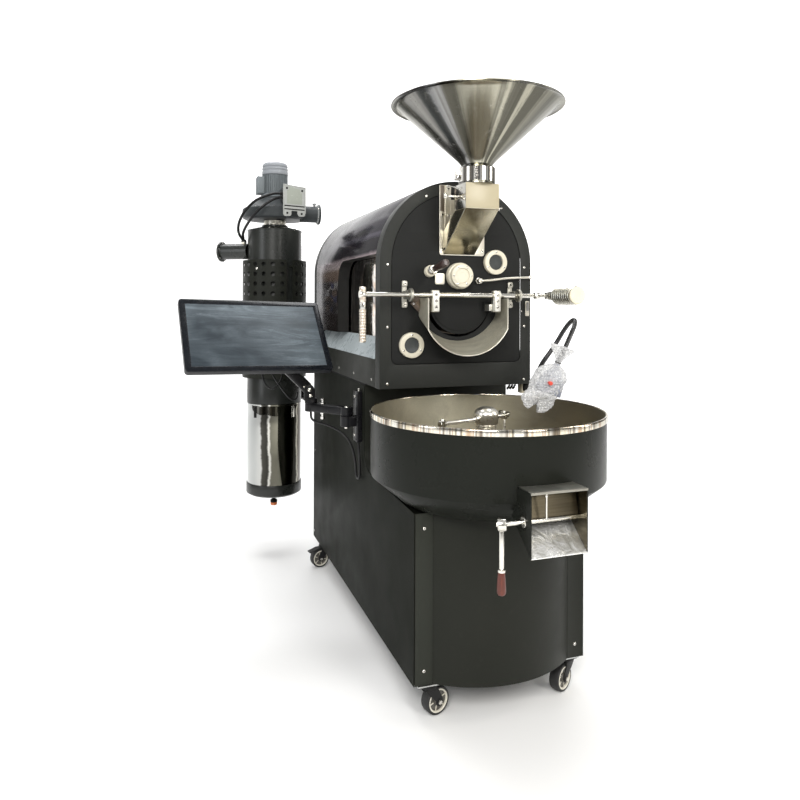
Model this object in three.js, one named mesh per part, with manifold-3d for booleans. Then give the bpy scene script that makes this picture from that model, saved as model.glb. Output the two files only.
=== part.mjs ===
// Gas drum coffee roaster on casters, with cooling tray, chaff cyclone and a
// screen on an arm. Millimetres, +Z up. The construction frame has X to the
// right from the mid plane, Y to the back from the cabinet's front plane and Z
// up from the floor. At the end the group is shifted so that the origin is the
// bottom centre of the whole machine's box.
import * as THREE from 'three';
import { mergeVertices, mergeGeometries } from 'three/addons/utils/BufferGeometryUtils.js';
import Module from 'manifold-3d';

const wasm = await Module();
wasm.setup();

// ---------------------------------------------------------------- dimensions
const GAP = 0.3;             // gap between touching pieces
const CAB_HW = 275.5;        // cabinet half width
const CAB_L = 1338;          // cabinet length
const CAB_Z0 = 100;          // underside of the cabinet
const SEAM_Z = 887;          // top of the lower side panels
const BAND_Z0 = 893;         // bottom of the upper deck and of the front plate
const BAND_Z1 = 987;         // top of the deck's side bands
const SHEET = 2;             // cabinet sheet
const NOTCH_Z = 595, NOTCH_Y = 505, NOTCH_R = 80;   // step for the cooling tray
const BULGE = 75, STRIP_X = 218;                    // bowed front panel
const FP_Y0 = 326, FP_Y1 = 376;                     // front plate, face and back edge
const ARCH_Z = 1307, ARCH_R = 276;                  // arch of the front plate and shell
const COVER_HW = 235, COVER_Z0 = 973;               // inner face cover
const SHELL_Y1 = 1290, SHELL_Z0 = 1057;             // drum shell
const REC_Y1 = 897, REC_Z1 = 1336, REC_D = 47, REC_R = 95;  // side recess
const JACKET_R = 226;
const DRUM_Z = 1265, DRUM_R = 196, DRUM_Y0 = 352, DRUM_Y1 = 850;
const DOOR_Y = 262, DOOR_Z = 1200, DOOR_SHAFT_R = 7.5;
const TRAY_Y = 110, TRAY_R = 355, TRAY_TOP = 850, TRAY_KNEE = 660, TRAY_BOT = 588, TRAY_RB = 270;
const SCREEN_Z = 662;
const HOP_Y = 184, HOP_R = 272, HOP_Z1 = 1800, NECK_Z1 = 1602, NECK_R = 58;
const GATE_Z0 = 1469, GATE_Z1 = 1548;
const CHUTE_HX = 82, CHUTE_Z1 = 705, CHUTE_Y0 = -306, CHUTE_ZF = 540;
const CH_SHAFT_Y = -272, CH_SHAFT_Z = 625;
const CYC_X = -437, CYC_Y = 1480;                   // chaff cyclone axis
const BUCKET_R = 125, BUCKET_Z0 = 279, BUCKET_Z1 = 707;
const GUARD_R = 148, GUARD_Z0 = 827, GUARD_Z1 = 1370;
const FAN_Z0 = 1563, FAN_Z1 = 1612, FAN_TOP = 1668, MOTOR_Z1 = 1835;   // fan scroll and its motor
const INLET_A = [-520, 1465, 1414], INLET_DIR = [-0.8342, 0.5514, 0], INLET_L = 188;  // inlet pipe of the cyclone
const WHEEL_D = 80, TRAIL = 28;
// pivots of the casters and the direction from each pivot to its wheel
const CASTERS = { fl: [-225, 22, 0.955, 0.2966], fr: [232, 32, -0.885, -0.4656], rl: [-246, 1221, -0.9857, -0.1685], rr: [246, 1221, 0.5, 0.866] };

// ------------------------------------------------------------------- helpers
const DENSITY = 0.58;        // share of the full round facets
const facets = n => Math.max(8, 2 * Math.round(n * DENSITY / 2));
function plain(g) {
  const h = g.index ? g.clone() : g.clone();
  for (const k of Object.keys(h.attributes)) if (k !== 'position') h.deleteAttribute(k);
  return mergeVertices(h, 1e-4);
}
function outward(g) {
  const p = g.attributes.position, ix = g.index.array;
  let v = 0; const a = new THREE.Vector3(), b = new THREE.Vector3(), c = new THREE.Vector3();
  for (let i = 0; i < ix.length; i += 3) {
    a.fromBufferAttribute(p, ix[i]); b.fromBufferAttribute(p, ix[i + 1]); c.fromBufferAttribute(p, ix[i + 2]);
    v += a.dot(b.clone().cross(c));
  }
  if (v < 0) for (let i = 0; i < ix.length; i += 3) { const t = ix[i + 1]; ix[i + 1] = ix[i + 2]; ix[i + 2] = t; }
  return g;
}
function solid(g) {
  const h = outward(plain(g));
  return new wasm.Manifold(new wasm.Mesh({
    numProp: 3, vertProperties: new Float32Array(h.attributes.position.array), triVerts: new Uint32Array(h.index.array) }));
}
function geo(m) {
  const k = m.getMesh();
  const g = new THREE.BufferGeometry();
  const n = k.numProp, v = k.vertProperties, pos = new Float32Array(v.length / n * 3);
  for (let i = 0; i < v.length / n; i++) for (let j = 0; j < 3; j++) pos[i * 3 + j] = v[i * n + j];
  g.setAttribute('position', new THREE.BufferAttribute(pos, 3));
  g.setIndex(new THREE.BufferAttribute(new Uint32Array(k.triVerts), 1));
  g.computeVertexNormals();
  return g;
}
const M = g => (g instanceof THREE.BufferGeometry ? solid(g) : g);
const add = (...a) => a.map(M).reduce((p, q) => p.add(q));
const cut = (a, ...b) => b.map(M).reduce((p, q) => p.subtract(q), M(a));
const meet = (a, b) => M(a).intersect(M(b));
const box = (x0, x1, y0, y1, z0, z1) =>
  new THREE.BoxGeometry(x1 - x0, y1 - y0, z1 - z0).translate((x0 + x1) / 2, (y0 + y1) / 2, (z0 + z1) / 2);
// a cylinder from point p to point q
function rod(p, q, r, seg = 16, r2 = r) {
  const a = new THREE.Vector3(...p), b = new THREE.Vector3(...q), d = b.clone().sub(a);
  const g = new THREE.CylinderGeometry(r2, r, d.length(), facets(seg));
  g.applyQuaternion(new THREE.Quaternion().setFromUnitVectors(new THREE.Vector3(0, 1, 0), d.clone().normalize()));
  return g.translate((p[0] + q[0]) / 2, (p[1] + q[1]) / 2, (p[2] + q[2]) / 2);
}
// closed profile [r, z] turned about Z at (x, y)
function lathe(prof, x, y, seg = 40) {
  const pts = prof.map(([r, z]) => new THREE.Vector2(r, z));
  const onAxis = prof[0][0] < 1e-6 && prof[prof.length - 1][0] < 1e-6;
  if (!onAxis) pts.push(pts[0].clone());
  return new THREE.LatheGeometry(pts, facets(seg)).rotateX(Math.PI / 2).translate(x, y, 0);
}
// the same about an axis along Y (profile [r, y]) at (x, z)
function latheY(prof, x, z, seg = 32) {
  const pts = prof.map(([r, y]) => new THREE.Vector2(r, y));
  const onAxis = prof[0][0] < 1e-6 && prof[prof.length - 1][0] < 1e-6;
  if (!onAxis) pts.push(pts[0].clone());
  return new THREE.LatheGeometry(pts, facets(seg)).translate(x, 0, z);
}
function latheX(prof, y, z, seg = 24) {
  const pts = prof.map(([r, x]) => new THREE.Vector2(r, x));
  const onAxis = prof[0][0] < 1e-6 && prof[prof.length - 1][0] < 1e-6;
  if (!onAxis) pts.push(pts[0].clone());
  return new THREE.LatheGeometry(pts, facets(seg)).rotateZ(-Math.PI / 2).translate(0, y, z);
}
const shp = pts => new THREE.Shape(pts.map(([a, b]) => new THREE.Vector2(a, b)));
const ext = (s, d) => new THREE.ExtrudeGeometry(s, { depth: d, bevelEnabled: false, curveSegments: 12, steps: 1 });
// polygons in XY, XZ and YZ, extruded along the third axis
const exZ = (pts, z0, z1) => ext(shp(pts), z1 - z0).translate(0, 0, z0);
const exY = (pts, y0, y1) => ext(shp(pts), y1 - y0).rotateX(Math.PI / 2).translate(0, y1, 0);
const exX = (pts, x0, x1) => {
  const g = ext(shp(pts), x1 - x0);
  g.applyMatrix4(new THREE.Matrix4().set(0, 0, 1, x0, 1, 0, 0, 0, 0, 1, 0, 0, 0, 0, 0, 1));
  return g;
};
const arc = (cx, cy, r, a0, a1, n) => Array.from({ length: n + 1 }, (_, i) => {
  const a = (a0 + (a1 - a0) * i / n) * Math.PI / 180;
  return [cx + r * Math.cos(a), cy + r * Math.sin(a)];
});
// arch outline in XZ: straight sides from z0 and a half circle, radius r
const archPts = (r, z0, zc = ARCH_Z, n = 24) => [[-r, z0], [r, z0], ...arc(0, zc, r, 0, 180, n)];
// the open band between two arches
const archBand = (ro, ri, z0, n = 24, zc = ARCH_Z) =>
  [[ro, z0], ...arc(0, zc, ro, 0, 180, n), [-ro, z0], [-ri, z0], ...arc(0, zc, ri, 180, 0, n), [ri, z0]];
// a round bar along points
function bar(pts, r, sides = 8, steps = 24) {
  const curve = new THREE.CatmullRomCurve3(pts.map(p => new THREE.Vector3(...p)), false, 'centripetal');
  const s = new THREE.Shape(Array.from({ length: sides }, (_, i) =>
    new THREE.Vector2(r * Math.cos(2 * Math.PI * i / sides), r * Math.sin(2 * Math.PI * i / sides))));
  return new THREE.ExtrudeGeometry(s, { steps, extrudePath: curve, bevelEnabled: false });
}

const group = new THREE.Group();
function node(name, g, color, roughness = 0.6, metalness = 0.2) {
  const h = g instanceof THREE.BufferGeometry ? outward(plain(g)) : geo(g);
  h.computeVertexNormals();
  const m = new THREE.Mesh(h, new THREE.MeshStandardMaterial({ color, roughness, metalness }));
  m.name = name;
  group.add(m);
}
const BLACK = 0x1d201e, DARK = 0x151617, STEEL = 0xc9c3b4, GREY = 0x6f7476, SILVER = 0xb8b6ae, RUBBER = 0x141414;

// --------------------------------------------------------------- base frame
{
  const z0 = CAB_Z0 + 0.3, H = 38;
  const f = [];
  f.push(box(-272, -234, 12, 1326, z0, z0 + H), box(234, 272, 12, 1326, z0, z0 + H));
  f.push(box(-272, 272, 12, 50, z0, z0 + H), box(-272, 272, 1288, 1326, z0, z0 + H), box(-272, 272, 620, 658, z0, z0 + H));
  for (const x of [-272, 240]) {
    f.push(box(x, x + 32, 12, 44, z0, 570), box(x, x + 32, 512, 544, z0, 880), box(x, x + 32, 1294, 1326, z0, 880));
    f.push(box(x, x + 32, 12, 544, 538, 570), box(x, x + 32, 512, 1326, 850, 880));
  }
  f.push(box(-272, 272, 12, 44, 538, 570), box(-272, 272, 512, 544, 538, 570), box(-272, 272, 512, 544, 850, 880),
         box(-272, 272, 1294, 1326, 850, 880), box(-272, 272, 900, 932, 850, 880));
  // mounting plates of the casters
  for (const [x0, x1, y0, y1, a] of [[-263, -187, -4, 60, -1], [202, 262, 2, 62, 1], [-272.5, -210, 1185, 1257, -1], [210, 272.5, 1185, 1257, 1]]) {
    f.push(box(x0, x1, y0, y1, 96, 99.7), a < 0 ? box(-262, -238, Math.max(y0, 14) + 2, Math.min(y1, 1250) - 12, 99, 101) : box(238, 262, Math.max(y0, 14) + 2, Math.min(y1, 1250) - 12, 99, 101));
  }
  // cross rail and foot of the stirrer drive
  f.push(box(-272, 272, 90, 130, 538, 570));
  node('base_frame', cut(add(...f), rod([0, TRAY_Y, 500], [0, TRAY_Y, 600], 16, 24)), DARK, 0.6, 0.4);
}
// -------------------------------------------------------------- cabinet skin
{
  const side = [[0, CAB_Z0], [CAB_L, CAB_Z0], [CAB_L, SEAM_Z], [NOTCH_Y, SEAM_Z], [NOTCH_Y, NOTCH_Z + NOTCH_R],
    ...arc(NOTCH_Y - NOTCH_R, NOTCH_Z + NOTCH_R, NOTCH_R, 0, -90, 8).slice(1), [0, NOTCH_Z - 10]];
  node('left_side_panel', exX(side, -CAB_HW, -CAB_HW + SHEET), BLACK);
  node('right_side_panel', exX(side, CAB_HW - SHEET, CAB_HW), BLACK);
  // bowed front panel
  const R = (STRIP_X * STRIP_X + BULGE * BULGE) / (2 * BULGE), c = R - BULGE;
  const half = Math.asin(STRIP_X / R) * 180 / Math.PI;
  const outer = arc(0, c, R, -90 - half, -90 + half, 20), inner = arc(0, c, R - SHEET, -90 - half, -90 + half, 20);
  const poly = [[-272.5, -0.5], ...outer.map(([x, y]) => [x, y - 0.5]), [272.5, -0.5], [272.5, 1.5],
    ...inner.reverse().map(([x, y]) => [x, y - 0.5]), [-272.5, 1.5]];
  node('front_panel', exZ(poly, CAB_Z0 + 0.5, 584), BLACK);
  node('rear_panel', cut(box(-273, 273, 1336, 1338, CAB_Z0 + 0.5, SEAM_Z - 0.5), rod([150, 1330, 300], [150, 1345, 300], 16, 16)), BLACK);
  // panel behind and under the cooling tray, one bent sheet
  node('tray_bay_panel', cut(exX([[2, 572], [400, 583], ...arc(425, 675, 81, -60, 0, 6), [506, 886], [504, 886],
    ...arc(425, 675, 79, 0, -60, 6), [399.5, 585], [2, 574]], -273, 273),
    rod([0, TRAY_Y, 560], [0, TRAY_Y, 600], 22, 24), box(-160, 160, 200, 360, 560, 600)), BLACK);
}
// -------------------------------------------------------- deck with its sills
{
  const t = 2, SX = 228.5, SZ = 1055;
  const u = [[-CAB_HW, BAND_Z0], [CAB_HW, BAND_Z0], [CAB_HW, BAND_Z1], [SX, SZ], [SX - 1.4, SZ - 1.6], [CAB_HW - t, BAND_Z1 - 1],
    [CAB_HW - t, BAND_Z0 + t], [-CAB_HW + t, BAND_Z0 + t], [-CAB_HW + t, BAND_Z1 - 1], [-SX + 1.4, SZ - 1.6], [-SX, SZ], [-CAB_HW, BAND_Z1]];
  // bearing upright for the back of the drum and the cyclone's bracket are welded to it
  const upright = add(box(-150, 150, 1010, 1018, BAND_Z0 + 1, 1330), rod([0, 1004, DRUM_Z], [0, 1050, DRUM_Z], 42, 24));
  const brk = add(box(-275, -262, 1320, 1400, 905, 975), box(-330, -262, 1396, 1402, 905, 975));
  node('upper_deck', cut(add(cut(exY(u, FP_Y1 + GAP, CAB_L), box(-300, 300, SHELL_Y1 - 0.5, 1400, BAND_Z1, 1100)), upright, brk),
    rod([0, 990, DRUM_Z], [0, 1070, DRUM_Z], 15.5, 16), lathe([[0, 800], [148.5, 800], [148.5, 1000], [0, 1000]], CYC_X, CYC_Y, 36)), BLACK);
}
// --------------------------------------------------------- front of the drum
{
  const p = exY(archPts(ARCH_R, BAND_Z0), FP_Y0, FP_Y1);
  const hollow = exY(archPts(ARCH_R - 3, BAND_Z0 + 3), FP_Y0 + 4, FP_Y1 + 10);
  const win = exY([[-COVER_HW - 1.5 + 20, COVER_Z0 - 1.5], ...arc(COVER_HW + 1.5 - 20, COVER_Z0 - 1.5 + 20, 20, -90, 0, 4),
    ...arc(0, ARCH_Z, COVER_HW + 1.5, 0, 180, 24), ...arc(-COVER_HW - 1.5 + 20, COVER_Z0 - 1.5 + 20, 20, 180, 270, 4)], FP_Y0 - 5, FP_Y0 + 10);
  node('front_plate', cut(p, hollow, win), BLACK, 0.65, 0.2);
  const cov = exY([[-COVER_HW + 20, COVER_Z0], ...arc(COVER_HW - 20, COVER_Z0 + 20, 20, -90, 0, 4),
    ...arc(0, ARCH_Z, COVER_HW, 0, 180, 24), ...arc(-COVER_HW + 20, COVER_Z0 + 20, 20, 180, 270, 4)], FP_Y0 + 1.5, 342);
  const parts = [cov];
  // bearing cover
  parts.push(latheY([[0, 292], [27, 292], [27, 288], [37, 288], [39, 290], [39, 303], [44, 307], [44, 328.5], [0, 328.5]], 0, DRUM_Z, 32));
  // pedestals of the two shaft brackets, ring and tabs
  const rings = [], holes = [];
  for (const s of [-1, 1]) {
    rings.push(box(s * 193 - 9, s * 193 + 9, 318, 328.5, 1158, 1247));
    rings.push(box(s * 193 - 7, s * 193 + 7, DOOR_Y + 4, 320, DOOR_Z - 14, DOOR_Z + 14));
    rings.push(rod([s * 193 - 6, DOOR_Y, DOOR_Z], [s * 193 + 6, DOOR_Y, DOOR_Z], 21.5, 20));
    holes.push(rod([s * 193 - 20, DOOR_Y, DOOR_Z], [s * 193 + 20, DOOR_Y, DOOR_Z], 10, 20));
  }
  // trier guide
  parts.push(rod([-104, 328, 1278], [-104, 310, 1280.8], 19, 20));
  // openings: discharge under the shaft, bean feed above, sight glasses, trier, probe
  const dis = exY([[-112, 1186], [-112, 1144], ...arc(0, 1177, 116, 197, 343, 12), [112, 1144], [112, 1186]], 320, 350);
  const feed = box(-50, 50, 320, 350, 1345, 1404);
  const sg1 = rod([136, 320, 1314], [136, 350, 1314], 27, 20), sg2 = rod([-168, 320, 1035], [-168, 350, 1035], 27, 20);
  const tr = rod([-104, 345, 1275.3], [-104, 300, 1282.4], 11, 16);
  const pr = rod([75, 320, 1250], [75, 350, 1250], 6, 12);
  node('face_cover', cut(add(...parts, ...rings), ...holes, dis, feed, sg1, sg2, tr, pr), DARK, 0.6, 0.2);
  // sight glasses: ring with its pane
  const sg = (x, z) => latheY([[0, 319], [26.6, 319], [26.6, 313], [41, 313], [42, 314], [42, 327], [26.6, 327], [26.6, 323], [0, 323]], x, z, 24);
  node('sight_glass_upper', sg(136, 1314), STEEL, 0.3, 0.9);
  node('sight_glass_lower', sg(-168, 1035), STEEL, 0.3, 0.9);
  // temperature probe: nut, thin rod bent to the right edge
  node('temperature_probe', add(latheY([[0, 306], [9, 306], [9, 322], [13, 322], [13, 327], [0, 327]], 75, 1250, 12),
    rod([75, 326.5, 1250], [75, 470, 1250], 3.5, 8),
    bar([[75, 312, 1250], [110, 309, 1253], [165, 308, 1258], [225, 310, 1263], [268, 316, 1265], [272, 323, 1265]], 3, 6, 12)), STEEL, 0.35, 0.9);
  // discharge spout: U channel sloping down to the front, open at the top
  const Ro = 158.5, t = 2.2, zc = 1002 + Ro;
  const a0 = Math.asin((zc - 1090) / Ro) * 180 / Math.PI;
  const U = (r, hw) => [[-hw, 1190], ...arc(0, zc, r, 180 + 27, 360 - 27, 20), [hw, 1190]];
  const hwO = Ro * Math.cos(27 * Math.PI / 180), hwI = (Ro - t) * Math.cos(27 * Math.PI / 180);
  const outerU = exY(U(Ro, hwO), 238, 327), innerU = exY(U(Ro - t, hwI).map(([x, z], i, a) => (i === 0 || i === a.length - 1) ? [x, 1200] : [x, z]), 230, 335);
  let spout = cut(outerU, innerU);
  // shear so that the channel rises 43 mm from the lip back to the plate
  spout = spout.warp ? spout.warp(v => { v[2] += Math.max(0, (v[1] - 238)) * 43 / 89 * Math.min(1, Math.max(0, (1190 - v[2]) / 100)); }) : spout;
  node('discharge_spout', spout, STEEL, 0.3, 0.9);
}
// --------------------------------------------------------- shell and jacket
{
  const R = ARCH_R;
  const outer = exY(archPts(R, SHELL_Z0), FP_Y1 + GAP, SHELL_Y1);
  const inner = exY([[-(R - 3), SHELL_Z0 - 10], [R - 3, SHELL_Z0 - 10], ...arc(0, ARCH_Z, R - 3, 0, 180, 24)], FP_Y1 - 5, SHELL_Y1 + 5);
  const recPts = (g) => [[FP_Y1 - 5, SHELL_Z0 - 5], [REC_Y1 - g, SHELL_Z0 - 5], ...arc(REC_Y1 - REC_R, REC_Z1 - REC_R, REC_R - g, 0, 90, 8), [FP_Y1 - 5, REC_Z1 - g]];
  let s = cut(outer, inner);
  for (const k of [-1, 1]) {
    const x0 = k < 0 ? -R - 10 : R - REC_D, x1 = k < 0 ? -R + REC_D : R + 10;
    // window frame wall, REC_D deep, following the window's outline
    const wallO = exX([[FP_Y1 + GAP, SHELL_Z0], [REC_Y1 + 3, SHELL_Z0], ...arc(REC_Y1 - REC_R, REC_Z1 - REC_R, REC_R + 3, 0, 90, 8), [FP_Y1 + GAP, REC_Z1 + 3]],
      k < 0 ? -R + 1 : R - REC_D, k < 0 ? -R + REC_D : R - 1);
    s = add(s, meet(wallO, outer));
    s = cut(s, exX(recPts(0), x0, x1));
    // foot lip under the plain part of the shell
    s = add(s, box(k < 0 ? -R + 1 : R - REC_D, k < 0 ? -R + REC_D : R - 1, REC_Y1, SHELL_Y1, SHELL_Z0, SHELL_Z0 + 2));
  }
  node('drum_shell', s, 0x1a191c, 0.08, 0.7);
  node('inner_jacket', exY(archBand(JACKET_R, JACKET_R - 2, 1000), 346, 1000), 0x232427, 0.1, 0.8);
  // rear cap: pan with a closed back
  const cap = cut(exY(archPts(R, BAND_Z1 + 0.4), SHELL_Y1 + 0.4, 1336), exY(archPts(R - 3, BAND_Z1 - 10), SHELL_Y1 - 5, 1333),
    rod([-120, 1320, 1140], [-120, 1345, 1140], 52, 24));
  node('rear_plate', cap, 0x2a2c2b, 0.5, 0.3);
}
// ---------------------------------------------------- drum, drive and burner
{
  const d = add(
    latheY([[DRUM_R, DRUM_Y0], [DRUM_R, DRUM_Y1], [30, DRUM_Y1], [30, DRUM_Y1 - 5], [DRUM_R - 4, DRUM_Y1 - 5], [DRUM_R - 4, DRUM_Y0]], 0, DRUM_Z, 40),
    latheY([[0, 345.5], [14, 345.5], [14, 1180], [0, 1180]], 0, DRUM_Z, 16),
    latheY([[13, 835], [34, 835], [34, 860], [13, 860]], 0, DRUM_Z, 24),
    latheY([[13, 1120], [70, 1120], [70, 1128], [13, 1128]], 0, DRUM_Z, 24),
    box(-DRUM_R + 3, DRUM_R - 3, 600, 606, DRUM_Z - 12, DRUM_Z + 12), box(-12, 12, 600, 606, DRUM_Z - DRUM_R + 3, DRUM_Z + DRUM_R - 3),
    box(DRUM_R - 28, DRUM_R - 2, 380, 840, DRUM_Z - 2, DRUM_Z + 2), box(-DRUM_R + 2, -DRUM_R + 28, 380, 840, DRUM_Z - 2, DRUM_Z + 2),
    box(-2, 2, 380, 840, DRUM_Z + DRUM_R - 28, DRUM_Z + DRUM_R - 2), box(-2, 2, 380, 840, DRUM_Z - DRUM_R + 2, DRUM_Z - DRUM_R + 28));
  node('drum', d, 0x55524c, 0.5, 0.7);
  node('drive_motor', add(box(50, 170, 1140, 1260, 895.3, 1015), rod([-70, 1200, 955], [52, 1200, 955], 50, 20), rod([110, 1128.4, 960], [110, 1142, 960], 20, 16)), GREY, 0.5, 0.4);
  node('motor_sprocket', latheY([[0, 1120], [32, 1120], [32, 1128], [0, 1128]], 110, 960, 20), SILVER, 0.4, 0.8);
  const tubes = [-110, -37, 37, 110].map(x => rod([x, 430, 960], [x, 880, 960], 15, 12));
  node('burner', add(...tubes, box(-135, 135, 870, 905, 945, 975), box(-135, 135, 430, 440, 940, 952), box(-135, -125, 430, 905, 895.3, 952), box(125, 135, 430, 905, 895.3, 952),
    box(-135, 135, 895, 905, 940, 975), rod([0, 900, 960], [0, 1000, 960], 13, 12)), 0x4a4845, 0.5, 0.7);
}
// ------------------------------------------------------------ discharge door
{
  node('door_shaft', add(rod([-352, DOOR_Y, DOOR_Z], [296, DOOR_Y, DOOR_Z], DOOR_SHAFT_R, 16),
    rod([-363, DOOR_Y, DOOR_Z], [-341, DOOR_Y, DOOR_Z], 14, 16), box(-363, -341, DOOR_Y - 12, DOOR_Y + 12, DOOR_Z - 30, DOOR_Z + 24),
    rod([-352, DOOR_Y, DOOR_Z - 28], [-352, DOOR_Y, 1152], 6.5, 12),
    lathe([[0, 1050], [10, 1050], [11.5, 1053], [11.5, 1150], [10, 1153], [0, 1153]], -352, DOOR_Y, 16)), STEEL, 0.3, 0.9);
  const pl = exY([[-104, 1186], [-104, 1144], ...arc(0, 1179, 109, 199, 341, 12), [104, 1144], [104, 1186]], 312, 318);
  const clamps = [];
  for (const s of [-1, 1]) clamps.push(box(s * 110 - 13, s * 110 + 13, DOOR_Y - 13, DOOR_Y + 12, 1144, 1216), box(s * 98 - 9, s * 98 + 9, DOOR_Y + 10, 313, 1148, 1170));
  node('discharge_door', cut(add(pl, ...clamps), rod([-130, DOOR_Y, DOOR_Z], [130, DOOR_Y, DOOR_Z], DOOR_SHAFT_R + 0.3, 16)), DARK, 0.5, 0.4);
  // spring-necked counterweight grip, its axis along Y, on the shaft's right end
  const g = add(latheX([[0, 296.3], [11, 296.3], [11, 310], [15, 314], [15, 320], [0, 320]], DOOR_Y, DOOR_Z, 16),
    latheY([[0, 104], [24, 104], [27, 108], [29, 112], [29, 222], [22, 236], [13, 246], [13, 274], [0, 274]], 322, DOOR_Z, 24));
  node('counterweight_grip', g, SILVER, 0.4, 0.8);
}
// -------------------------------------------------------------------- trier
{
  const dz = 0.156, y0 = 328, z0 = 1278;          // axis rises slightly to the front
  const at = y => [-104, y, z0 + (y0 - y) * dz];
  node('trier', add(rod(at(490), at(290), 8, 14), rod(at(300), at(284), 15, 16), rod(at(286), at(272), 9, 14, 10), rod(at(273), at(180), 10, 16, 13)), 0x33241f, 0.5, 0.2);
}
// ------------------------------------------------------- bean feed and hopper
{
  const plate = exY([[-70, 1334], ...arc(-64, 1334, 6, 180, 270, 3), ...arc(89, 1334, 6, 270, 360, 3), [95, 1400], [62, 1520], [-30, 1520], [-30, 1567], [-70, 1567]], 322.5, 325.7);
  // the plate's opening leads into the drum
  const W = 57, t = 2;
  // inclined open-topped channel from the gate box back down to the plate
  const side = [[146, 1468.4], [226, 1468.4], [323, 1412], [323, 1338]];
  const ch = cut(exX(side, -W, W), exX([[140.4, 1475], [210.7, 1475], [330, 1405.5], [330, 1335.2]], -W + t, W - t));
  node('feed_chute', add(cut(plate, box(-W + t, W - t, 315, 335, 1341, 1408)), ch), STEEL, 0.25, 0.9);
  // gate box: tube of square section, slot for the gate
  const gb = cut(box(-W, W, HOP_Y - 42, 228, GATE_Z0, GATE_Z1), rod([0, HOP_Y, GATE_Z0 - 10], [0, HOP_Y, GATE_Z1 + 10], 36, 24),
    box(-W - 5, 50, HOP_Y - 39, HOP_Y + 41, 1505, 1511));
  node('gate_box', gb, 0xd0c8ae, 0.35, 0.8);
  node('hopper_gate', add(box(-W + 1, 48, HOP_Y - 38.5, HOP_Y + 38.5, 1506.3, 1509.7), box(-W - 12, -W + 3, HOP_Y - 6, HOP_Y + 6, 1505.6, 1510.4), rod([-W - 10, HOP_Y, 1508], [-W - 48, HOP_Y, 1508], 4, 10),
    lathe([[0, 1500], [6, 1500], [6, 1516], [0, 1516]], -W - 50, HOP_Y, 12)), STEEL, 0.3, 0.9);
  const r0 = NECK_R, z1 = NECK_Z1, rt = 253.5;
  node('hopper', lathe([[42, GATE_Z1 + GAP], [r0, GATE_Z1 + GAP], [r0, z1], [47, z1], [62, z1 + 22], [rt, HOP_Z1 - 4], [HOP_R - 1, HOP_Z1 - 3.4], [HOP_R + 1, HOP_Z1 - 5],
    [HOP_R + 1, HOP_Z1 - 1], [HOP_R - 1, HOP_Z1], [rt - 1, HOP_Z1 - 0.6], [59, z1 + 23.5], [44, z1 + 1.5], [42, z1]], 0, HOP_Y, 48), STEEL, 0.25, 0.95);
}
// ------------------------------------------------- cooling tray and stirrer
{
  // wall and floor in one, with an open cone skirt below
  const body = lathe([[26, SCREEN_Z - 4], [TRAY_R - 8, SCREEN_Z - 4], [TRAY_RB - 4, TRAY_BOT], [TRAY_RB, TRAY_BOT], [TRAY_R, TRAY_KNEE], [TRAY_R, TRAY_TOP - 18], [TRAY_R + 3, TRAY_TOP - 18],
    [TRAY_R + 3, TRAY_TOP], [TRAY_R - 3, TRAY_TOP], [TRAY_R - 3, SCREEN_Z], [26, SCREEN_Z]], 0, TRAY_Y, 42);
  const outlet = box(-70, 70, -260, TRAY_Y - 320, SCREEN_Z + 1, 698);
  node('cooling_tray', cut(body, outlet), BLACK, 0.6, 0.2);
  node('stirrer_motor', add(box(-60, 60, TRAY_Y - 60, TRAY_Y + 60, 440, 537.5), rod([0, TRAY_Y, 300], [0, TRAY_Y, 442], 55, 20), rod([0, TRAY_Y, 536], [0, TRAY_Y, 584], 14, 16)), GREY, 0.5, 0.4);
  const arms = [];
  arms.push(rod([0, TRAY_Y, 584.5], [0, TRAY_Y, 672], 12, 16), lathe([[0, 665], [30, 665], [30, 780], [24, 784], [24, 800], [31, 804], [31, 838], ...arc(0, 838, 31, 20, 90, 5).map(([x, y]) => [x, 838 + (y - 838) * 0.58])], 0, TRAY_Y, 24));
  // two high arms and two low ones, each with a drop rod and its blade
  for (const [a, L, h, r, b] of [[200, 190, 822, 183, 40], [17, 96, 822, 76, 140], [290, 290, 700, 262, 40], [110, 290, 700, 90, 140]]) {
    const c = Math.cos(a * Math.PI / 180), s = Math.sin(a * Math.PI / 180);
    const P = (r, z) => [c * r, TRAY_Y + s * r, z];
    arms.push(rod(P(r > L ? r : 10, h), P(L, h), 6, 10), rod(P(r, h + (h > 800 ? 14 : 8)), P(r, 676), 4.5, 8), rod(P(r, h - 11), P(r, h + 11), 10, 12));
    if (r > L) arms.push(rod(P(10, h), P(r, h), 6, 10));
    arms.push(new THREE.BoxGeometry(92, 4, 24).rotateZ((a + b) * Math.PI / 180).translate(...P(r, 677)));
  }
  node('stirrer', add(...arms), STEEL, 0.35, 0.9);
}
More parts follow.
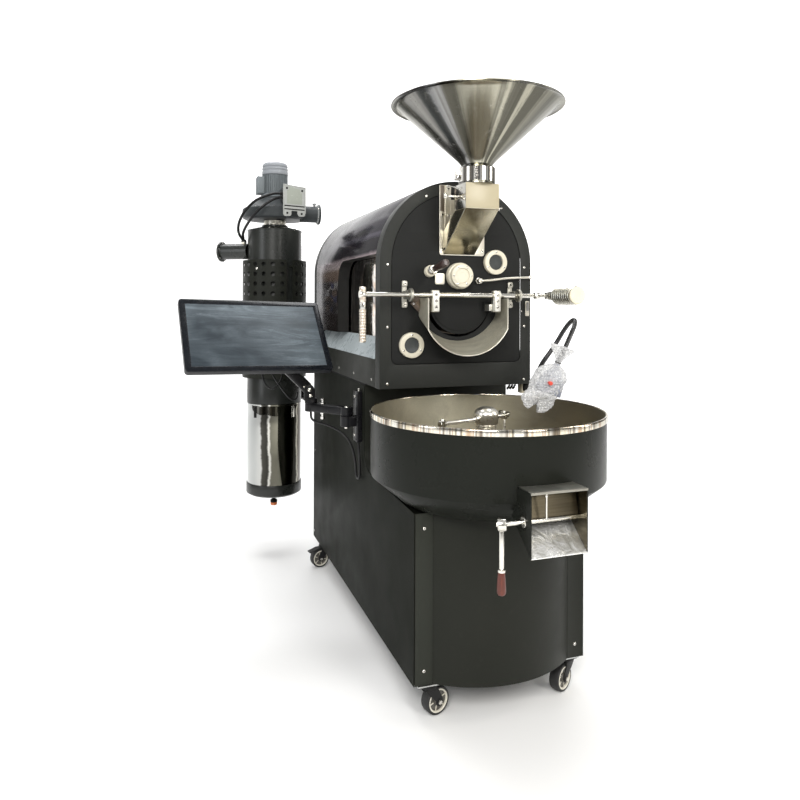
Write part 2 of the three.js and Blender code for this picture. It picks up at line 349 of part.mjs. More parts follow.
// --------------------------------------------------------- tray's chute box
{
  const back = [[-249, CHUTE_Z1], [-249, 662], [-206, 622]];
  const outl = [[CHUTE_Y0, CHUTE_Z1], ...back, [CHUTE_Y0, CHUTE_ZF]];
  const s1 = exX(outl, -CHUTE_HX, CHUTE_HX);
  const hollow = exX([[CHUTE_Y0 - 5, CHUTE_Z1 - 2], [-200, CHUTE_Z1 - 2], [-200, 619.5], [-206, 619.5], [CHUTE_Y0 - 5, CHUTE_ZF - 2]], -CHUTE_HX + 2, CHUTE_HX - 2);
  // the floor keeps 2 mm under the hollow
  const fl = exX([[CHUTE_Y0, CHUTE_ZF], [-206, 622], [-206, 624.6], [CHUTE_Y0, CHUTE_ZF + 2.6]], -CHUTE_HX, CHUTE_HX);
  const clear = lathe([[0, TRAY_BOT - 1], [TRAY_RB + 0.5, TRAY_BOT - 1], [TRAY_R + 0.5, TRAY_KNEE], [TRAY_R + 0.5, TRAY_TOP], [0, TRAY_TOP]], 0, TRAY_Y, 48);
  node('chute_box', cut(add(cut(s1, exX([[CHUTE_Y0 - 5, CHUTE_Z1 - 2], [-190, CHUTE_Z1 - 2], [-190, 640], [CHUTE_Y0 - 5, CHUTE_ZF - 8]], -CHUTE_HX + 2, CHUTE_HX - 2)), fl),
    clear, rod([-100, CH_SHAFT_Y, CH_SHAFT_Z], [100, CH_SHAFT_Y, CH_SHAFT_Z], 6.6, 16)), BLACK, 0.5, 0.3);
  node('chute_gate', add(rod([-152, CH_SHAFT_Y, CH_SHAFT_Z], [92, CH_SHAFT_Y, CH_SHAFT_Z], 6, 16), rod([-158, CH_SHAFT_Y, CH_SHAFT_Z], [-132, CH_SHAFT_Y, CH_SHAFT_Z], 14, 16),
    exX([[CH_SHAFT_Y - 2, CH_SHAFT_Z], [CH_SHAFT_Y + 2, CH_SHAFT_Z], [-251.5, 697], [-255, 697]], -76, 76),
    rod([-145, CH_SHAFT_Y, CH_SHAFT_Z - 10], [-145, CH_SHAFT_Y, 505], 6, 12), lathe([[0, 449], [9, 449], [11.5, 453], [9, 507], [0, 507]], -145, CH_SHAFT_Y, 16)), STEEL, 0.3, 0.9);
}
// ------------------------------------------------------------------- casters
{
  const R = WHEEL_D / 2, w = TRAIL;
  for (const [k, [x, y, dx, dy]] of Object.entries(CASTERS)) {
    // made with the pivot at the origin and the wheel trailing along +Y, then swivelled
    const q = Math.atan2(-dx, dy), put = g => (g instanceof THREE.BufferGeometry ? g : geo(g)).rotateZ(q).translate(x, y, 0);
    const side = [[-18, 85.5], [-18, 80], [w - 11, R - 4], [w - 7, R - 9], [w + 7, R - 9], [w + 11, R - 4], [w + 11, R + 6], [22, 80], [20, 85.5]];
    node('caster_fork_' + k, put(add(lathe([[0, 82.5], [24, 82.5], [24, 88], [30, 88], [30, 93.5], [26, 95.7], [0, 95.7]], 0, 0, 24), box(-21, 21, -18, w - 4, 82.2, 85.5),
      exX(side, -21, -18), exX(side, 18, 21), rod([-25, w, R], [25, w, R], 4, 10))), SILVER, 0.4, 0.8);
    node('caster_wheel_' + k, put(latheX([[4.5, -14], [R - 4, -16], [R, -12], [R, 12], [R - 4, 16], [4.5, 14]], w, R, 28)), RUBBER, 0.7, 0);
    if (k[0] === 'r') node('brake_pedal_' + k, put(exX([[w - 2, 82], [w + 14, 80.5], [w + 26, 75], [w + 50, 69], [w + 52, 73], [w + 28, 80], [w + 14, 85], [w - 2, 85.5]], -16, 16)), DARK, 0.6, 0.1);
  }
}
// ------------------------------------------------------------ chaff cyclone
{
  const X = CYC_X, Y = CYC_Y;
  // body: separator tube with its cover, top flange and neck, inlet pipe to the left and duct pipe to the machine
  const shell = lathe([[112, BUCKET_Z1 + 0.5], [126, BUCKET_Z1 + 0.5], [126, 1514], [62, 1530], [62, 1537], [49, 1537], [49, FAN_Z0 - 0.5], [45, FAN_Z0 - 0.5], [45, 1532], [58, 1527], [122, 1510], [122, 800], [112, 790]], X, Y, 36);
  const at = (s, z = 0) => INLET_A.map((v, i) => v + INLET_DIR[i] * s + (i === 2 ? z : 0));
  const inlet = add(rod(at(-20), at(INLET_L), 36.5, 24), rod(at(INLET_L - 10), at(INLET_L), 47, 24));
  const inside = lathe([[0, 700], [122, 700], [122, 1510], [0, 1510]], X, Y, 36);
  const din = rod([X + 60, Y - 20, 1000], [X + 160, Y - 20, 1000], 45, 16);
  const gz = at(70);
  node('cyclone_body', cut(add(shell, cut(inlet, inside), rod([gz[0], gz[1], 1440], [gz[0], gz[1], 1458], 13, 12)), rod(at(-60), at(INLET_L + 10), 33, 24), din), DARK, 0.5, 0.3);
  // perforated guard: a sleeve open to the right front, on three short feet
  let g = lathe([[GUARD_R - 2, GUARD_Z0], [GUARD_R, GUARD_Z0], [GUARD_R, GUARD_Z1], [GUARD_R - 2, GUARD_Z1]], X, Y, 36);
  const gapA = exZ([[X, Y], ...arc(X, Y, 220, -77, -65, 3)], GUARD_Z0 - 5, GUARD_Z1 + 5);
  g = cut(g, gapA, rod([X + 60, Y - 20, 1000], [X + 160, Y - 20, 1000], 56, 20));
  node('heat_guard', g, DARK, 0.6, 0.3);
  // duct with elbow from the rear plate to the cyclone
  const duct = add(bar([[-120, 1338, 1140], [-120, 1370, 1140], [-128, 1425, 1120], [-165, 1458, 1060], [-215, 1460, 1012], [-255, 1460, 1000], [-310, 1460, 1000]], 44, 12, 12),
    latheY([[0, 1336.4], [62, 1336.4], [62, 1342], [0, 1342]], -120, 1140, 24));
  node('exhaust_duct', duct, 0x8b8d8c, 0.4, 0.7);
  // fan scroll with outlet to the right, terminal plate to the front
  const scroll = lathe([[0, FAN_Z0], [150, FAN_Z0], [150, FAN_Z1], [132, FAN_Z1 + 18], [70, FAN_TOP - 7], [66, FAN_TOP], [0, FAN_TOP]], X, Y, 36);
  const cav = lathe([[0, FAN_Z0 + 3], [144, FAN_Z0 + 3], [144, FAN_Z1 - 1], [129, FAN_Z1 + 13], [66, FAN_TOP - 13], [0, FAN_TOP - 13]], X, Y, 36);
  const yo = Y - 60, zo = 1592, xo = -236;
  const outl = add(rod([X + 100, yo, zo], [xo, yo, zo], 38, 20), rod([xo - 10, yo, zo], [xo, yo, zo], 47, 20));
  const tb = add(box(X + 8, X + 111, Y - 186, Y - 180, 1564, 1709), box(X + 12, X + 107, Y - 182, Y - 66, 1628, 1703));
  node('fan_housing', cut(add(scroll, tb, outl), rod([X + 104, yo, zo], [xo + 10, yo, zo], 35, 20), rod([X, Y, FAN_Z0 - 10], [X, Y, FAN_Z0 + 10], 44, 24), cav, rod([X, Y, 1640], [X, Y, 1680], 14, 16)), 0x2b2d2d, 0.5, 0.4);
  node('fan_impeller', add(lathe([[0, 1578], [112, 1578], [112, 1582], [12, 1582], [12, 1676], [0, 1676]], X, Y, 24),
    ...Array.from({ length: 8 }, (_, i) => new THREE.BoxGeometry(80, 3, 32).translate(70, 0, 0).rotateZ(i * Math.PI / 4 + 0.2).translate(X, Y, 1596))), SILVER, 0.4, 0.8);
  // motor with its capacitor box on the left
  node('fan_motor', cut(add(lathe([[0, FAN_TOP + 0.4], [64, FAN_TOP + 0.4], [64, 1684], [60, 1688], [60, 1779], [61, 1781], [61, 1814], [54, MOTOR_Z1 - 4], [46, MOTOR_Z1], [0, MOTOR_Z1]], X, Y, 28),
    box(X - 88, X - 50, Y - 34, Y + 26, 1682, 1768)), rod([X, Y, 1660], [X, Y, 1680], 14, 16)), GREY, 0.5, 0.4);
  // two leads from the terminal box to the gland on the inlet pipe, with the tapered boot
  node('motor_cable', add(
    bar([[-425.2, 1324, 1668], [-440, 1324, 1668.5], [-458, 1322, 1667.5], [-476, 1318, 1663], [-513, 1312, 1649], [-552, 1320, 1627], [-586, 1352, 1592], [-603, 1385, 1562], [-611, 1420, 1534], [-610, 1452, 1509], [-601, 1478, 1489], [-589, 1492, 1474], [-582.5, 1498, 1467], [-579.5, 1500, 1464.6]], 6, 8, 22),
    bar([[-425.2, 1324, 1651], [-440, 1324, 1650.5], [-460, 1321, 1644], [-484, 1315, 1630], [-509, 1312, 1612], [-536, 1318, 1588], [-557, 1343, 1562], [-571, 1378, 1540], [-583, 1425, 1514], [-587, 1462, 1494], [-583, 1490, 1478], [-580, 1502, 1469], [-578.5, 1503, 1464.6]], 6, 8, 22),
    lathe([[0, 1458.4], [12.5, 1458.4], [11, 1468], [0, 1468]], gz[0], gz[1], 12)), RUBBER, 0.7, 0);
  // chaff bucket: polished can with a dark foot ring, drain knob below
  const b0 = BUCKET_Z0;
  node('chaff_bucket', cut(lathe([[0, 216], [16, 216], [16, 232], [9, 235], [9, b0], [112, b0], [128, b0 + 10], [128, b0 + 56], [125, b0 + 58], [125, BUCKET_Z1], [108, BUCKET_Z1], [108, BUCKET_Z1 - 3], [122, BUCKET_Z1 - 3], [122, b0 + 62], [0, b0 + 62]], X, Y, 36)), SILVER, 0.15, 0.95);
}
// -------------------------------------------------------------- screen on arm
{
  const BX = -CAB_HW - GAP, BY = 556;
  node('arm_bracket', cut(add(box(BX - 18, BX, BY - 28, BY + 28, 683, 862), box(BX - 50, BX - 16, BY - 22, BY + 22, 738, 776), rod([-325, BY, 738], [-325, BY, 776], 22, 20)), rod([-325, BY, 730], [-325, BY, 790], 9, 16)), DARK, 0.5, 0.2);
  const E = [-425, 690];
  const dir = (a, b) => Math.atan2(b[1] - a[1], b[0] - a[0]);
  const link = (a, b, w, z0, z1) => {
    const L = Math.hypot(b[0] - a[0], b[1] - a[1]);
    return new THREE.BoxGeometry(L, w, z1 - z0).translate(L / 2, 0, (z0 + z1) / 2).rotateZ(dir(a, b)).translate(a[0], a[1], 0);
  };
  const S = [-325, BY];
  node('lower_arm', cut(add(link(S, E, 34, 777, 806), rod([...S, 777], [...S, 806], 22, 20), rod([...E, 777], [...E, 806], 22, 20), rod([...S, 731], [...S, 778], 8, 14)), rod([...E, 770], [...E, 815], 9, 16)), DARK, 0.5, 0.2);
  // elbow link: pin in the lower arm, yoke with the tilt axis at P
  const P = [-437, 688, 858], H = [-620, 676, 1043];
  const ax = new THREE.Vector3(H[0] - P[0], H[1] - P[1], 0).normalize(), nx = new THREE.Vector3(-ax.y, ax.x, 0);
  const off = (p, d, z = 0) => [p[0] + nx.x * d, p[1] + nx.y * d, p[2] + z];
  const cheek = (d0, d1) => {
    const L = 40; const g = new THREE.BoxGeometry(40, Math.abs(d1 - d0), 56);
    g.translate(0, (d0 + d1) / 2, 0).rotateZ(Math.atan2(ax.y, ax.x)).translate(P[0], P[1], 848);
    return g;
  };
  node('elbow_link', add(rod([...E, 775], [...E, 808], 8, 14), rod([...E, 806.4], [...E, 824], 23, 20), cheek(-25, -19), cheek(19, 25),
    new THREE.BoxGeometry(44, 50, 6).rotateZ(Math.atan2(ax.y, ax.x)).translate(P[0] + 2, P[1], 823), rod(off(P, -24), off(P, 24), 5, 12)), DARK, 0.5, 0.2);
  // screen lead from the elbow, in a loop under the wall bracket, back up to the bracket
  node('monitor_cable', bar([[-425, 690, 774], [-425, 690, 763], [-423.4, 687.8, 752], [-417.5, 680, 744], [-407, 666, 739.5], [-374, 624, 732], [-342, 588, 716], [-317, 567, 690], [-302, 561.5, 658], [-294, 561, 626], [-289.5, 561, 596], [-288, 558.5, 577], [-287.5, 551, 565.5], [-287, 543, 562], [-286.5, 534.5, 565.5], [-286, 528, 577], [-285.5, 527, 598], [-285, 532, 632], [-285, 539.5, 658], [-285, 541, 682.4]], 4, 8, 40), RUBBER, 0.7, 0);
  // upper arm: two side shells around the spring
  const dHP = new THREE.Vector3(H[0] - P[0], H[1] - P[1], H[2] - P[2]);
  const armG = (w, h, ext0, ext1) => {
    const L = dHP.length(); const g = new THREE.BoxGeometry(L + ext0 + ext1, w, h).translate(L / 2 + (ext1 - ext0) / 2, 0, 0);
    const q = new THREE.Quaternion().setFromRotationMatrix(new THREE.Matrix4().makeBasis(dHP.clone().normalize(), nx, dHP.clone().normalize().cross(nx)));
    return g.applyQuaternion(q).translate(...P);
  };
  node('upper_arm', cut(add(armG(37, 38, 12, -34), armG(24, 26, -150, -7), rod(off(P, -18.5), off(P, 18.5), 19, 20), rod(off(H, -12), off(H, 12), 14, 16)), rod(off(P, -30), off(P, 30), 5.9, 14), rod(off(H, -30), off(H, 30), 5.9, 14)), 0x26282a, 0.45, 0.2);
  // head: yoke on the arm's end with the pan pin, then the plate behind the screen
  const MC = [-634, 598, 1064], n = [0.116, -0.766, 0.633], U = [-0.063, 0.630, 0.774], Rr = [0.991, 0.130, -0.025];
  const yoke = (d) => { const g = new THREE.BoxGeometry(34, 5, 34); g.translate(0, d, 0).rotateZ(Math.atan2(ax.y, ax.x)).translate(H[0], H[1], H[2]); return g; };
  const PM = [0, 1, 2].map(i => MC[i] - n[i] * 52);     // tilt axis of the screen
  node('monitor_head', add(yoke(-15.3), yoke(15.3), rod(off(H, -17), off(H, 17), 5, 12),
    new THREE.BoxGeometry(34, 36, 5).rotateZ(Math.atan2(ax.y, ax.x)).translate(H[0], H[1], H[2] + 17),
    rod(off(H, 20), PM, 9, 14), rod(PM.map((v, i) => v - Rr[i] * 42), PM.map((v, i) => v + Rr[i] * 42), 7, 16)), DARK, 0.5, 0.2);
  // screen: slab with softly chamfered back and the mounting plate on its back
  const q = new THREE.Matrix4().makeBasis(new THREE.Vector3(...Rr).normalize(), new THREE.Vector3(...U).normalize(), new THREE.Vector3(...n).normalize());
  const slabShape = new THREE.Shape();
  const w = 250, h = 150, r = 10;
  slabShape.moveTo(-w + r, -h); slabShape.lineTo(w - r, -h); slabShape.absarc(w - r, -h + r, r, -Math.PI / 2, 0); slabShape.lineTo(w, h - r); slabShape.absarc(w - r, h - r, r, 0, Math.PI / 2);
  slabShape.lineTo(-w + r, h); slabShape.absarc(-w + r, h - r, r, Math.PI / 2, Math.PI); slabShape.lineTo(-w, -h + r); slabShape.absarc(-w + r, -h + r, r, Math.PI, 1.5 * Math.PI);
  const slab = new THREE.ExtrudeGeometry(slabShape, { depth: 24, bevelEnabled: false, curveSegments: 3 }).translate(0, 0, -24);
  const hump = new THREE.BoxGeometry(260, 150, 8).translate(0, 0, -27.5);
  const ear = x => box(x - 3, x + 3, -12, 12, -62, -28);
  const screen = geo(cut(add(slab, hump, ear(-38), ear(38)), rod([-50, 0, -52], [50, 0, -52], 7.8, 16)));
  screen.applyMatrix4(q); screen.translate(...MC);
  node('monitor', screen, 0x17191c, 0.35, 0.1);
}
// -------------------------------------------------------------- tray lamp
{
  const A = [264, 131, 980];                      // end of the arm, where the lamp head turns
  node('lamp_arm', add(rod([272, 348, 866], [272, 348, 892.7], 11, 16), bar([[272, 348, 872], [281, 337, 879], [289, 318, 912], [300, 286, 967], [322, 270, 1008], [340, 260, 1040], [355, 243, 1078], [365, 226, 1104], [369.3, 208, 1117], [366, 190, 1116], [351, 170, 1098], [320, 152, 1059], [288, 138, 1014], A], 8, 8, 24)), DARK, 0.5, 0.1);
  const d = new THREE.Vector3(-0.34, 0.05, -0.94).normalize();
  const prof = [[0, 4], [10, 4], [16, 14], [30, 40], [44, 62], [47, 90], [40, 118], [24, 138], [0, 148]];
  const g = new THREE.LatheGeometry(prof.map(([r, s]) => new THREE.Vector2(r, s)), 20);
  g.applyQuaternion(new THREE.Quaternion().setFromUnitVectors(new THREE.Vector3(0, 1, 0), d)).translate(...A);
  node('lamp_head', g, 0xd8dadb, 0.4, 0);
}

// ------------------------------------------------------ origin at the bottom
const bb = new THREE.Box3().setFromObject(group);
const SHIFT = [-(bb.min.x + bb.max.x) / 2, -(bb.min.y + bb.max.y) / 2, -bb.min.z];
group.position.set(...SHIFT);
group.updateMatrixWorld(true);
export default group;
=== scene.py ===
# Gas drum coffee roaster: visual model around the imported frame.
import bpy, bmesh, math, random
from mathutils import Vector, Matrix, noise


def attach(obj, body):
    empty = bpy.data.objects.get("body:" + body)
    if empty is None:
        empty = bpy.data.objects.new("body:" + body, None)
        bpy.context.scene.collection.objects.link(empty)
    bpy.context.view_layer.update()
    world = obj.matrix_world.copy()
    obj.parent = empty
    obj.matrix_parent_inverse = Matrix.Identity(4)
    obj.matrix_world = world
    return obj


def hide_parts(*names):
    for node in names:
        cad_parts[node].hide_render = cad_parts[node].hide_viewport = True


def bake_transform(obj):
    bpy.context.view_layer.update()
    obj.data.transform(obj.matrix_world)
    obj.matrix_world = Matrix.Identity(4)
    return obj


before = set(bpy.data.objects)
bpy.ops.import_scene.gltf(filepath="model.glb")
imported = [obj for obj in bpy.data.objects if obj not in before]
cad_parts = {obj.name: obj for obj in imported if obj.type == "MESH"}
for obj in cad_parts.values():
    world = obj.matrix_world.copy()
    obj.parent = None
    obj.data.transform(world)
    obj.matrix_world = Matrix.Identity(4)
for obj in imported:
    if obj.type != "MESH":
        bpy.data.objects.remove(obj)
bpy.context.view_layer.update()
random.seed(7)
rad = math.radians

# ------------------------------------------------------------------ frame
# Lengths below are in millimetres in the construction frame: X right from the
# mid plane, Y back from the cabinet's front, Z up from the floor.
SX, SY = 258.9519500732422, -662.0


def T(p):
    return ((p[0] + SX) / 1000.0, (p[1] + SY) / 1000.0, p[2] / 1000.0)


# ----------------------------------------------------------------- camera
cam_data = bpy.data.cameras.new("camera")
cam = bpy.data.objects.new("camera", cam_data)
bpy.context.scene.collection.objects.link(cam)
bpy.context.scene.camera = cam
cam_data.sensor_width = 36.0
cam_data.lens = 31.055
cam_data.shift_x = 0.0019
cam_data.shift_y = -0.1203
cam_data.clip_start = 0.05
cam.rotation_euler = (Matrix.Rotation(rad(-18.967), 4, 'Z') @ Matrix.Rotation(rad(90.0), 4, 'X') @ Matrix.Rotation(rad(0.2243), 4, 'Z')).to_euler()
cam.location = T((-945, -1806, 1171))


# ------------------------------------------------------------- primitives
class G:
    """Gathers vertices and faces, each face with a material index."""

    def __init__(s):
        s.v, s.f, s.m = [], [], []

    def add(s, vf, mat=0):
        v, f = vf
        o = len(s.v)
        s.v += v
        s.f += [tuple(i + o for i in q) for q in f]
        s.m += [mat] * len(f)
        return s


def basis(d, up=None):
    d = Vector(d).normalized()
    a = Vector(up) if up is not None else (Vector((0, 0, 1)) if abs(d.z) < 0.9 else Vector((1, 0, 0)))
    x = a.cross(d).normalized()
    if x.length < 1e-6:
        x = Vector((0, 1, 0)).cross(d).normalized()
    y = d.cross(x)
    return x, y, d


def lathe(prof, o=(0, 0, 0), d=(0, 0, 1), seg=64, closed=None, a0=0.0, a1=360.0):
    """profile [(r, h)] turned about the axis through o along d. Ends on the axis, or closes on itself."""
    x, y, z = basis(d)
    o = Vector(o)
    full = abs(a1 - a0 - 360) < 1e-6
    n = seg if full else seg + 1
    onax = prof[0][0] < 1e-6 and prof[-1][0] < 1e-6
    if closed is None:
        closed = not onax
    V, F, idx = [], [], []
    for r, h in prof:
        if r < 1e-6:
            idx.append([len(V)] * n)
            V.append(tuple(o + z * h))
        else:
            row = []
            for i in range(n):
                a = rad(a0 + (a1 - a0) * i / seg)
                row.append(len(V))
                V.append(tuple(o + z * h + (x * math.cos(a) + y * math.sin(a)) * r))
            idx.append(row)
    k = len(prof)
    for j in range(k if closed else k - 1):
        A, Bq = idx[j], idx[(j + 1) % k]
        for i in range(n if full else n - 1):
            i2 = (i + 1) % n
            q = [A[i], A[i2], Bq[i2], Bq[i]]
            u = []
            for t in q:
                if t not in u:
                    u.append(t)
            if len(u) > 2:
                F.append(tuple(u))
    if not full:
        F.append(tuple(r[0] for r in idx) if True else ())
        F.append(tuple(r[-1] for r in reversed(idx)))
    return V, F


def rod(p, q, r, seg=24, r2=None, c=0.0):
    """a cylinder or cone from p to q with chamfered ends"""
    r2 = r if r2 is None else r2
    d = Vector(q) - Vector(p)
    L = d.length
    c = min(c, L * 0.4, r * 0.6, r2 * 0.6)
    if c > 0:
        prof = [(0, 0), (r - c, 0), (r - c * 0.29, c * 0.29), (r, c), (r2, L - c), (r2 - c * 0.29, L - c * 0.29), (r2 - c, L), (0, L)]
    else:
        prof = [(0, 0), (r, 0), (r2, L), (0, L)]
    return lathe(prof, p, d, seg)


def box(x0, x1, y0, y1, z0, z1, b=0.0, seg=2, M=None):
    bm = bmesh.new()
    bmesh.ops.create_cube(bm, size=1.0)
    for v in bm.verts:
        v.co = Vector((x0 + (x1 - x0) * (v.co.x + 0.5), y0 + (y1 - y0) * (v.co.y + 0.5), z0 + (z1 - z0) * (v.co.z + 0.5)))
    if b > 0:
        bmesh.ops.bevel(bm, geom=list(bm.edges), offset=b, segments=seg, profile=0.5, affect='EDGES')
    return _take(bm, M)


def _take(bm, M=None):
    bm.verts.ensure_lookup_table()
    bm.verts.index_update()
    V = [tuple(M @ v.co) if M is not None else tuple(v.co) for v in bm.verts]
    F = [tuple(v.index for v in f.verts) for f in bm.faces]
    bm.free()
    return V, F


def prism(outline, plane, d0, d1, b=0.0, holes=(), res=2):
    """a plate of the outline with holes between d0 and d1 along the plane's normal, edges rounded by b"""
    cu = bpy.data.curves.new("tmp", 'CURVE')
    cu.dimensions = '2D'
    cu.fill_mode = 'BOTH'
    for pts in [outline] + list(holes):
        sp = cu.splines.new('POLY')
        sp.points.add(len(pts) - 1)
        for i, p in enumerate(pts):
            sp.points[i].co = (p[0], p[1], 0, 1)
        sp.use_cyclic_u = True
    t = abs(d1 - d0)
    b = min(b, t * 0.49)
    cu.extrude = t / 2 - b
    cu.bevel_depth = b
    cu.bevel_resolution = res
    cu.offset = -b
    ob = bpy.data.objects.new("tmp", cu)
    bpy.context.scene.collection.objects.link(ob)
    dg = bpy.context.evaluated_depsgraph_get()
    me = bpy.data.meshes.new_from_object(ob.evaluated_get(dg))
    bm = bmesh.new()
    bm.from_mesh(me)
    bmesh.ops.remove_doubles(bm, verts=bm.verts, dist=0.004)
    mid = (d0 + d1) / 2
    for v in bm.verts:
        a, c, w = v.co
        if plane == 'XZ':
            v.co = Vector((a, mid + w, c))
        elif plane == 'YZ':
            v.co = Vector((mid + w, a, c))
        else:
            v.co = Vector((a, c, mid + w))
    bpy.data.objects.remove(ob)
    bpy.data.curves.remove(cu)
    bpy.data.meshes.remove(me)
    return _take(bm)


def smooth_path(pts, n=8):
    """Catmull-Rom points through pts"""
    P = [Vector(p) for p in pts]
    out = []
    for i in range(len(P) - 1):
        p0 = P[i - 1] if i else P[0] * 2 - P[1]
        p1, p2 = P[i], P[i + 1]
        p3 = P[i + 2] if i + 2 < len(P) else P[-1] * 2 - P[-2]
        for k in range(n):
            t = k / n
            out.append(0.5 * ((2 * p1) + (p2 - p0) * t + (2 * p0 - 5 * p1 + 4 * p2 - p3) * t * t + (3 * p1 - p0 - 3 * p2 + p3) * t ** 3))
    out.append(P[-1])
    return out


def tube(pts, r, seg=12, n=6, radii=None, smooth=True, round_end=False):
    """a round bar along points"""
    P = smooth_path(pts, n) if smooth else [Vector(p) for p in pts]
    m = len(P)
    T0 = (P[1] - P[0]).normalized()
    x, y, _ = basis(T0)
    V, F = [], []
    prev = T0
    for i, p in enumerate(P):
        t = (P[min(i + 1, m - 1)] - P[max(i - 1, 0)]).normalized()
        q = prev.rotation_difference(t)
        x = (q @ x).normalized()
        x = (x - t * x.dot(t)).normalized()
        y = t.cross(x)
        prev = t
        rr = r if radii is None else radii(i / (m - 1)) * r
        for k in range(seg):
            a = 2 * math.pi * k / seg
            V.append(tuple(p + (x * math.cos(a) + y * math.sin(a)) * rr))
    for i in range(m - 1):
        for k in range(seg):
            k2 = (k + 1) % seg
            F.append((i * seg + k, i * seg + k2, (i + 1) * seg + k2, (i + 1) * seg + k))
    F.append(tuple(range(seg - 1, -1, -1)))
    F.append(tuple((m - 1) * seg + k for k in range(seg)))
    return V, F


def arc(cx, cy, r, a0, a1, n):
    return [(cx + r * math.cos(rad(a0 + (a1 - a0) * i / n)), cy + r * math.sin(rad(a0 + (a1 - a0) * i / n))) for i in range(n + 1)]


def circle(cx, cy, r, n=48):
    return [(cx + r * math.cos(2 * math.pi * i / n), cy + r * math.sin(2 * math.pi * i / n)) for i in range(n)]


def rrect(x0, x1, y0, y1, r, n=6):
    return arc(x1 - r, y0 + r, r, -90, 0, n) + arc(x1 - r, y1 - r, r, 0, 90, n) + arc(x0 + r, y1 - r, r, 90, 180, n) + arc(x0 + r, y0 + r, r, 180, 270, n)


def move(vf, M):
    return [tuple(M @ Vector(v)) for v in vf[0]], vf[1]


def build(name, g, mats, body='root', rep=(), angle=38, bevel=0.0, bseg=2):
    me = bpy.data.meshes.new(name)
    me.from_pydata([T(p) for p in g.v], [], g.f)
    if not isinstance(mats, (list, tuple)):
        mats = [mats]
    for m in mats:
        me.materials.append(m)
    me.polygons.foreach_set("material_index", g.m)
    bm = bmesh.new()
    bm.from_mesh(me)
    bmesh.ops.recalc_face_normals(bm, faces=bm.faces)
    bm.to_mesh(me)
    bm.free()
    me.polygons.foreach_set("use_smooth", [True] * len(me.polygons))
    me.set_sharp_from_angle(angle=rad(angle))
    me.update()
    o = bpy.data.objects.new(name, me)
    bpy.context.scene.collection.objects.link(o)
    if bevel:
        md = o.modifiers.new("edges", 'BEVEL')
        md.width = bevel / 1000
        md.segments = bseg
        md.limit_method = 'ANGLE'
        md.angle_limit = rad(45)
        md.harden_normals = True
    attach(o, body)
    if rep:
        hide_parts(*([rep] if isinstance(rep, str) else rep))
    return o


def boolean(o, cutter, op='DIFFERENCE', angle=38):
    """applies a boolean with another mesh object, which is then removed"""
    md = o.modifiers.new("b", 'BOOLEAN')
    md.operation = op
    md.solver = 'EXACT'
    md.object = cutter
    dg = bpy.context.evaluated_depsgraph_get()
    me = bpy.data.meshes.new_from_object(o.evaluated_get(dg))
    o.modifiers.remove(md)
    old = o.data
    o.data = me
    me.name = o.name
    me.polygons.foreach_set("use_smooth", [True] * len(me.polygons))
    me.set_sharp_from_angle(angle=rad(angle))
    bpy.data.meshes.remove(old)
    bpy.data.objects.remove(cutter)


def raw(name, g):
    me = bpy.data.meshes.new(name)
    me.from_pydata([T(p) for p in g.v], [], g.f)
    bm = bmesh.new()
    bm.from_mesh(me)
    bmesh.ops.recalc_face_normals(bm, faces=bm.faces)
    bm.to_mesh(me)
    bm.free()
    o = bpy.data.objects.new(name, me)
    bpy.context.scene.collection.objects.link(o)
    return o


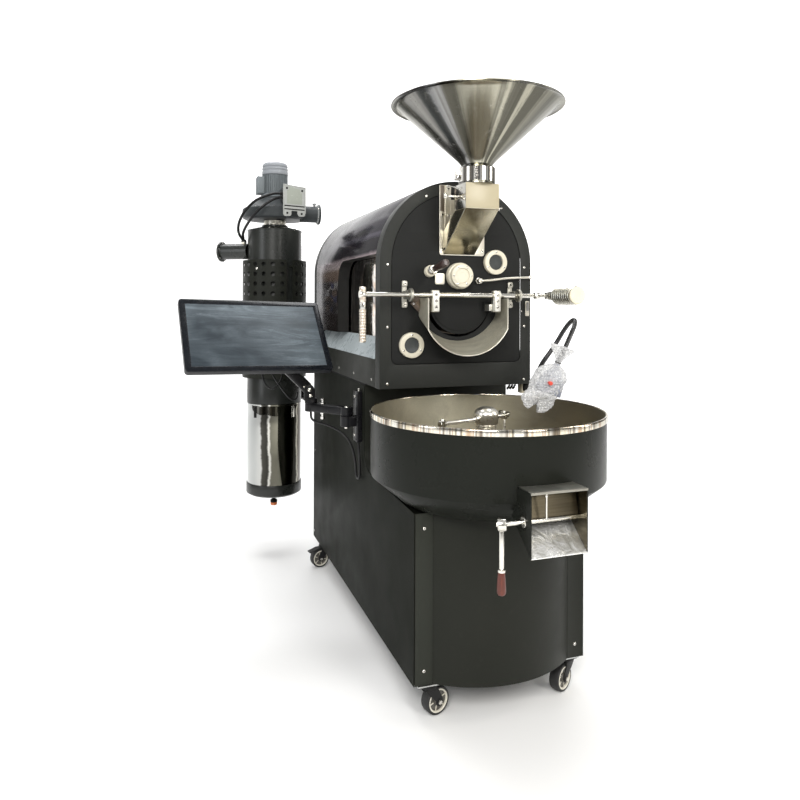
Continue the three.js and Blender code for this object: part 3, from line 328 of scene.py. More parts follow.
# -------------------------------------------------------------- materials
class Mat:
    """Small helper around a node tree with one Principled shader."""

    def __init__(s, name, color=(0.5, 0.5, 0.5), rough=0.5, metal=0.0, **k):
        s.m = bpy.data.materials.new(name)
        s.m.use_nodes = True
        s.t = s.m.node_tree
        s.b = s.t.nodes["Principled BSDF"]
        s.i("Base Color", (*color, 1))
        s.i("Roughness", rough)
        s.i("Metallic", metal)
        for a, v in k.items():
            s.i(a.replace("_", " "), v)
        s.m.diffuse_color = (*color, 1)

    def i(s, n, v):
        s.b.inputs[n].default_value = v
        return s

    def n(s, kind, **k):
        nd = s.t.nodes.new(kind)
        for a, v in k.items():
            if a in nd.inputs:
                nd.inputs[a].default_value = v
            else:
                setattr(nd, a, v)
        return nd

    def l(s, a, b):
        s.t.links.new(a, b)

    def coord(s, scale=(1, 1, 1), loc=(0, 0, 0), kind="Object"):
        c = s.n("ShaderNodeTexCoord")
        mp = s.n("ShaderNodeMapping")
        mp.inputs["Scale"].default_value = scale
        mp.inputs["Location"].default_value = loc
        s.l(c.outputs[kind], mp.inputs["Vector"])
        return mp.outputs["Vector"]

    def polar(s, center, axis='Z', sa=1.0, sr=1.0, sh=1.0):
        """coordinates (angle, radius, height) about an axis through center (row frame, metres)"""
        c = s.n("ShaderNodeTexCoord")
        sub = s.n("ShaderNodeVectorMath", operation='SUBTRACT')
        sub.inputs[1].default_value = center
        s.l(c.outputs["Object"], sub.inputs[0])
        sep = s.n("ShaderNodeSeparateXYZ")
        s.l(sub.outputs[0], sep.inputs[0])
        A, Bc, C = {'Z': ("X", "Y", "Z"), 'Y': ("X", "Z", "Y"), 'X': ("Y", "Z", "X")}[axis]
        at = s.n("ShaderNodeMath", operation='ARCTAN2')
        s.l(sep.outputs[Bc], at.inputs[0])
        s.l(sep.outputs[A], at.inputs[1])
        m1 = s.mul(s.math('MULTIPLY', sep.outputs[A], sep.outputs[A]), 1)
        m2 = s.math('MULTIPLY', sep.outputs[Bc], sep.outputs[Bc])
        r = s.math('SQRT', s.math('ADD', m1, m2))
        comb = s.n("ShaderNodeCombineXYZ")
        s.l(s.mul(at.outputs[0], sa), comb.inputs[0])
        s.l(s.mul(r, sr), comb.inputs[1])
        s.l(s.mul(sep.outputs[C], sh), comb.inputs[2])
        return comb.outputs[0]

    def math(s, op, a, b=None):
        nd = s.n("ShaderNodeMath", operation=op)
        for k, v in enumerate((a, b)):
            if v is None:
                continue
            if isinstance(v, (int, float)):
                nd.inputs[k].default_value = v
            else:
                s.l(v, nd.inputs[k])
        return nd.outputs[0]

    def mul(s, a, b):
        return s.math('MULTIPLY', a, b)

    def noise(s, vec, scale=5, detail=3, rough=0.5, dist=0.0):
        nd = s.n("ShaderNodeTexNoise")
        nd.inputs["Scale"].default_value = scale
        nd.inputs["Detail"].default_value = detail
        nd.inputs["Roughness"].default_value = rough
        nd.inputs["Distortion"].default_value = dist
        s.l(vec, nd.inputs["Vector"])
        return nd.outputs["Fac"]

    def voro(s, vec, scale=5, feature='F1', out="Distance", rnd=1.0):
        nd = s.n("ShaderNodeTexVoronoi", feature=feature)
        nd.inputs["Scale"].default_value = scale
        nd.inputs["Randomness"].default_value = rnd
        s.l(vec, nd.inputs["Vector"])
        return nd.outputs[out]

    def ramp(s, fac, stops, interp='LINEAR'):
        nd = s.n("ShaderNodeValToRGB")
        cr = nd.color_ramp
        cr.interpolation = interp
        while len(cr.elements) < len(stops):
            cr.elements.new(0.5)
        for e, (p, c) in zip(cr.elements, stops):
            e.position = p
            e.color = (*c, 1) if len(c) == 3 else c
        s.l(fac, nd.inputs["Fac"])
        return nd.outputs["Color"]

    def rng(s, fac, a, b, lo, hi):
        nd = s.n("ShaderNodeMapRange")
        for k, v in zip(("From Min", "From Max", "To Min", "To Max"), (a, b, lo, hi)):
            nd.inputs[k].default_value = v
        s.l(fac, nd.inputs["Value"])
        return nd.outputs["Result"]

    def mix(s, fac, a, b, kind='MIX'):
        nd = s.n("ShaderNodeMixRGB", blend_type=kind)
        for k, v in zip(("Fac", "Color1", "Color2"), (fac, a, b)):
            if isinstance(v, (int, float)):
                nd.inputs[k].default_value = v
            elif isinstance(v, tuple):
                nd.inputs[k].default_value = (*v, 1) if len(v) == 3 else v
            else:
                s.l(v, nd.inputs[k])
        return nd.outputs["Color"]

    def bump(s, h, strength=0.2, dist=0.001, normal=None):
        nd = s.n("ShaderNodeBump")
        nd.inputs["Strength"].default_value = strength
        nd.inputs["Distance"].default_value = dist
        s.l(h, nd.inputs["Height"])
        if normal is not None:
            s.l(normal, nd.inputs["Normal"])
        return nd.outputs["Normal"]

    def to(s, name, out):
        s.l(out, s.b.inputs[name])
        return s


def coat(name, c0, c1, rough=(0.42, 0.58), grain=1400, gs=0.12, dust=0.25, spec=0.15):
    """satin powder coat: orange-peel grain, soft cloudiness and a little dust"""
    m = Mat(name, c0, 0.5)
    v = m.coord()
    cloud = m.noise(v, 3.2, 4, 0.55)
    fine = m.noise(v, grain, 2, 0.5)
    spots = m.noise(v, 60, 5, 0.65)
    col = m.mix(cloud, c0, c1)
    dustf = m.mul(m.rng(spots, 0.58, 0.75, 0.0, 1.0), dust)
    col = m.mix(dustf, col, tuple(min(1, x * 1.9 + 0.01) for x in c1))
    m.to("Base Color", col)
    r = m.rng(m.noise(v, 7, 5, 0.6), 0.3, 0.7, rough[0], rough[1])
    m.to("Roughness", r)
    m.to("Normal", m.bump(fine, gs, 0.0006))
    m.i("Specular IOR Level", spec)
    return m.m


def steel(name, color=(0.62, 0.59, 0.53), rough=0.3, var=0.1, axis='X', center=None, mode='linear', fine=900, bump=0.05, metal=1.0, blotch=0.12, aniso=0.0, tint=None):
    """brushed stainless: fine lines along axis, or round an axis, with blotches and smears"""
    m = Mat(name, color, rough, metal)
    if mode == 'linear':
        k = {'X': (6, fine, fine), 'Y': (fine, 6, fine), 'Z': (fine, fine, 6)}[axis]
        v = m.coord(k)
        lines = m.noise(v, 1.0, 3, 0.6)
        lines2 = m.noise(m.coord(tuple(x * 0.22 for x in k), (3, 1, 2)), 1.0, 2, 0.5)
    else:
        rr = (2.0, fine, fine) if mode == 'round' else (fine * 0.12, 4, 4)
        v = m.polar(center, axis, *rr)
        lines = m.noise(v, 1.0, 3, 0.6)
        v2 = m.polar(center, axis, *(x * 0.2 for x in rr))
        lines2 = m.noise(v2, 1.0, 2, 0.5)
    blot = m.noise(m.coord(), 9, 5, 0.6, 0.4)
    smear = m.noise(m.coord((14, 14, 5), (5, 2, 1)), 1.0, 6, 0.7, 1.2)
    mixl = m.math('ADD', m.mul(lines, 0.6), m.mul(lines2, 0.4))
    dark = tuple(x * (1 - 2.2 * blotch) for x in color)
    light = tuple(min(1, x * (1 + blotch)) for x in color)
    col = m.mix(m.rng(mixl, 0.3, 0.7, 0, 1), dark, light)
    t = tint or tuple(x * f for x, f in zip(color, (0.92, 0.86, 0.76)))
    col = m.mix(m.mul(m.rng(blot, 0.4, 0.75, 0, 1), 0.35), col, t)
    m.to("Base Color", col)
    r = m.math('ADD', m.rng(mixl, 0.25, 0.75, rough - var * 0.5, rough + var * 0.5), m.mul(m.rng(smear, 0.45, 0.8, 0, 1), var))
    m.to("Roughness", r)
    if bump:
        m.to("Normal", m.bump(mixl, bump, 0.0008))
    if aniso:
        m.i("Anisotropic", aniso)
        tg = m.n("ShaderNodeTangent")
        tg.direction_type = 'RADIAL'
        tg.axis = axis
        m.to("Tangent", tg.outputs[0])
    return m.m


def polish(name, color=(0.78, 0.77, 0.74), rough=0.06, scratch=0.1, wave=0.0, wscale=6, metal=1.0, smudge=0.12):
    m = Mat(name, color, rough, metal)
    v = m.coord()
    sm = m.noise(v, 11, 6, 0.65, 0.8)
    sc = m.noise(m.coord((900, 30, 900), (1, 2, 3)), 1.0, 2, 0.5)
    sc2 = m.noise(m.coord((40, 700, 800), (4, 2, 3)), 1.0, 2, 0.5)
    r = m.math('ADD', m.rng(sm, 0.4, 0.75, rough, rough + smudge), m.mul(m.rng(m.math('ADD', sc, sc2), 1.15, 1.4, 0, 1), scratch))
    m.to("Roughness", r)
    col = m.mix(m.rng(sm, 0.35, 0.75, 0, 0.3), color, tuple(x * 0.8 for x in color))
    m.to("Base Color", col)
    if wave:
        w = m.noise(v, wscale, 2, 0.4)
        m.to("Normal", m.bump(w, wave, 0.02))
    return m.m


def plastic(name, c, rough=0.5, grain=1600, gs=0.15, var=0.1, spec=0.5):
    m = Mat(name, c, rough)
    v = m.coord()
    m.to("Normal", m.bump(m.noise(v, grain, 3, 0.6), gs, 0.0004))
    m.to("Roughness", m.rng(m.noise(v, 14, 5, 0.65), 0.3, 0.75, rough - var, rough + var))
    m.to("Base Color", m.mix(m.rng(m.noise(v, 30, 6, 0.7), 0.5, 0.8, 0, 0.35), c, tuple(min(1, x * 2.2 + 0.012) for x in c)))
    m.i("Specular IOR Level", spec)
    return m.m


M_COAT = coat("cabinet_coat", (0.0105, 0.0115, 0.0088), (0.0150, 0.0160, 0.0118), (0.36, 0.48), dust=0.10)
M_SIDE = coat("side_coat", (0.0095, 0.0105, 0.0085), (0.0130, 0.0140, 0.0108), (0.42, 0.54), dust=0.03, spec=0.025)
M_FRONTP = coat("front_plate_coat", (0.020, 0.0215, 0.020), (0.027, 0.028, 0.025), (0.36, 0.48), dust=0.10, spec=0.16)
M_FACE = coat("face_coat", (0.010, 0.0105, 0.0102), (0.0145, 0.015, 0.0145), (0.5, 0.66), 1700, 0.16, 0.12)
M_TRAYC = coat("tray_coat", (0.0100, 0.0112, 0.0092), (0.0145, 0.0155, 0.0125), (0.24, 0.32), 1500, 0.04, 0.0, 0.07)
M_DARK = coat("dark_coat", (0.007, 0.0075, 0.0072), (0.011, 0.0115, 0.011), (0.35, 0.5), 1300, 0.1, 0.12)
M_FRAMEC = coat("frame_coat", (0.012, 0.013, 0.012), (0.018, 0.019, 0.018), (0.5, 0.7), 900, 0.2, 0.2)
# near-black: paints the shade inside screw recesses, sockets, holes, slots and gaps, and colours a few black parts
# (weight core, lead entries, film tie)
M_SHADE_AND_BLACK = Mat("deep_black", (0.004, 0.004, 0.004), 0.9).m
M_STEEL = steel("stainless_x", axis='X')
M_STEELZ = steel("stainless_z", axis='Z')
M_STEELY = steel("stainless_y", axis='Y')
M_PALE = steel("pale_fitting", (0.80, 0.77, 0.68), 0.34, 0.08, 'X', blotch=0.06)
M_RING = coat("ring_cream", (0.60, 0.56, 0.44), (0.68, 0.64, 0.52), (0.28, 0.42), 900, 0.05, 0.05, 0.6)
M_SHAFT = polish("shaft_steel", (0.74, 0.72, 0.66), 0.16, 0.1, smudge=0.12)
M_SCREW = polish("screw_steel", (0.80, 0.78, 0.72), 0.2, 0.05)
M_CHROME = polish("mirror_steel", (0.82, 0.81, 0.78), 0.03, 0.03, wave=0.06, wscale=5, smudge=0.05)
M_RUBBER = plastic("rubber", (0.012, 0.012, 0.012), 0.62, 700, 0.3)
M_PLAST = plastic("black_plastic", (0.006, 0.006, 0.007), 0.30, 1600, 0.1, 0.06, 0.25)
M_CREAM = plastic("cream_plastic", (0.62, 0.57, 0.44), 0.45)
M_CABLE = plastic("cable_sheath", (0.006, 0.006, 0.0065), 0.42, 500, 0.1, 0.06, 0.25)
M_GREY = coat("motor_paint", (0.13, 0.15, 0.16), (0.19, 0.21, 0.22), (0.4, 0.6), 700, 0.25, 0.4)
M_FAN = coat("fan_paint", (0.035, 0.04, 0.042), (0.06, 0.065, 0.068), (0.35, 0.55), 600, 0.3, 0.4)
M_LGREY = coat("terminal_paint", (0.26, 0.27, 0.27), (0.33, 0.34, 0.34), (0.4, 0.6), 600, 0.2, 0.3)
M_ZINC = steel("zinc", (0.55, 0.56, 0.56), 0.38, 0.14, 'X', fine=60, bump=0.02, blotch=0.2)

# drum shell: black mirror sheet; its base colour is painted reflection of the room, fullest on the left side and
# plainer on the right
m = Mat("black_mirror", (0.045, 0.043, 0.048), 0.12, 0.5)
m.i("Specular IOR Level", 0.16)
v = m.coord()
m.to("Roughness", m.rng(m.noise(v, 8, 6, 0.65, 0.6), 0.45, 0.8, 0.12, 0.2))
sh_ = m.polar(T((0, 0, 1307)), 'Y', 0.159155, 1.0, 1.0)
sx_ = m.n("ShaderNodeSeparateXYZ")
m.l(sh_, sx_.inputs[0])
wa = m.noise(m.coord((1.2, 1.0, 1.0)), 3.0, 4, 0.6, 0.9)
wb = m.noise(m.coord((1.0, 5.0, 1.0), (3, 1, 8)), 2.0, 4, 0.6, 0.7)
sep = m.n("ShaderNodeSeparateXYZ")
m.l(m.coord(), sep.inputs[0])
hz_ = m.math('ADD', sep.outputs["Z"], m.mul(m.math('SUBTRACT', wa, 0.5), 0.16))
hz_ = m.math('MULTIPLY', m.math('SUBTRACT', hz_, 1.05), 1.75)
edge = m.math('ADD', m.math('MULTIPLY', m.math('SUBTRACT', sep.outputs["Z"], 1.05), 1.75), m.mul(m.math('SUBTRACT', wa, 0.5), 0.05))
# painted reflection: bands by height, a brown band at mid height and pale bands near the top, darker patches at the
# crown
shell_painted_reflection = m.ramp(edge, [(0.0, (0.022, 0.018, 0.017)), (0.135, (0.030, 0.024, 0.023)), (0.145, (0.060, 0.055, 0.055)), (0.36, (0.09, 0.08, 0.075)), (0.39, (0.16, 0.115, 0.09)), (0.44, (0.20, 0.15, 0.12)), (0.462, (0.42, 0.36, 0.35)), (0.50, (0.36, 0.30, 0.31)), (0.525, (0.018, 0.015, 0.019)), (0.60, (0.022, 0.019, 0.025)), (0.628, (0.10, 0.095, 0.115)), (0.648, (0.030, 0.027, 0.034)), (0.715, (0.032, 0.030, 0.036)), (0.74, (0.17, 0.17, 0.175)), (0.82, (0.085, 0.085, 0.088)), (0.90, (0.22, 0.22, 0.22)), (1.0, (0.32, 0.32, 0.31))])
crown = m.mul(m.rng(wb, 0.50, 0.57, 0, 1), m.rng(edge, 0.72, 0.76, 0.0, 1.0))
shell_painted_reflection = m.mix(m.mul(crown, 0.75), shell_painted_reflection, (0.030, 0.029, 0.032))
# painted reflection of the room's clutter: coloured cells in a low band
cell = m.voro(m.coord((1, 16, 44)), 1.0, 'F1', 'Color', 0.8)
cs = m.n("ShaderNodeSeparateXYZ")
m.l(cell, cs.inputs[0])
clutter_reflection = m.ramp(cs.outputs["X"], [(0.0, (0.008, 0.007, 0.008)), (0.38, (0.012, 0.011, 0.012)), (0.44, (0.16, 0.11, 0.08)), (0.56, (0.10, 0.07, 0.05)), (0.60, (0.020, 0.035, 0.13)), (0.68, (0.03, 0.04, 0.10)), (0.71, (0.42, 0.42, 0.43)), (0.78, (0.36, 0.35, 0.34)), (0.82, (0.015, 0.014, 0.014)), (1.0, (0.02, 0.018, 0.017))])
low = m.mul(m.rng(edge, 0.355, 0.375, 1.0, 0.0), m.rng(edge, 0.135, 0.15, 0.0, 1.0))
shell_painted_reflection = m.mix(m.mul(low, 0.45), shell_painted_reflection, clutter_reflection)
# plainer painted reflection bands for the right side
plain = m.ramp(edge, [(0.0, (0.026, 0.024, 0.026)), (0.45, (0.050, 0.046, 0.048)), (0.60, (0.030, 0.028, 0.032)), (0.74, (0.11, 0.11, 0.112)), (0.86, (0.08, 0.08, 0.082)), (1.0, (0.26, 0.26, 0.255))])
left_ = m.rng(sep.outputs["X"], 0.16, 0.34, 0.85, 0.0)
shell_painted_reflection = m.mix(left_, plain, shell_painted_reflection)
m.to("Base Color", shell_painted_reflection)
m.i("Specular Tint", (0.34, 0.33, 0.35, 1))
m.to("Normal", m.bump(m.noise(v, 3.2, 2, 0.4), 0.10, 0.03))
M_SHELL = m.m

# sloping sills: grey-blue film-covered sheet
m = Mat("sill_film", (0.42, 0.47, 0.48), 0.3, 0.25)
v = m.coord()
wr = m.noise(m.coord((3, 4, 4)), 1.0, 3, 0.5, 0.4)
m.to("Base Color", m.mix(m.rng(wr, 0.3, 0.7, 0, 1), (0.33, 0.375, 0.39), (0.41, 0.455, 0.47)))
m.to("Roughness", m.rng(m.noise(v, 20, 5, 0.6), 0.3, 0.7, 0.2, 0.42))
m.to("Normal", m.bump(wr, 0.03, 0.003))
m.i("Coat Weight", 0.2)
m.i("Metallic", 0.0)
M_SILL = m.m

# glass of the sight windows
m = Mat("sight_glass", (0.05, 0.055, 0.055), 0.08, 0.0)
m.i("Coat Weight", 1.0).i("Coat Roughness", 0.03)
m.to("Roughness", m.rng(m.noise(m.coord(), 60, 5, 0.6), 0.3, 0.7, 0.06, 0.22))
m.to("Base Color", m.mix(m.noise(m.coord(), 30, 3, 0.5), (0.035, 0.04, 0.04), (0.07, 0.075, 0.073)))
M_GLASS = m.m


def wood(name, c0, c1, sc=(260, 260, 22), coatw=0.4):
    m = Mat(name, c0, 0.4)
    g = m.noise(m.coord(sc), 1.0, 4, 0.6, 0.6)
    m.to("Base Color", m.mix(m.rng(g, 0.3, 0.7, 0, 1), c0, c1))
    m.to("Roughness", m.rng(g, 0.3, 0.7, 0.3, 0.48))
    m.to("Normal", m.bump(g, 0.15, 0.0008))
    m.i("Coat Weight", coatw).i("Coat Roughness", 0.2)
    return m.m


M_REDWOOD = wood("red_grip", (0.070, 0.014, 0.008), (0.13, 0.028, 0.015), coatw=0.0)
M_DARKWOOD = wood("trier_grip", (0.022, 0.012, 0.010), (0.055, 0.030, 0.024), (200, 26, 200), 0.6)


# -------------------------------------------------------------- fasteners
def screw(g, p, d, r=4.5, h=2.6, m0=0, m1=1, kind='hex'):
    """a domed or cap head with its recess, standing on p and facing d; the recess is only a flat disc in m1, mostly
    near-black as painted shade
    """
    p, d = Vector(p), Vector(d).normalized()
    prof = [(0, -1), (r, -1), (r, h * 0.35), (r * 0.92, h * 0.7), (r * 0.7, h * 0.95), (r * 0.5, h), (0, h)]
    g.add(lathe(prof, p, d, 20), m0)
    g.add(lathe([(0, h * 0.98), (r * 0.48, h * 0.98), (r * 0.48, h * 1.04), (0, h * 1.04)], p, d, 6), m1)


def capscrew(g, p, d, r=4.5, h=5.0, m0=0, m1=1):
    p, d = Vector(p), Vector(d).normalized()
    g.add(lathe([(0, -1), (r, -1), (r, h - 0.6), (r - 0.6, h), (r * 0.55, h), (r * 0.55, h * 0.5), (0, h * 0.5)], p, d, 24), m0)
    # disc at the socket's floor in m1, mostly near-black: painted shade in the socket
    g.add(lathe([(0, h * 0.5 + 0.05), (r * 0.54, h * 0.5 + 0.05), (r * 0.54, h * 0.5 + 0.2), (0, h * 0.5 + 0.2)], p, d, 6), m1)



# ------------------------------------------------------------------ cords
def cord_obj(name, pts, r, mat, body, rep, blend=None, res=5, seg=20):
    P = smooth_path(pts, res)
    V, F = tube(P, r, seg, smooth=False)
    me = bpy.data.meshes.new(name)
    me.from_pydata([T(p) for p in V], [], F)
    me.update()
    me.polygons.foreach_set("use_smooth", [len(f.vertices) == 4 for f in me.polygons])
    me.materials.append(mat)
    o = bpy.data.objects.new(name, me)
    bpy.context.scene.collection.objects.link(o)
    if blend:
        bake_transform(o)
    else:
        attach(o, body)
    if rep:
        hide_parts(rep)
    return o


MC1 = [(-425.2, 1324, 1668), (-440, 1324, 1668.5), (-458, 1322, 1667.5), (-476, 1318, 1663), (-513, 1312, 1649), (-552, 1320, 1627), (-586, 1352, 1592), (-603, 1385, 1562), (-611, 1420, 1534), (-610, 1452, 1509), (-601, 1478, 1489), (-589, 1492, 1474), (-582.5, 1498, 1467), (-579.5, 1500, 1464.6)]
MC2 = [(-425.2, 1324, 1651), (-440, 1324, 1650.5), (-460, 1321, 1644), (-484, 1315, 1630), (-509, 1312, 1612), (-536, 1318, 1588), (-557, 1343, 1562), (-571, 1378, 1540), (-583, 1425, 1514), (-587, 1462, 1494), (-583, 1490, 1478), (-580, 1502, 1469), (-578.5, 1503, 1464.6)]
SC = [(-425, 690, 774), (-425, 690, 763), (-423.4, 687.8, 752), (-417.5, 680, 744), (-407, 666, 739.5), (-374, 624, 732), (-342, 588, 716), (-317, 567, 690), (-302, 561.5, 658), (-294, 561, 626), (-289.5, 563, 598), (-288.4, 564.5, 576), (-287.9, 561.6, 565.2), (-287.5, 553.8, 557.4), (-287, 543, 554.5), (-286.6, 532.2, 557.4), (-286.3, 524.4, 565.2), (-286, 521.5, 576), (-285.5, 522.5, 600), (-285, 530, 632), (-285, 538.5, 658), (-285, 541, 682.4)]
cord_obj("motor_lead_upper", MC1, 6, M_CABLE, "root", "motor_cable")
cord_obj("motor_lead_lower", MC2, 6, M_CABLE, "root", None)
cord_obj("screen_lead", SC, 4, M_CABLE, None, "monitor_cable", blend=("lower_arm_body", "root", T((-425, 690, 766)), T((-317, 567, 690))))

UL = [(-598, 676, 990), (-602, 672, 974), (-606, 667, 952), (-607, 663, 928), (-603, 661, 903), (-593, 660, 881), (-577, 660, 868), (-561, 660, 870), (-547, 661, 884), (-538, 663, 903), (-534, 667, 922), (-533, 672, 938)]
UM = [(-583, 676, 976), (-581, 671, 960), (-577, 664, 938), (-566, 658, 910), (-548, 656, 881), (-526, 656, 850), (-508, 658, 830), (-495, 662, 825), (-484, 667, 828), (-478, 673, 838), (-477, 679, 850)]
cord_obj("arm_loop", UL, 3, M_CABLE, "upper_arm_body", None)
cord_obj("arm_strand", UM, 3, M_CABLE, "upper_arm_body", None)

# ---------------------------------------------------------------- casters
R, w_ = 40.0, 28.0
M_HUB = plastic("hub_cream", (0.66, 0.63, 0.54), 0.34, 700, 0.12)
M_WEB = plastic("hub_web", (0.085, 0.08, 0.07), 0.38, 700, 0.12)
M_CAST = coat("caster_coat", (0.012, 0.012, 0.012), (0.018, 0.018, 0.018), (0.3, 0.45), 1200, 0.08)
CAST = {"fl": (-225, 22, 0.955, 0.2966), "fr": (232, 32, -0.885, -0.4656), "rl": (-246, 1221, -0.9857, -0.1685), "rr": (246, 1221, 0.5, 0.866)}
for k, (x, y, dx, dy) in CAST.items():
    MK = Matrix.Translation((x, y, 0)) @ Matrix.Rotation(math.atan2(-dx, dy), 4, 'Z')
    L_ = G()
    # swivel head with its ball race, kingpin, black fork with round feet, axle bolt
    L_.add(lathe([(0, 83), (22, 83), (24, 84.4), (24, 88), (29, 88.2), (30, 89.4), (30, 92.6), (28.6, 94), (26, 95.6), (0, 95.6)], (0, 0, 0), (0, 0, 1), 56), 0)
    L_.add(lathe([(0, 78.6), (6, 78.6), (7.4, 79.6), (7.4, 83), (0, 83)], (0, 0, 0), (0, 0, 1), 6), 1)
    side = [(-16, 85.4), (-18, 82), (-16.5, 77)] + [(w_ - 12, R + 4)] + arc(w_, R, 12, 175, 365, 14) + [(w_ + 12, R + 8), (24, 78), (23, 83), (21, 85.4)]
    for a in (-1, 1):
        x0, x1 = sorted((a * 18, a * 21))
        L_.add(prism(side, 'YZ', x0, x1, 0.9), 2)
    L_.add(prism(rrect(-21, 21, -18, 24, 5), 'XY', 82.2, 85.5, 1.2), 2)
    L_.add(rod((-25, w_, R), (25, w_, R), 4, 20, c=1), 1)
    for a in (-1, 1):
        L_.add(lathe([(0, 0), (8.4, 0), (8.6, 0.6), (8.6, 1.4), (7.2, 1.8), (0, 1.8)], (a * 21, w_, R), (a, 0, 0), 32), 0)
        L_.add(lathe([(0, 0), (6.6, 0), (6.6, 3.0), (5.4, 4), (0, 4)], (a * 22.4, w_, R), (a, 0, 0), 6), 1)
    L_.v = [tuple(MK @ Vector(v)) for v in L_.v]
    build("fork_piece_" + k, L_, [M_CAST, M_SCREW, M_CAST], "fork_" + k, "caster_fork_" + k)
    L_ = G()
    tread = [(33, -15.2), (35, -15.9), (37.6, -15.8), (39.2, -14.4), (40, -12), (40, 12), (39.2, 14.4), (37.6, 15.8), (35, 15.9), (33, 15.2)]
    L_.add(lathe([(r, h) for r, h in tread], (0, w_, R), (1, 0, 0), 96), 0)
    for a in (-1, 1):
        q = [(33.5, 0), (33.5, 14.6), (31.6, 15.6), (29.6, 14.6), (28.4, 9.4), (27, 8.2), (15, 8.6), (14, 10.4), (13, 15.0), (11, 16.2), (4.4, 16.2), (4.4, 0)]
        L_.add(lathe(q, (0, w_, R), (a, 0, 0), 64), 2)
        L_.add(lathe([(28.6, 9), (33.6, 9), (33.6, 14.8), (32.6, 15.8), (29.8, 15.8), (28.6, 14.4)], (0, w_, R), (a, 0, 0), 64), 1)
        L_.add(lathe([(4.4, 12), (9.5, 12), (9.5, 16.4), (8.6, 17), (4.4, 17)], (0, w_, R), (a, 0, 0), 40), 3)
        for i in range(6):
            t = rad(i * 60 + 18)
            c, sn = math.cos(t), math.sin(t)
            M4 = Matrix(((0, 0, a, a * 8.2), (c, -sn, 0, w_), (sn, c, 0, R), (0, 0, 0, 1)))
            L_.add(box(14, 30, -1.5, 1.5, 0, 2.2, 0.7, 2, M4), 1)
    L_.v = [tuple(MK @ Vector(v)) for v in L_.v]
    build("wheel_piece_" + k, L_, [M_RUBBER, M_HUB, M_WEB, M_SCREW], "wheel_" + k, "caster_wheel_" + k)
    if k[0] == "r":
        L_ = G()
        L_.add(prism([(w_ - 2, 82), (w_ + 14, 80.5), (w_ + 26, 75), (w_ + 50, 69), (w_ + 52, 70.5), (w_ + 52, 73), (w_ + 28, 80), (w_ + 14, 85), (w_ - 2, 85.5)], 'YZ', -16, 16, 1.2, res=3), 0)
        for i in range(4):
            yy = w_ + 31 + i * 5.4
            zz = 79.4 - (yy - w_ - 28) * 0.29
            L_.add(rod((-13, yy, zz), (13, yy, zz), 0.9, 8), 0)
        L_.v = [tuple(MK @ Vector(v)) for v in L_.v]
        build("pedal_piece_" + k, L_, [M_RUBBER], "pedal_" + k, "brake_pedal_" + k)
# bolts of the mounting plates
g = G()
for (x0, x1, y0, y1) in ((-263, -187, -4, 60), (202, 262, 2, 62), (-272.5, -210, 1185, 1257), (210, 272.5, 1185, 1257)):
    for bx in (x0 + 8, x1 - 8):
        for by in (y0 + 8, y1 - 8):
            g.add(lathe([(0, -0.5), (5.8, -0.5), (5.8, 3.2), (4.4, 4.2), (0, 4.2)], (bx, by, 96), (0, 0, -1), 6))
build("caster_bolts", g, [M_CAST], "root", ())

# ------------------------------------------------------------ cabinet skin
side = [(0, 100), (1338, 100), (1338, 887), (505, 887)] + arc(425, 675, 80, 0, -90, 14) + [(0, 585)]
for nm, a in (("left", -1), ("right", 1)):
    g = G()
    x0, x1 = (-275.5, -273.5) if a < 0 else (273.5, 275.5)
    g.add(prism(side, 'YZ', x0, x1, 0.7, res=2))
    sx = a * 275.5
    for (yy, zz) in [(1314, 130), (1314, 500), (1314, 860)]:
        screw(g, (sx - a * 0.9, yy, zz), (a, 0, 0), 4.6, 1.9 if a < 0 else 1.9, 1, 2)
    build(nm + "_side_piece", g, [M_SIDE, M_SCREW, M_SHADE_AND_BLACK], "root", nm + "_side_panel")
Rb = (218 * 218 + 75 * 75) / 150.0
cb = Rb - 75
hb = math.degrees(math.asin(218 / Rb))
g = G()
outer = arc(0, cb, Rb, -90 - hb, -90 + hb, 48)
inner = arc(0, cb, Rb - 2, -90 + hb, -90 - hb, 48)
g.add(prism([(-272.5, -0.5)] + [(px, py - 0.5) for px, py in outer] + [(272.5, -0.5), (272.5, 1.5)] + [(px, py - 0.5) for px, py in inner] + [(-272.5, 1.5)], 'XY', 100.5, 584, 0.7))
cap = [(-217, 1.6)] + [(px * 0.995, py * 0.985 + 1.2) for px, py in outer] + [(217, 1.6)]
g.add(prism(cap, 'XY', 581.4, 583.2, 0.6))
for a in (-1, 1):
    for zz in (141, 541):
        screw(g, (a * 245, -0.5, zz), (0, -1, 0), 4.8, 2.0, 1, 2)
for a in (-1, 1):
    # pressed line where the flat strip meets the bow
    x0, x1 = sorted((a * 219.6, a * 217.6))
    g.add(box(x0, x1, -1.2, -0.3, 101, 583.5, 0.35), 3)
# painted light: a lighter copy of the panel paint laid over the flat left strip, which takes more light than the bow
x0, x1 = -271.5, -219.6
g.add(box(x0, x1, -0.62, -0.3, 101, 583.3, 0.1), 4)
build("front_panel_piece", g, [M_COAT, M_SCREW, M_SHADE_AND_BLACK, coat("bend_line", (0.012, 0.013, 0.0105), (0.016, 0.017, 0.013), (0.4, 0.5), 1200, 0.05, 0.0, 0.12), coat("strip_painted_light", (0.020, 0.022, 0.0175), (0.025, 0.027, 0.021), (0.36, 0.48), 1400, 0.12, 0.05, 0.15)], "root", "front_panel")
g = G()
g.add(prism([(-273, 100.5), (273, 100.5), (273, 886.5), (-273, 886.5)], 'XZ', 1336, 1338, 0.7, holes=[circle(150, 300, 16, 40)]))
for i in range(14):
    for col in (-150, 0, 150):
        cx = col
        g.add(box(cx - 52, cx + 52, 1337.9, 1339.6, 560 + i * 16, 560 + i * 16 + 6.5, 0.7), 0)
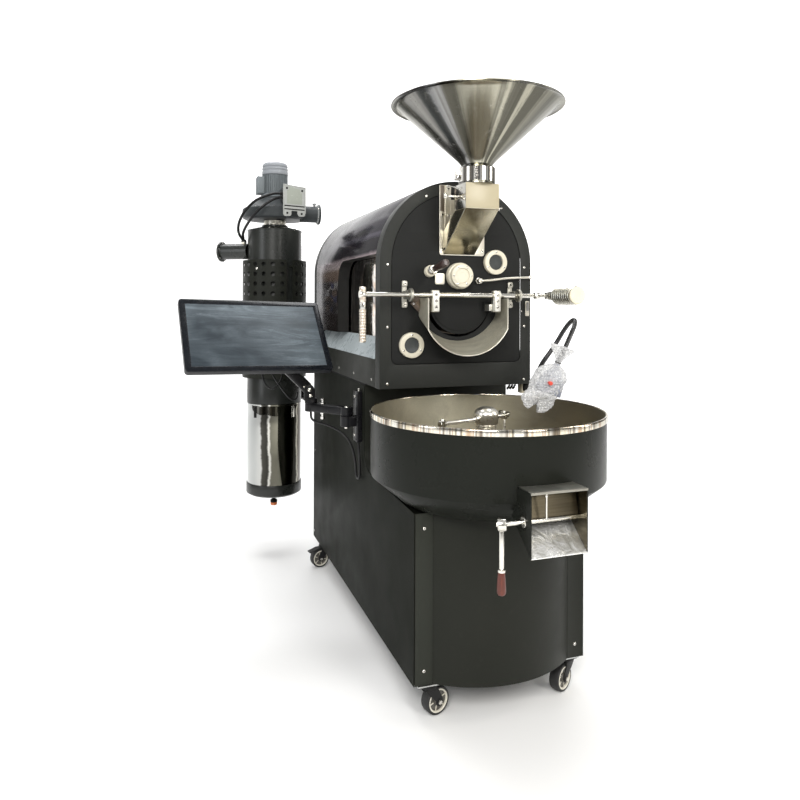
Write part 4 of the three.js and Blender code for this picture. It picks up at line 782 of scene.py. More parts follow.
g.add(lathe([(17, -2), (26, -2), (26, 3), (24.5, 4), (17, 4)], (150, 1336, 300), (0, 1, 0), 48), 1)
for a in (-1, 1):
    for zz in (130, 320, 510, 700, 860):
        screw(g, (a * 258, 1338, zz), (0, 1, 0), 4.6, 1.9, 1, 2)
build("rear_panel_piece", g, [M_COAT, M_SCREW, M_SHADE_AND_BLACK], "root", "rear_panel")
g = G()
bay = [(2, 572), (400, 583)] + arc(425, 675, 81, -60, 0, 12) + [(506, 886), (504, 886)] + arc(425, 675, 79, 0, -60, 12) + [(399.5, 585), (2, 574)]
g.add(prism(bay, 'YZ', -273, 273, 0.5))
build("bay_panel_piece", g, [M_COAT], "root", "tray_bay_panel")

# ---------------------------------------------------------- deck and sills
BAND_Y = (421, 645, 868)
g = G()
for a in (-1, 1):
    x0, x1 = (-275.5, -273.3) if a < 0 else (273.3, 275.5)
    g.add(prism([(376.3, 893), (1338, 893), (1338, 987), (376.3, 987)], 'YZ', x0, x1, 0.7))
    for yy in (BAND_Y if a < 0 else BAND_Y):
        screw(g, (a * 274.6, yy, 916), (a, 0, 0), 4.6, 1.8, 2, 3)
g.add(box(-274, 274, 376.3, 1338, 893, 895.4, 0.6))
# strip between the two courses, back from the face, in near-black: painted shade in the gap
for a in (-1, 1):
    x0, x1 = (-273.2, -270) if a < 0 else (270, 273.2)
    g.add(box(x0, x1, 506, 1336, 884, 896, 0.3), 4)
# rear wall over the deck, bearing upright with its hub, bracket for the cyclone
g.add(box(-150, 150, 1010, 1018, 894, 1330, 1.2))
g.add(lathe([(16, 0), (38, 0), (42, 3), (42, 43), (38, 46), (16, 46)], (0, 1004, 1265), (0, 1, 0), 48))
g.add(box(-275, -262, 1320, 1400, 905, 975, 1.2))
g.add(box(-330, -262, 1396, 1402, 905, 975, 1.2))
for zz in (920, 960):
    screw(g, (-275, 1334, zz), (-1, 0, 0), 6, 4, 2, 3)
# sloping sills
n = 1
for a in (-1, 1):
    V, F = [], []
    for i in range(n + 1):
        yy = 376.3 + (1289.5 - 376.3) * i / n
        up = 2.2 * math.sin(math.pi * i / n)
        for (px, pz) in ((276.2, 987.4), (252.9, 1021.9), (229.4, 1055.8), (227.1, 1053.4), (273.5, 986)):
            V.append((a * px, yy, pz))
    for i in range(n):
        for j in range(5):
            j2 = (j + 1) % 5
            F.append((i * 5 + j, i * 5 + j2, (i + 1) * 5 + j2, (i + 1) * 5 + j))
    F.append(tuple(range(5)))
    F.append(tuple(n * 5 + j for j in range(5)))
    g.add((V, F), 1)
build("deck_piece", g, [M_COAT, M_SILL, M_SCREW, M_SHADE_AND_BLACK, M_SHADE_AND_BLACK], "root", "upper_deck")


# ------------------------------------------------------ front plate and cover
def arch(r, z0, zc=1307, n=64, back=False):
    p = [(-r, z0), (r, z0)] + arc(0, zc, r, 0, 180, n)
    return p


def round_arch(hw, z0, rc, n=64):
    return arc(hw - rc, z0 + rc, rc, -90, 0, 8) + arc(0, 1307, hw, 0, 180, n) + arc(-hw + rc, z0 + rc, rc, 180, 270, 8)


g = G()
g.add(prism(arch(276, 893), 'XZ', 326, 330, 1.6, holes=[round_arch(236.5, 971.5, 21)], res=3))
g.add(prism([(276, 893)] + arc(0, 1307, 276, 0, 180, 64) + [(-276, 893), (-273.2, 893)] + arc(0, 1307, 273.2, 180, 0, 64) + [(273.2, 893)], 'XZ', 327.6, 376, 0.6))
g.add(box(-275.4, 275.4, 327.6, 376, 893, 895.6, 0.6))
for (px, pz) in [(-250, 1299), (-250, 1095), (-250, 910), (250, 1299), (250, 1095), (250, 910), (-116, 1528), (116, 1528)]:
    screw(g, (px, 326, pz), (0, -1, 0), 4.4, 2.4, 1, 1)
build("front_plate_piece", g, [M_FRONTP, M_SCREW], "root", "front_plate")

dis = [(-112, 1186), (-112, 1144)] + arc(0, 1177, 116, 197, 343, 28) + [(112, 1144), (112, 1186)]
feedw = rrect(-50, 50, 1345, 1404, 3)
g = G()
g.add(prism(round_arch(235, 973, 20), 'XZ', 327.5, 342, 1.2, res=3,
            holes=[dis, feedw, circle(136, 1314, 27), circle(-168, 1035, 27), circle(-104, 1275.4, 11.5), circle(75, 1250, 6.2, 24)]))
# dark reveal behind the gap round the cover: a near-black ring that paints the shade in the gap
g.add(prism(round_arch(237, 971, 22), 'XZ', 331, 334, 0.3, holes=[round_arch(230, 978, 18)]), 4)
# bearing cover: stepped disc with a raised outer ring and six screws
g.add(lathe([(0, -292.4), (12, -292.4), (12.6, -291.8), (23.5, -291.8), (24.4, -292.6), (25, -288.8), (26, -288), (36.6, -288), (38.4, -288.8), (39, -290.4), (39, -303), (40.4, -304.4), (43.2, -305.4), (44, -307), (44, -328.5), (0, -328.5)], (0, 0, 1265), (0, -1, 0), 96), 1)
for i in range(6):
    t = rad(60 + i * 60)
    screw(g, (31.3 * math.cos(t), 288.4, 1265 + 31.3 * math.sin(t)), (0, -1, 0), 3.6, 1.5, 2, 4)
# shaft brackets: cast ring on a pedestal with two screwed tabs
for s in (-1, 1):
    cx = s * 193
    g.add(prism(rrect(cx - 9.5, cx + 9.5, 1226, 1247, 6), 'XZ', 318.5, 328.5, 1.6, res=3), 3)
    g.add(prism(rrect(cx - 9.5, cx + 9.5, 1158, 1179, 6), 'XZ', 318.5, 328.5, 1.6, res=3), 3)
    g.add(prism(rrect(cx - 8.5, cx + 8.5, 1160, 1245, 3), 'XZ', 323, 329, 1.0), 3)
    for zz in (1237.5, 1168.5):
        capscrew(g, (cx, 318.5, zz), (0, -1, 0), 5.2, 3.6, 2, 4)
    g.add(lathe([(10.2, -5), (19.4, -5), (21.4, -3.4), (21.4, 3.4), (19.4, 5), (10.2, 5)], (cx, 262, 1200), (1, 0, 0), 64), 3)
    g.add(box(cx - 5.5, cx + 5.5, 280, 324, 1186, 1214, 2.5), 3)
# trier guide and its flange
dT = Vector((0, -0.988, 0.154)).normalized()
g.add(lathe([(11.4, -2), (19, -2), (19, 15), (17, 17), (11.4, 17)], (-104, 328, 1278), dT, 48), 1)
build("face_cover_piece", g, [M_FACE, M_RING, M_SCREW, steel("cast_grey", (0.50, 0.49, 0.44), 0.42, 0.1, 'X', fine=80, blotch=0.1), M_SHADE_AND_BLACK], "root", "face_cover")

# ------------------------------------------------------------- sight glasses
for nm, (cx, cz) in {"sight_glass_upper": (136, 1314), "sight_glass_lower": (-168, 1035)}.items():
    g = G()
    g.add(lathe([(26.4, -327), (26.4, -314.2), (27.2, -313.3), (39.5, -313), (41.4, -314), (42, -315.5), (42, -327)], (cx, 0, cz), (0, -1, 0), 80), 0)
    for a in (90, 210, 330):
        screw(g, (cx + 34 * math.cos(rad(a)), 313.2, cz + 34 * math.sin(rad(a))), (0, -1, 0), 3.6, 1.4, 2, 3)
    g.add(lathe([(0, -323), (26.2, -323), (26.2, -321), (25.6, -320.4), (0, -320.2)], (cx, 0, cz), (0, -1, 0), 64), 1)
    build(nm + "_piece", g, [M_RING, M_GLASS, M_SCREW, M_SHADE_AND_BLACK], "root", nm)

# --------------------------------------------------------- temperature probe
g = G()
g.add(lathe([(0, -327), (12.6, -327), (12.6, -323.5), (11.6, -322), (0, -322)], (75, 0, 1250), (0, -1, 0), 6))
g.add(lathe([(0, -323), (9, -323), (9, -308), (8, -306.2), (0, -306.2)], (75, 0, 1250), (0, -1, 0), 32))
g.add(lathe([(0, -326), (6.2, -326), (6.2, -306), (0, -305.6)], (75, 0, 1250), (0, -1, 0), 24), 1)
g.add(tube([(75, 307, 1250), (79, 305.8, 1250.1), (96, 305.6, 1250.8), (125, 306.4, 1253.6), (158, 308, 1257.6), (182, 309, 1260.4), (210, 309.6, 1262), (245, 311, 1263.4), (266, 315, 1264.6), (271, 319, 1265), (272, 324, 1265)], 3.8, 16), 1)
g.add(lathe([(3.2, 0), (6, 0), (6.5, 1), (6.5, 3.6), (3.2, 4)], (272, 325.8, 1265), (0, -1, 0), 24))
build("probe_piece", g, [M_SHAFT, M_PALE], "root", "temperature_probe")

# ------------------------------------------------------------ discharge spout
Ro, t = 158.5, 2.2
zc = 1002 + Ro


def u_path(r, nn=64):
    hw = r * math.cos(rad(27))
    pts = arc(0, zc, r, 207, 333, nn)
    top = 1190
    L, Rr = [], []
    z1 = pts[0][1]
    for i in range(9):
        f = i / 8
        zz = top + (z1 - top) * f
        curl = 14 * max(0, (zz - (top - 14)) / 14) ** 2
        L.append((-hw + curl * 0, zz))
    for i in range(9):
        f = i / 8
        Rr.append((hw, z1 + (top - z1) * f))
    return L[:-1] + pts + Rr[1:]


def shear(y, z):
    return z + max(0, y - 238) * 43 / 89 * min(1, max(0, (1190 - z) / 100))


po, pi_ = u_path(Ro), u_path(Ro - t)
ys = [238, 238.8, 250, 265, 280, 295, 310, 327]
V, F = [], []
for yy in ys:
    for (px, pz) in po:
        V.append((px, yy, shear(yy, pz)))
    for (px, pz) in pi_:
        V.append((px, yy, shear(yy, pz)))
m_ = len(po)
for a in range(len(ys) - 1):
    for i in range(m_ - 1):
        o0, o1 = a * 2 * m_ + i, (a + 1) * 2 * m_ + i
        F.append((o0, o0 + 1, o1 + 1, o1))
        F.append((o0 + m_, o1 + m_, o1 + m_ + 1, o0 + m_ + 1))
    for i in (0, m_ - 1):
        o0, o1 = a * 2 * m_ + i, (a + 1) * 2 * m_ + i
        F.append((o0, o1, o1 + m_, o0 + m_))
for a in (0, len(ys) - 1):
    for i in range(m_ - 1):
        o0 = a * 2 * m_ + i
        F.append((o0, o0 + 1, o0 + 1 + m_, o0 + m_))
g = G()
g.add((V, F), 0)
# bright rolled lip along the front edge
g.add(tube([(px * 0.9995, 238.9, pz + (0.6 if pz < 1100 else 0)) for px, pz in po[::2] + [po[-1]]], 1.9, 10, 1, smooth=False), 1)
M_SPOUT = steel("spout_steel", (0.50, 0.48, 0.395), 0.40, 0.12, 'X', fine=300, bump=0.03, blotch=0.14, metal=0.55)
build("spout_piece", g, [M_SPOUT, M_PALE], "root", "discharge_spout", bevel=0.0)

# ---------------------------------------------------------------- door group
g = G()
g.add(rod((-352, 262, 1200), (296, 262, 1200), 7.5, 40, c=0.8))
# hanging lever: cap, rings, smooth middle and beaded grip, all about one width
g.add(lathe([(0, 24), (8, 24), (10, 22.6), (10.6, 20.6), (10.6, 14), (9.4, 13.2), (9.4, 12.2), (10.8, 11.4), (10.8, 6), (9.8, 5.2), (9.8, 4.2), (11, 3.4), (11, -3.4), (9.8, -4.2), (9.8, -5.2), (11, -6), (11, -12), (9.8, -12.8), (9.8, -13.8), (11, -14.6), (11, -22), (9.6, -24), (0, -24)], (-352, 262, 1200), (0, 0, 1), 40), 1)
g.add(lathe([(0, -11), (11.5, -11), (12.5, -9.6), (12.5, 9.6), (11.5, 11), (0, 11)], (-352, 262, 1200), (1, 0, 0), 40), 0)
g.add(rod((-352, 262, 1180), (-352, 262, 1150), 9.6, 40, c=0.6), 0)
prof = [(0, 1050), (8.6, 1050), (9.6, 1051.5)]
for i in range(11):
    z0 = 1053 + i * 9
    prof += [(9.8, z0), (11.3, z0 + 1.4), (11.5, z0 + 3.4), (11.3, z0 + 5.6), (9.8, z0 + 7.2)]
prof += [(11.3, 1151.6), (10.2, 1153), (0, 1153)]
g.add(lathe(prof, (-352, 262, 0), (0, 0, 1), 40), 1)
# stop collar near the right end
g.add(lathe([(7.6, -9), (10.5, -9), (11.2, -8), (11.2, 8), (10.5, 9), (7.6, 9)], (262, 262, 1200), (1, 0, 0), 40), 0)
build("door_shaft_piece", g, [M_SHAFT, steel("lever_grip", (0.80, 0.72, 0.62), 0.3, 0.1, 'Z', fine=200, blotch=0.08)], "door_body", "door_shaft")

g = G()
dpl = [(-104, 1186), (-104, 1144)] + arc(0, 1179, 109, 199, 341, 40) + [(104, 1144), (104, 1186)]
g.add(prism(dpl, 'XZ', 314.4, 318, 1.0), 0)
# two stepped lower arcs on the door
g.add(prism([(-98, 1184), (-98, 1147)] + arc(0, 1185, 104, 203, 337, 40) + [(98, 1147), (98, 1184)], 'XZ', 312.2, 315, 1.0), 0)
for s in (-1, 1):
    x0 = s * 110
    g.add(box(x0 - 13, x0 + 13, 255, 274, 1144.5, 1215.5, 2.6, 3), 1)
    g.add(box(x0 - 11, x0 + 11, 249, 256, 1146, 1214, 2.2, 3), 1)
    g.add(lathe([(7.9, -13.4), (11.8, -13.4), (11.8, 13.4), (7.9, 13.4)], (x0, 262, 1200), (1, 0, 0), 32), 1)
    for zz in (1200.5, 1181, 1161):
        # near-black disc under each screw ring: painted shade in the hole
        g.add(lathe([(0, 0.15), (4.9, 0.15), (4.9, 0.9), (0, 0.9)], (x0, 249.1, zz), (0, -1, 0), 28), 2)
        g.add(lathe([(2.4, 0.2), (4.2, 0.2), (4.2, 1.7), (3.4, 2.3), (2.4, 2.0)], (x0, 249.1, zz), (0, -1, 0), 28), 3)
    g.add(box(s * 98 - 9, s * 98 + 9, 272, 313, 1148, 1170, 2.0), 1)
    g.add(box(s * 98 - 13, s * 98 + 13, 304, 313, 1144, 1180, 1.6), 0)
build("door_piece", g, [M_FACE, steel("clamp_alu", (0.80, 0.79, 0.73), 0.4, 0.1, 'Z', fine=300, blotch=0.07), M_SHADE_AND_BLACK, M_SCREW], "door_body", "discharge_door")

# counterweight grip: collar and coil on the shaft's end, ribbed weight along Y
g = G()
pf = [(0, 296.3), (10, 296.3), (11, 297.3), (11, 302), (8.6, 303), (8.6, 304.4), (12.6, 305.4), (12.6, 307.6), (8.8, 308.6), (8.8, 309.8), (13.6, 310.8), (13.6, 313), (9, 314), (9, 315), (14.4, 316), (14.4, 318.6), (11, 320), (0, 320)]
g.add(lathe([(r, h) for r, h in pf], (0, 262, 1200), (1, 0, 0), 40), 0)
pf = [(0, 105.5), (23.5, 105.5), (23.5, 222), (23, 228), (20.5, 234), (21.5, 236), (17.5, 241), (18.3, 243), (13, 248), (14, 250), (11, 254), (11, 270), (13, 272), (13, 274), (0, 274)]
g.add(lathe([(r, -h) for r, h in pf], (322, 0, 1200), (0, -1, 0), 72), 2)
for i in range(9):
    y0 = 116 + i * 12.2
    pf = [(23.0, y0), (26.5, y0 + 0.2), (30.0, y0 + 1.2), (31, y0 + 2.6), (30.0, y0 + 4.0), (26.5, y0 + 5.0), (23.0, y0 + 5.2)]
    g.add(lathe([(r, -h) for r, h in pf], (322, 0, 1200), (0, -1, 0), 72), 0)
for y0 in (229, 237, 245, 252):
    rr = 24 - (y0 - 229) * 0.46
    g.add(lathe([(r, -h) for r, h in [(rr - 5, y0 - 3), (rr - 1, y0 - 2), (rr, y0), (rr - 1, y0 + 2), (rr - 5, y0 + 3)]], (322, 0, 1200), (0, -1, 0), 56), 0)
g.add(lathe([(0, -103.2), (22, -103.4), (26.6, -104), (28.4, -105.4), (29, -108), (28.6, -111.5), (0, -111.5)], (322, 0, 1200), (0, -1, 0), 72), 1)
build("grip_piece", g, [steel("coil_steel", (0.56, 0.55, 0.50), 0.26, 0.1, 'Y', fine=200, blotch=0.1), plastic("pale_disc", (0.72, 0.66, 0.50), 0.42, 500, 0.08), M_SHADE_AND_BLACK], "door_body", "counterweight_grip")

# --------------------------------------------------------------------- trier
dT = Vector((0, -1, 0.156)).normalized()


def tp(y):
    return Vector((-104, y, 1278 + (328 - y) * 0.156))


g = G()
g.add(rod(tp(490), tp(290), 8, 24), 0)
g.add(lathe([(0, 0), (9, 0), (10.5, 1.5), (15.4, 3), (15.4, 5), (14.4, 6.4), (13.6, 7), (13.6, 9), (15.2, 10), (15.2, 13.5), (13, 15.5), (0, 16)], tp(300), dT, 40), 0)
g.add(lathe([(0, 0), (9, 0), (9.8, 1), (9.8, 5), (8.6, 6), (8.6, 9), (9.8, 10), (9.8, 13), (0, 14)], tp(286), dT, 32), 0)
g.add(lathe([(0, 0), (9.8, 0), (11, 3), (10.8, 14), (11.4, 34), (12.4, 58), (13, 74), (13, 82), (12, 88), (9, 92.4), (0, 93.8)], tp(273), dT, 40), 1)
build("trier_piece", g, [M_SHAFT, M_DARKWOOD], "trier_body", "trier")

# -------------------------------------------------------- bean feed, gate box
g = G()
pl = [(-70, 1340)] + arc(-62, 1342, 8, 180, 270, 6) + [(-10, 1332.6), (20, 1332)] + arc(87, 1342, 8, 270, 360, 6) + [(95, 1400), (62, 1520), (-30, 1520), (-30, 1567), (-70, 1567)]
pl = [(-70, 1342)] + arc(-62, 1342, 8, 180, 270, 6) + arc(87, 1342, 8, 270, 360, 6) + [(95, 1398), (62, 1520), (-29, 1520), (-29, 1566), (-31, 1568), (-68, 1568), (-70, 1566)]
W = 57
g.add(prism(pl, 'XZ', 322.5, 325.7, 0.9, holes=[[(-W + 2, 1343), (W - 2, 1343), (W - 2, 1406), (-W + 2, 1406)]]), 0)
# narrower strip over the tall left part, tapering to a point
g.add(prism([(-52, 1366), (-31, 1392), (-29.5, 1566), (-50, 1567)], 'XZ', 320.6, 322.6, 0.7), 0)
g.add(prism([(-69, 1482), (-52.5, 1478), (-52.5, 1566), (-69, 1566)], 'XZ', 321.2, 322.6, 0.6), 3)
for (px, pz) in [(-40, 1555), (-61, 1468), (-38, 1466), (-61, 1354), (86, 1350)]:
    capscrew(g, (px, 320.4 if pz > 1400 else 322.4, pz), (0, -1, 0), 5.2, 3.8, 1, 2)
# inclined square duct: two sides, sloping back and front sheets
sd = [(146, 1468.4), (226, 1468.4), (323, 1412), (323, 1338)]
for a in (-1, 1):
    x0, x1 = sorted((a * W, a * (W - 2)))
    g.add(prism(sd, 'YZ', x0, x1, 0.5), 4)


def sheet_between(p, q, x0, x1, t, mat, nx=24, ny=24, dent=0.0, seed=0):
    """a sheet from edge point p to q in the YZ plane between x0 and x1, t thick, gently dented"""
    V, F = [], []
    d = Vector((0, q[0] - p[0], q[1] - p[1]))
    nrm = Vector((0, -d.z, d.y)).normalized()
    for s_ in (0, 1):
        for i in range(ny + 1):
            for j in range(nx + 1):
                u, v_ = i / ny, j / nx
                b_ = Vector((x0 + (x1 - x0) * v_, p[0] + d.y * u, p[1] + d.z * u))
                w = dent * math.sin(math.pi * u) * math.sin(math.pi * v_) * (0.6 + 0.8 * noise.noise(Vector((u * 3 + seed, v_ * 3, 0))))
                b_ += nrm * (w - s_ * t)
                V.append(tuple(b_))
    N = (ny + 1) * (nx + 1)
    for s_ in (0, 1):
        for i in range(ny):
            for j in range(nx):
                a_ = s_ * N + i * (nx + 1) + j
                F.append((a_, a_ + 1, a_ + nx + 2, a_ + nx + 1))
    rim = [i for i in range(nx + 1)] + [i * (nx + 1) + nx for i in range(1, ny + 1)] + [ny * (nx + 1) + j for j in range(nx - 1, -1, -1)] + [i * (nx + 1) for i in range(ny - 1, 0, -1)]
    for k_, a_ in enumerate(rim):
        b_ = rim[(k_ + 1) % len(rim)]
        F.append((a_, b_, b_ + N, a_ + N))
    g.add((V, F), mat)


sheet_between((146, 1468.2), (322.6, 1338.4), -W + 0.3, W - 0.3, 2, 4, dent=-1.2, seed=3)
sheet_between((226, 1468.2), (322.6, 1412), -W + 0.3, W - 0.3, 2, 4, dent=0.6, seed=9)
# hemmed edge strips along the duct's lower corners
for a in (-1, 1):
    g.add(tube([(a * (W - 1), 146.5, 1467.4), (a * (W - 1), 322, 1338.6)], 1.5, 8, 1, smooth=False), 5)
M_DUCT = steel("duct_mirror", (0.50, 0.46, 0.345), 0.16, 0.07, 'Z', fine=260, bump=0.02, blotch=0.10)
M_PLATE = steel("plate_rose", (0.66, 0.58, 0.49), 0.34, 0.1, 'Z', fine=500, blotch=0.12)
build("feed_piece", g, [M_PALE, M_SCREW, M_SHADE_AND_BLACK, steel("strip_dark", (0.34, 0.30, 0.26), 0.35, 0.1, 'Z', fine=500, blotch=0.15), M_DUCT, M_PALE], "root", "feed_chute")

g = G()
# gate box: folded front, sides and back, turned-in edges at top and bottom
HY = 184
M_GATEF = coat("gate_front", (0.37, 0.325, 0.22), (0.43, 0.38, 0.26), (0.26, 0.4), 900, 0.04, 0.06, 0.6)
M_GATES = polish("gate_side", (0.50, 0.49, 0.45), 0.14, 0.1, wave=0.2, wscale=10)
g.add(prism(rrect(-57, 57, 142, 228, 2.2), 'XY', 1511, 1548, 1.0, holes=[circle(0, 184, 36, 56)]), 0)
g.add(prism(rrect(-57, 57, 142, 228, 2.2), 'XY', 1469, 1505, 1.0, holes=[circle(0, 184, 36, 56)]), 0)
g.add(box(50, 57, 143, 227, 1504, 1512, 0.4), 0)
g.add(box(-56.6, 56.6, 142.0, 144.6, 1500, 1516, 0.3), 0)
g.add(box(-56.6, 56.6, 225.4, 228, 1500, 1516, 0.3), 0)
# plain front face and dark mirror side round the slide's slot
g.add(box(-57.2, 57.2, 141.0, 142.4, 1469, 1548.2, 0.5, 2), 0)
g.add(box(-57.6, -56.8, 142.4, 227.6, 1469.4, 1503, 0.2), 4)
g.add(box(-57.6, -56.8, 142.4, 227.6, 1512.6, 1547.8, 0.2), 4)
g.add(box(56.8, 57.6, 142.4, 227.6, 1469.4, 1547.8, 0.2), 4)
# bright lower hem
g.add(box(-56.8, 56.8, 141.2, 146, 1468.4, 1471, 0.8), 1)
# small rod and nuts at the right lower corner, and a link rod up to the left
g.add(rod((57, 165, 1476), (79, 165, 1476), 2.4, 16, c=0.5), 2)
g.add(lathe([(2.4, 0), (5.2, 0), (5.2, 4), (2.4, 4)], (57.2, 165, 1476), (1, 0, 0), 6), 2)
g.add(lathe([(0, 0), (5, 0), (5, 3.4), (0, 3.8)], (62, 158, 1471), (1, 0, 0), 20), 3)
g.add(tube([(-56.5, 178, 1528), (-72, 200, 1541), (-84, 218, 1546)], 2.0, 10, 4), 2)
g.add(lathe([(0, 0), (4.4, 0), (4.4, 3), (0, 3)], (-84, 218, 1546), (-0.6, 0.7, 0.2), 16), 2)
build("gate_box_piece", g, [M_GATEF, M_PALE, M_SHAFT, M_SCREW, M_GATES], "root", "gate_box")
g = G()
g.add(box(-56, 48, 145.5, 222.5, 1506.3, 1509.7, 0.5))
g.add(box(-69, -54, 178, 190, 1505.6, 1510.4, 0.8))
g.add(rod((-67, 184, 1508), (-106, 184, 1508), 4, 24, c=1))
g.add(lathe([(0, 1500), (5, 1500), (6, 1501.4), (6, 1514.6), (5, 1516), (0, 1516)], (-107, 184, 0), (0, 0, 1), 32))
build("feed_gate_piece", g, [M_SHAFT], "feed_gate_body", "hopper_gate")

# -------------------------------------------------------------------- hopper
HR = 272
c0 = T((0, 184, 1600))


def hopper_mat():
    """polished spun cone: streaks running from the neck to the rim, water marks, and painted reflections as bright and
    dark bands by angle
    """
    m = Mat("hopper_steel", (0.50, 0.47, 0.40), 0.2, 1.0)
    va = m.polar(c0, 'Z', 6.0, 0.8, 0.8)
    st = m.noise(va, 1.0, 4, 0.62, 0.3)
    vb = m.polar(c0, 'Z', 22.0, 2.0, 2.0)
    st2 = m.noise(vb, 1.0, 3, 0.6)
    vf = m.polar(c0, 'Z', 3.0, 260.0, 260.0)
    fine = m.noise(vf, 1.0, 2, 0.5)
    marks = m.noise(m.coord((1, 1, 1)), 26, 6, 0.7, 0.7)
    f = m.math('ADD', m.mul(st, 0.80), m.mul(st2, 0.20))
    so = m.n("ShaderNodeSeparateXYZ")
    m.l(m.polar(c0, 'Z', 0.159155, 1.0, 1.0), so.inputs[0])
    fa = m.math('ADD', so.outputs["X"], 0.5)
    fa = m.math('ADD', fa, m.mul(m.math('SUBTRACT', st2, 0.5), 0.045))
    fa = m.math('ADD', fa, m.mul(m.math('SUBTRACT', marks, 0.5), 0.012))
    K_ = lambda q, w=(1.0, 0.965, 0.79): tuple(q * x for x in w)
    # painted reflection: bright and dark bands by angle round the cone
    col = m.ramp(fa, [(0.0, K_(0.20, (1, 0.98, 0.92))), (0.035, K_(0.30, (1, 0.98, 0.92))), (0.07, K_(0.16, (1, 0.98, 0.92))), (0.095, K_(0.36, (1, 1, 1))), (0.115, K_(0.12)), (0.135, K_(0.075)), (0.15, K_(0.30)), (0.185, K_(0.56)), (0.215, K_(0.50)), (0.235, K_(0.20)), (0.242, K_(0.50)), (0.25, K_(0.14)), (0.272, K_(0.07)), (0.283, K_(0.44)), (0.292, K_(0.10)), (0.32, K_(0.09)), (0.335, K_(0.26)), (0.36, K_(0.14)), (0.42, K_(0.30)), (0.5, K_(0.12)), (0.58, K_(0.36)), (0.66, K_(0.14)), (0.74, K_(0.40)), (0.80, K_(0.16)), (0.88, K_(0.38)), (0.955, K_(0.20))])
    col = m.mix(m.mul(m.rng(st, 0.42, 0.62, 0, 1), 0.28), col, K_(0.12))
    m.to("Base Color", m.mix(m.mul(m.rng(marks, 0.62, 0.78, 0, 1), 0.35), col, (0.60, 0.60, 0.57)))
    r = m.math('ADD', m.rng(f, 0.35, 0.65, 0.13, 0.26), m.mul(m.rng(marks, 0.55, 0.8, 0, 1), 0.2))
    m.to("Roughness", r)
    m.to("Normal", m.bump(m.math('ADD', m.mul(fine, 0.5), st2), 0.05, 0.002))
    return m.m


M_HOP = hopper_mat()
g = G()
prof = [(42, 1548.4), (58.6, 1548.4), (58.6, 1551), (57.4, 1552.6), (57.2, 1554), (57.2, 1600), (56, 1602), (47, 1602.2), (47, 1604), (49.2, 1608), (55, 1616), (62, 1624)]
nn = 22
for i in range(1, nn + 1):
    f = i / nn
    prof.append((62 + (253.5 - 62) * f, 1624 + (1796 - 1624) * f))
# flat outward flange with a rolled edge
prof += [(256, 1797.2), (262, 1797.4), (270, 1796.8), (272, 1795.6), (273.2, 1796.0), (273.4, 1798), (272.2, 1799.6), (269, 1800), (262, 1799.8), (254, 1799.6), (251.4, 1798.2)]
for i in range(nn, -1, -1):
    f = i / nn
    prof.append((59.6 + (250.8 - 59.6) * f, 1625.4 + (1797.4 - 1625.4) * f))
prof += [(53.4, 1618), (46.4, 1609), (44.4, 1604.6), (42, 1602)]
g.add(lathe(prof, (0, 184, 0), (0, 0, 1), 144), 0)
# polished clamp ring round the neck with its lug and screw
g.add(lathe([(57.4, 1554.4), (58.8, 1555), (58.8, 1598.6), (57.4, 1599.4)], (0, 184, 0), (0, 0, 1), 96), 1)
g.add(box(-70, -56, 186, 204, 1562, 1590, 1.6), 1)
g.add(rod((-64, 182, 1576), (-64, 210, 1576), 3.2, 16, c=0.8), 2)
V, F = [], []
build("hopper_piece", g, [M_HOP, polish("neck_mirror", (0.74, 0.72, 0.68), 0.05, 0.05), M_SHAFT], "root", "hopper", angle=50)

# --------------------------------------------------------------- cooling tray
cT = T((0, 110, 850))
def rim_mat():
    """polished rim: painted reflections as narrow bright, brown and bluish stripes across its width"""
    m = Mat("rim_polished", (0.72, 0.70, 0.62), 0.12, 1.0)
    a1 = m.noise(m.polar(cT, 'Z', 7.0, 0.3, 0.3), 1.0, 2, 0.5, 0.1)
    col = m.ramp(a1, [(0.28, (0.05, 0.04, 0.03)), (0.33, (0.70, 0.66, 0.55)), (0.40, (0.86, 0.84, 0.76)), (0.435, (0.12, 0.09, 0.06)), (0.455, (0.74, 0.66, 0.50)), (0.50, (0.80, 0.76, 0.66)), (0.53, (0.50, 0.36, 0.24)), (0.56, (0.84, 0.82, 0.74)), (0.60, (0.16, 0.12, 0.09)), (0.63, (0.78, 0.72, 0.60)), (0.68, (0.38, 0.42, 0.52)), (0.72, (0.86, 0.84, 0.78))])
    m.to("Base Color", col)
    m.to("Roughness", m.rng(m.noise(m.coord(), 20, 5, 0.6), 0.3, 0.7, 0.08, 0.2))
    return m.m


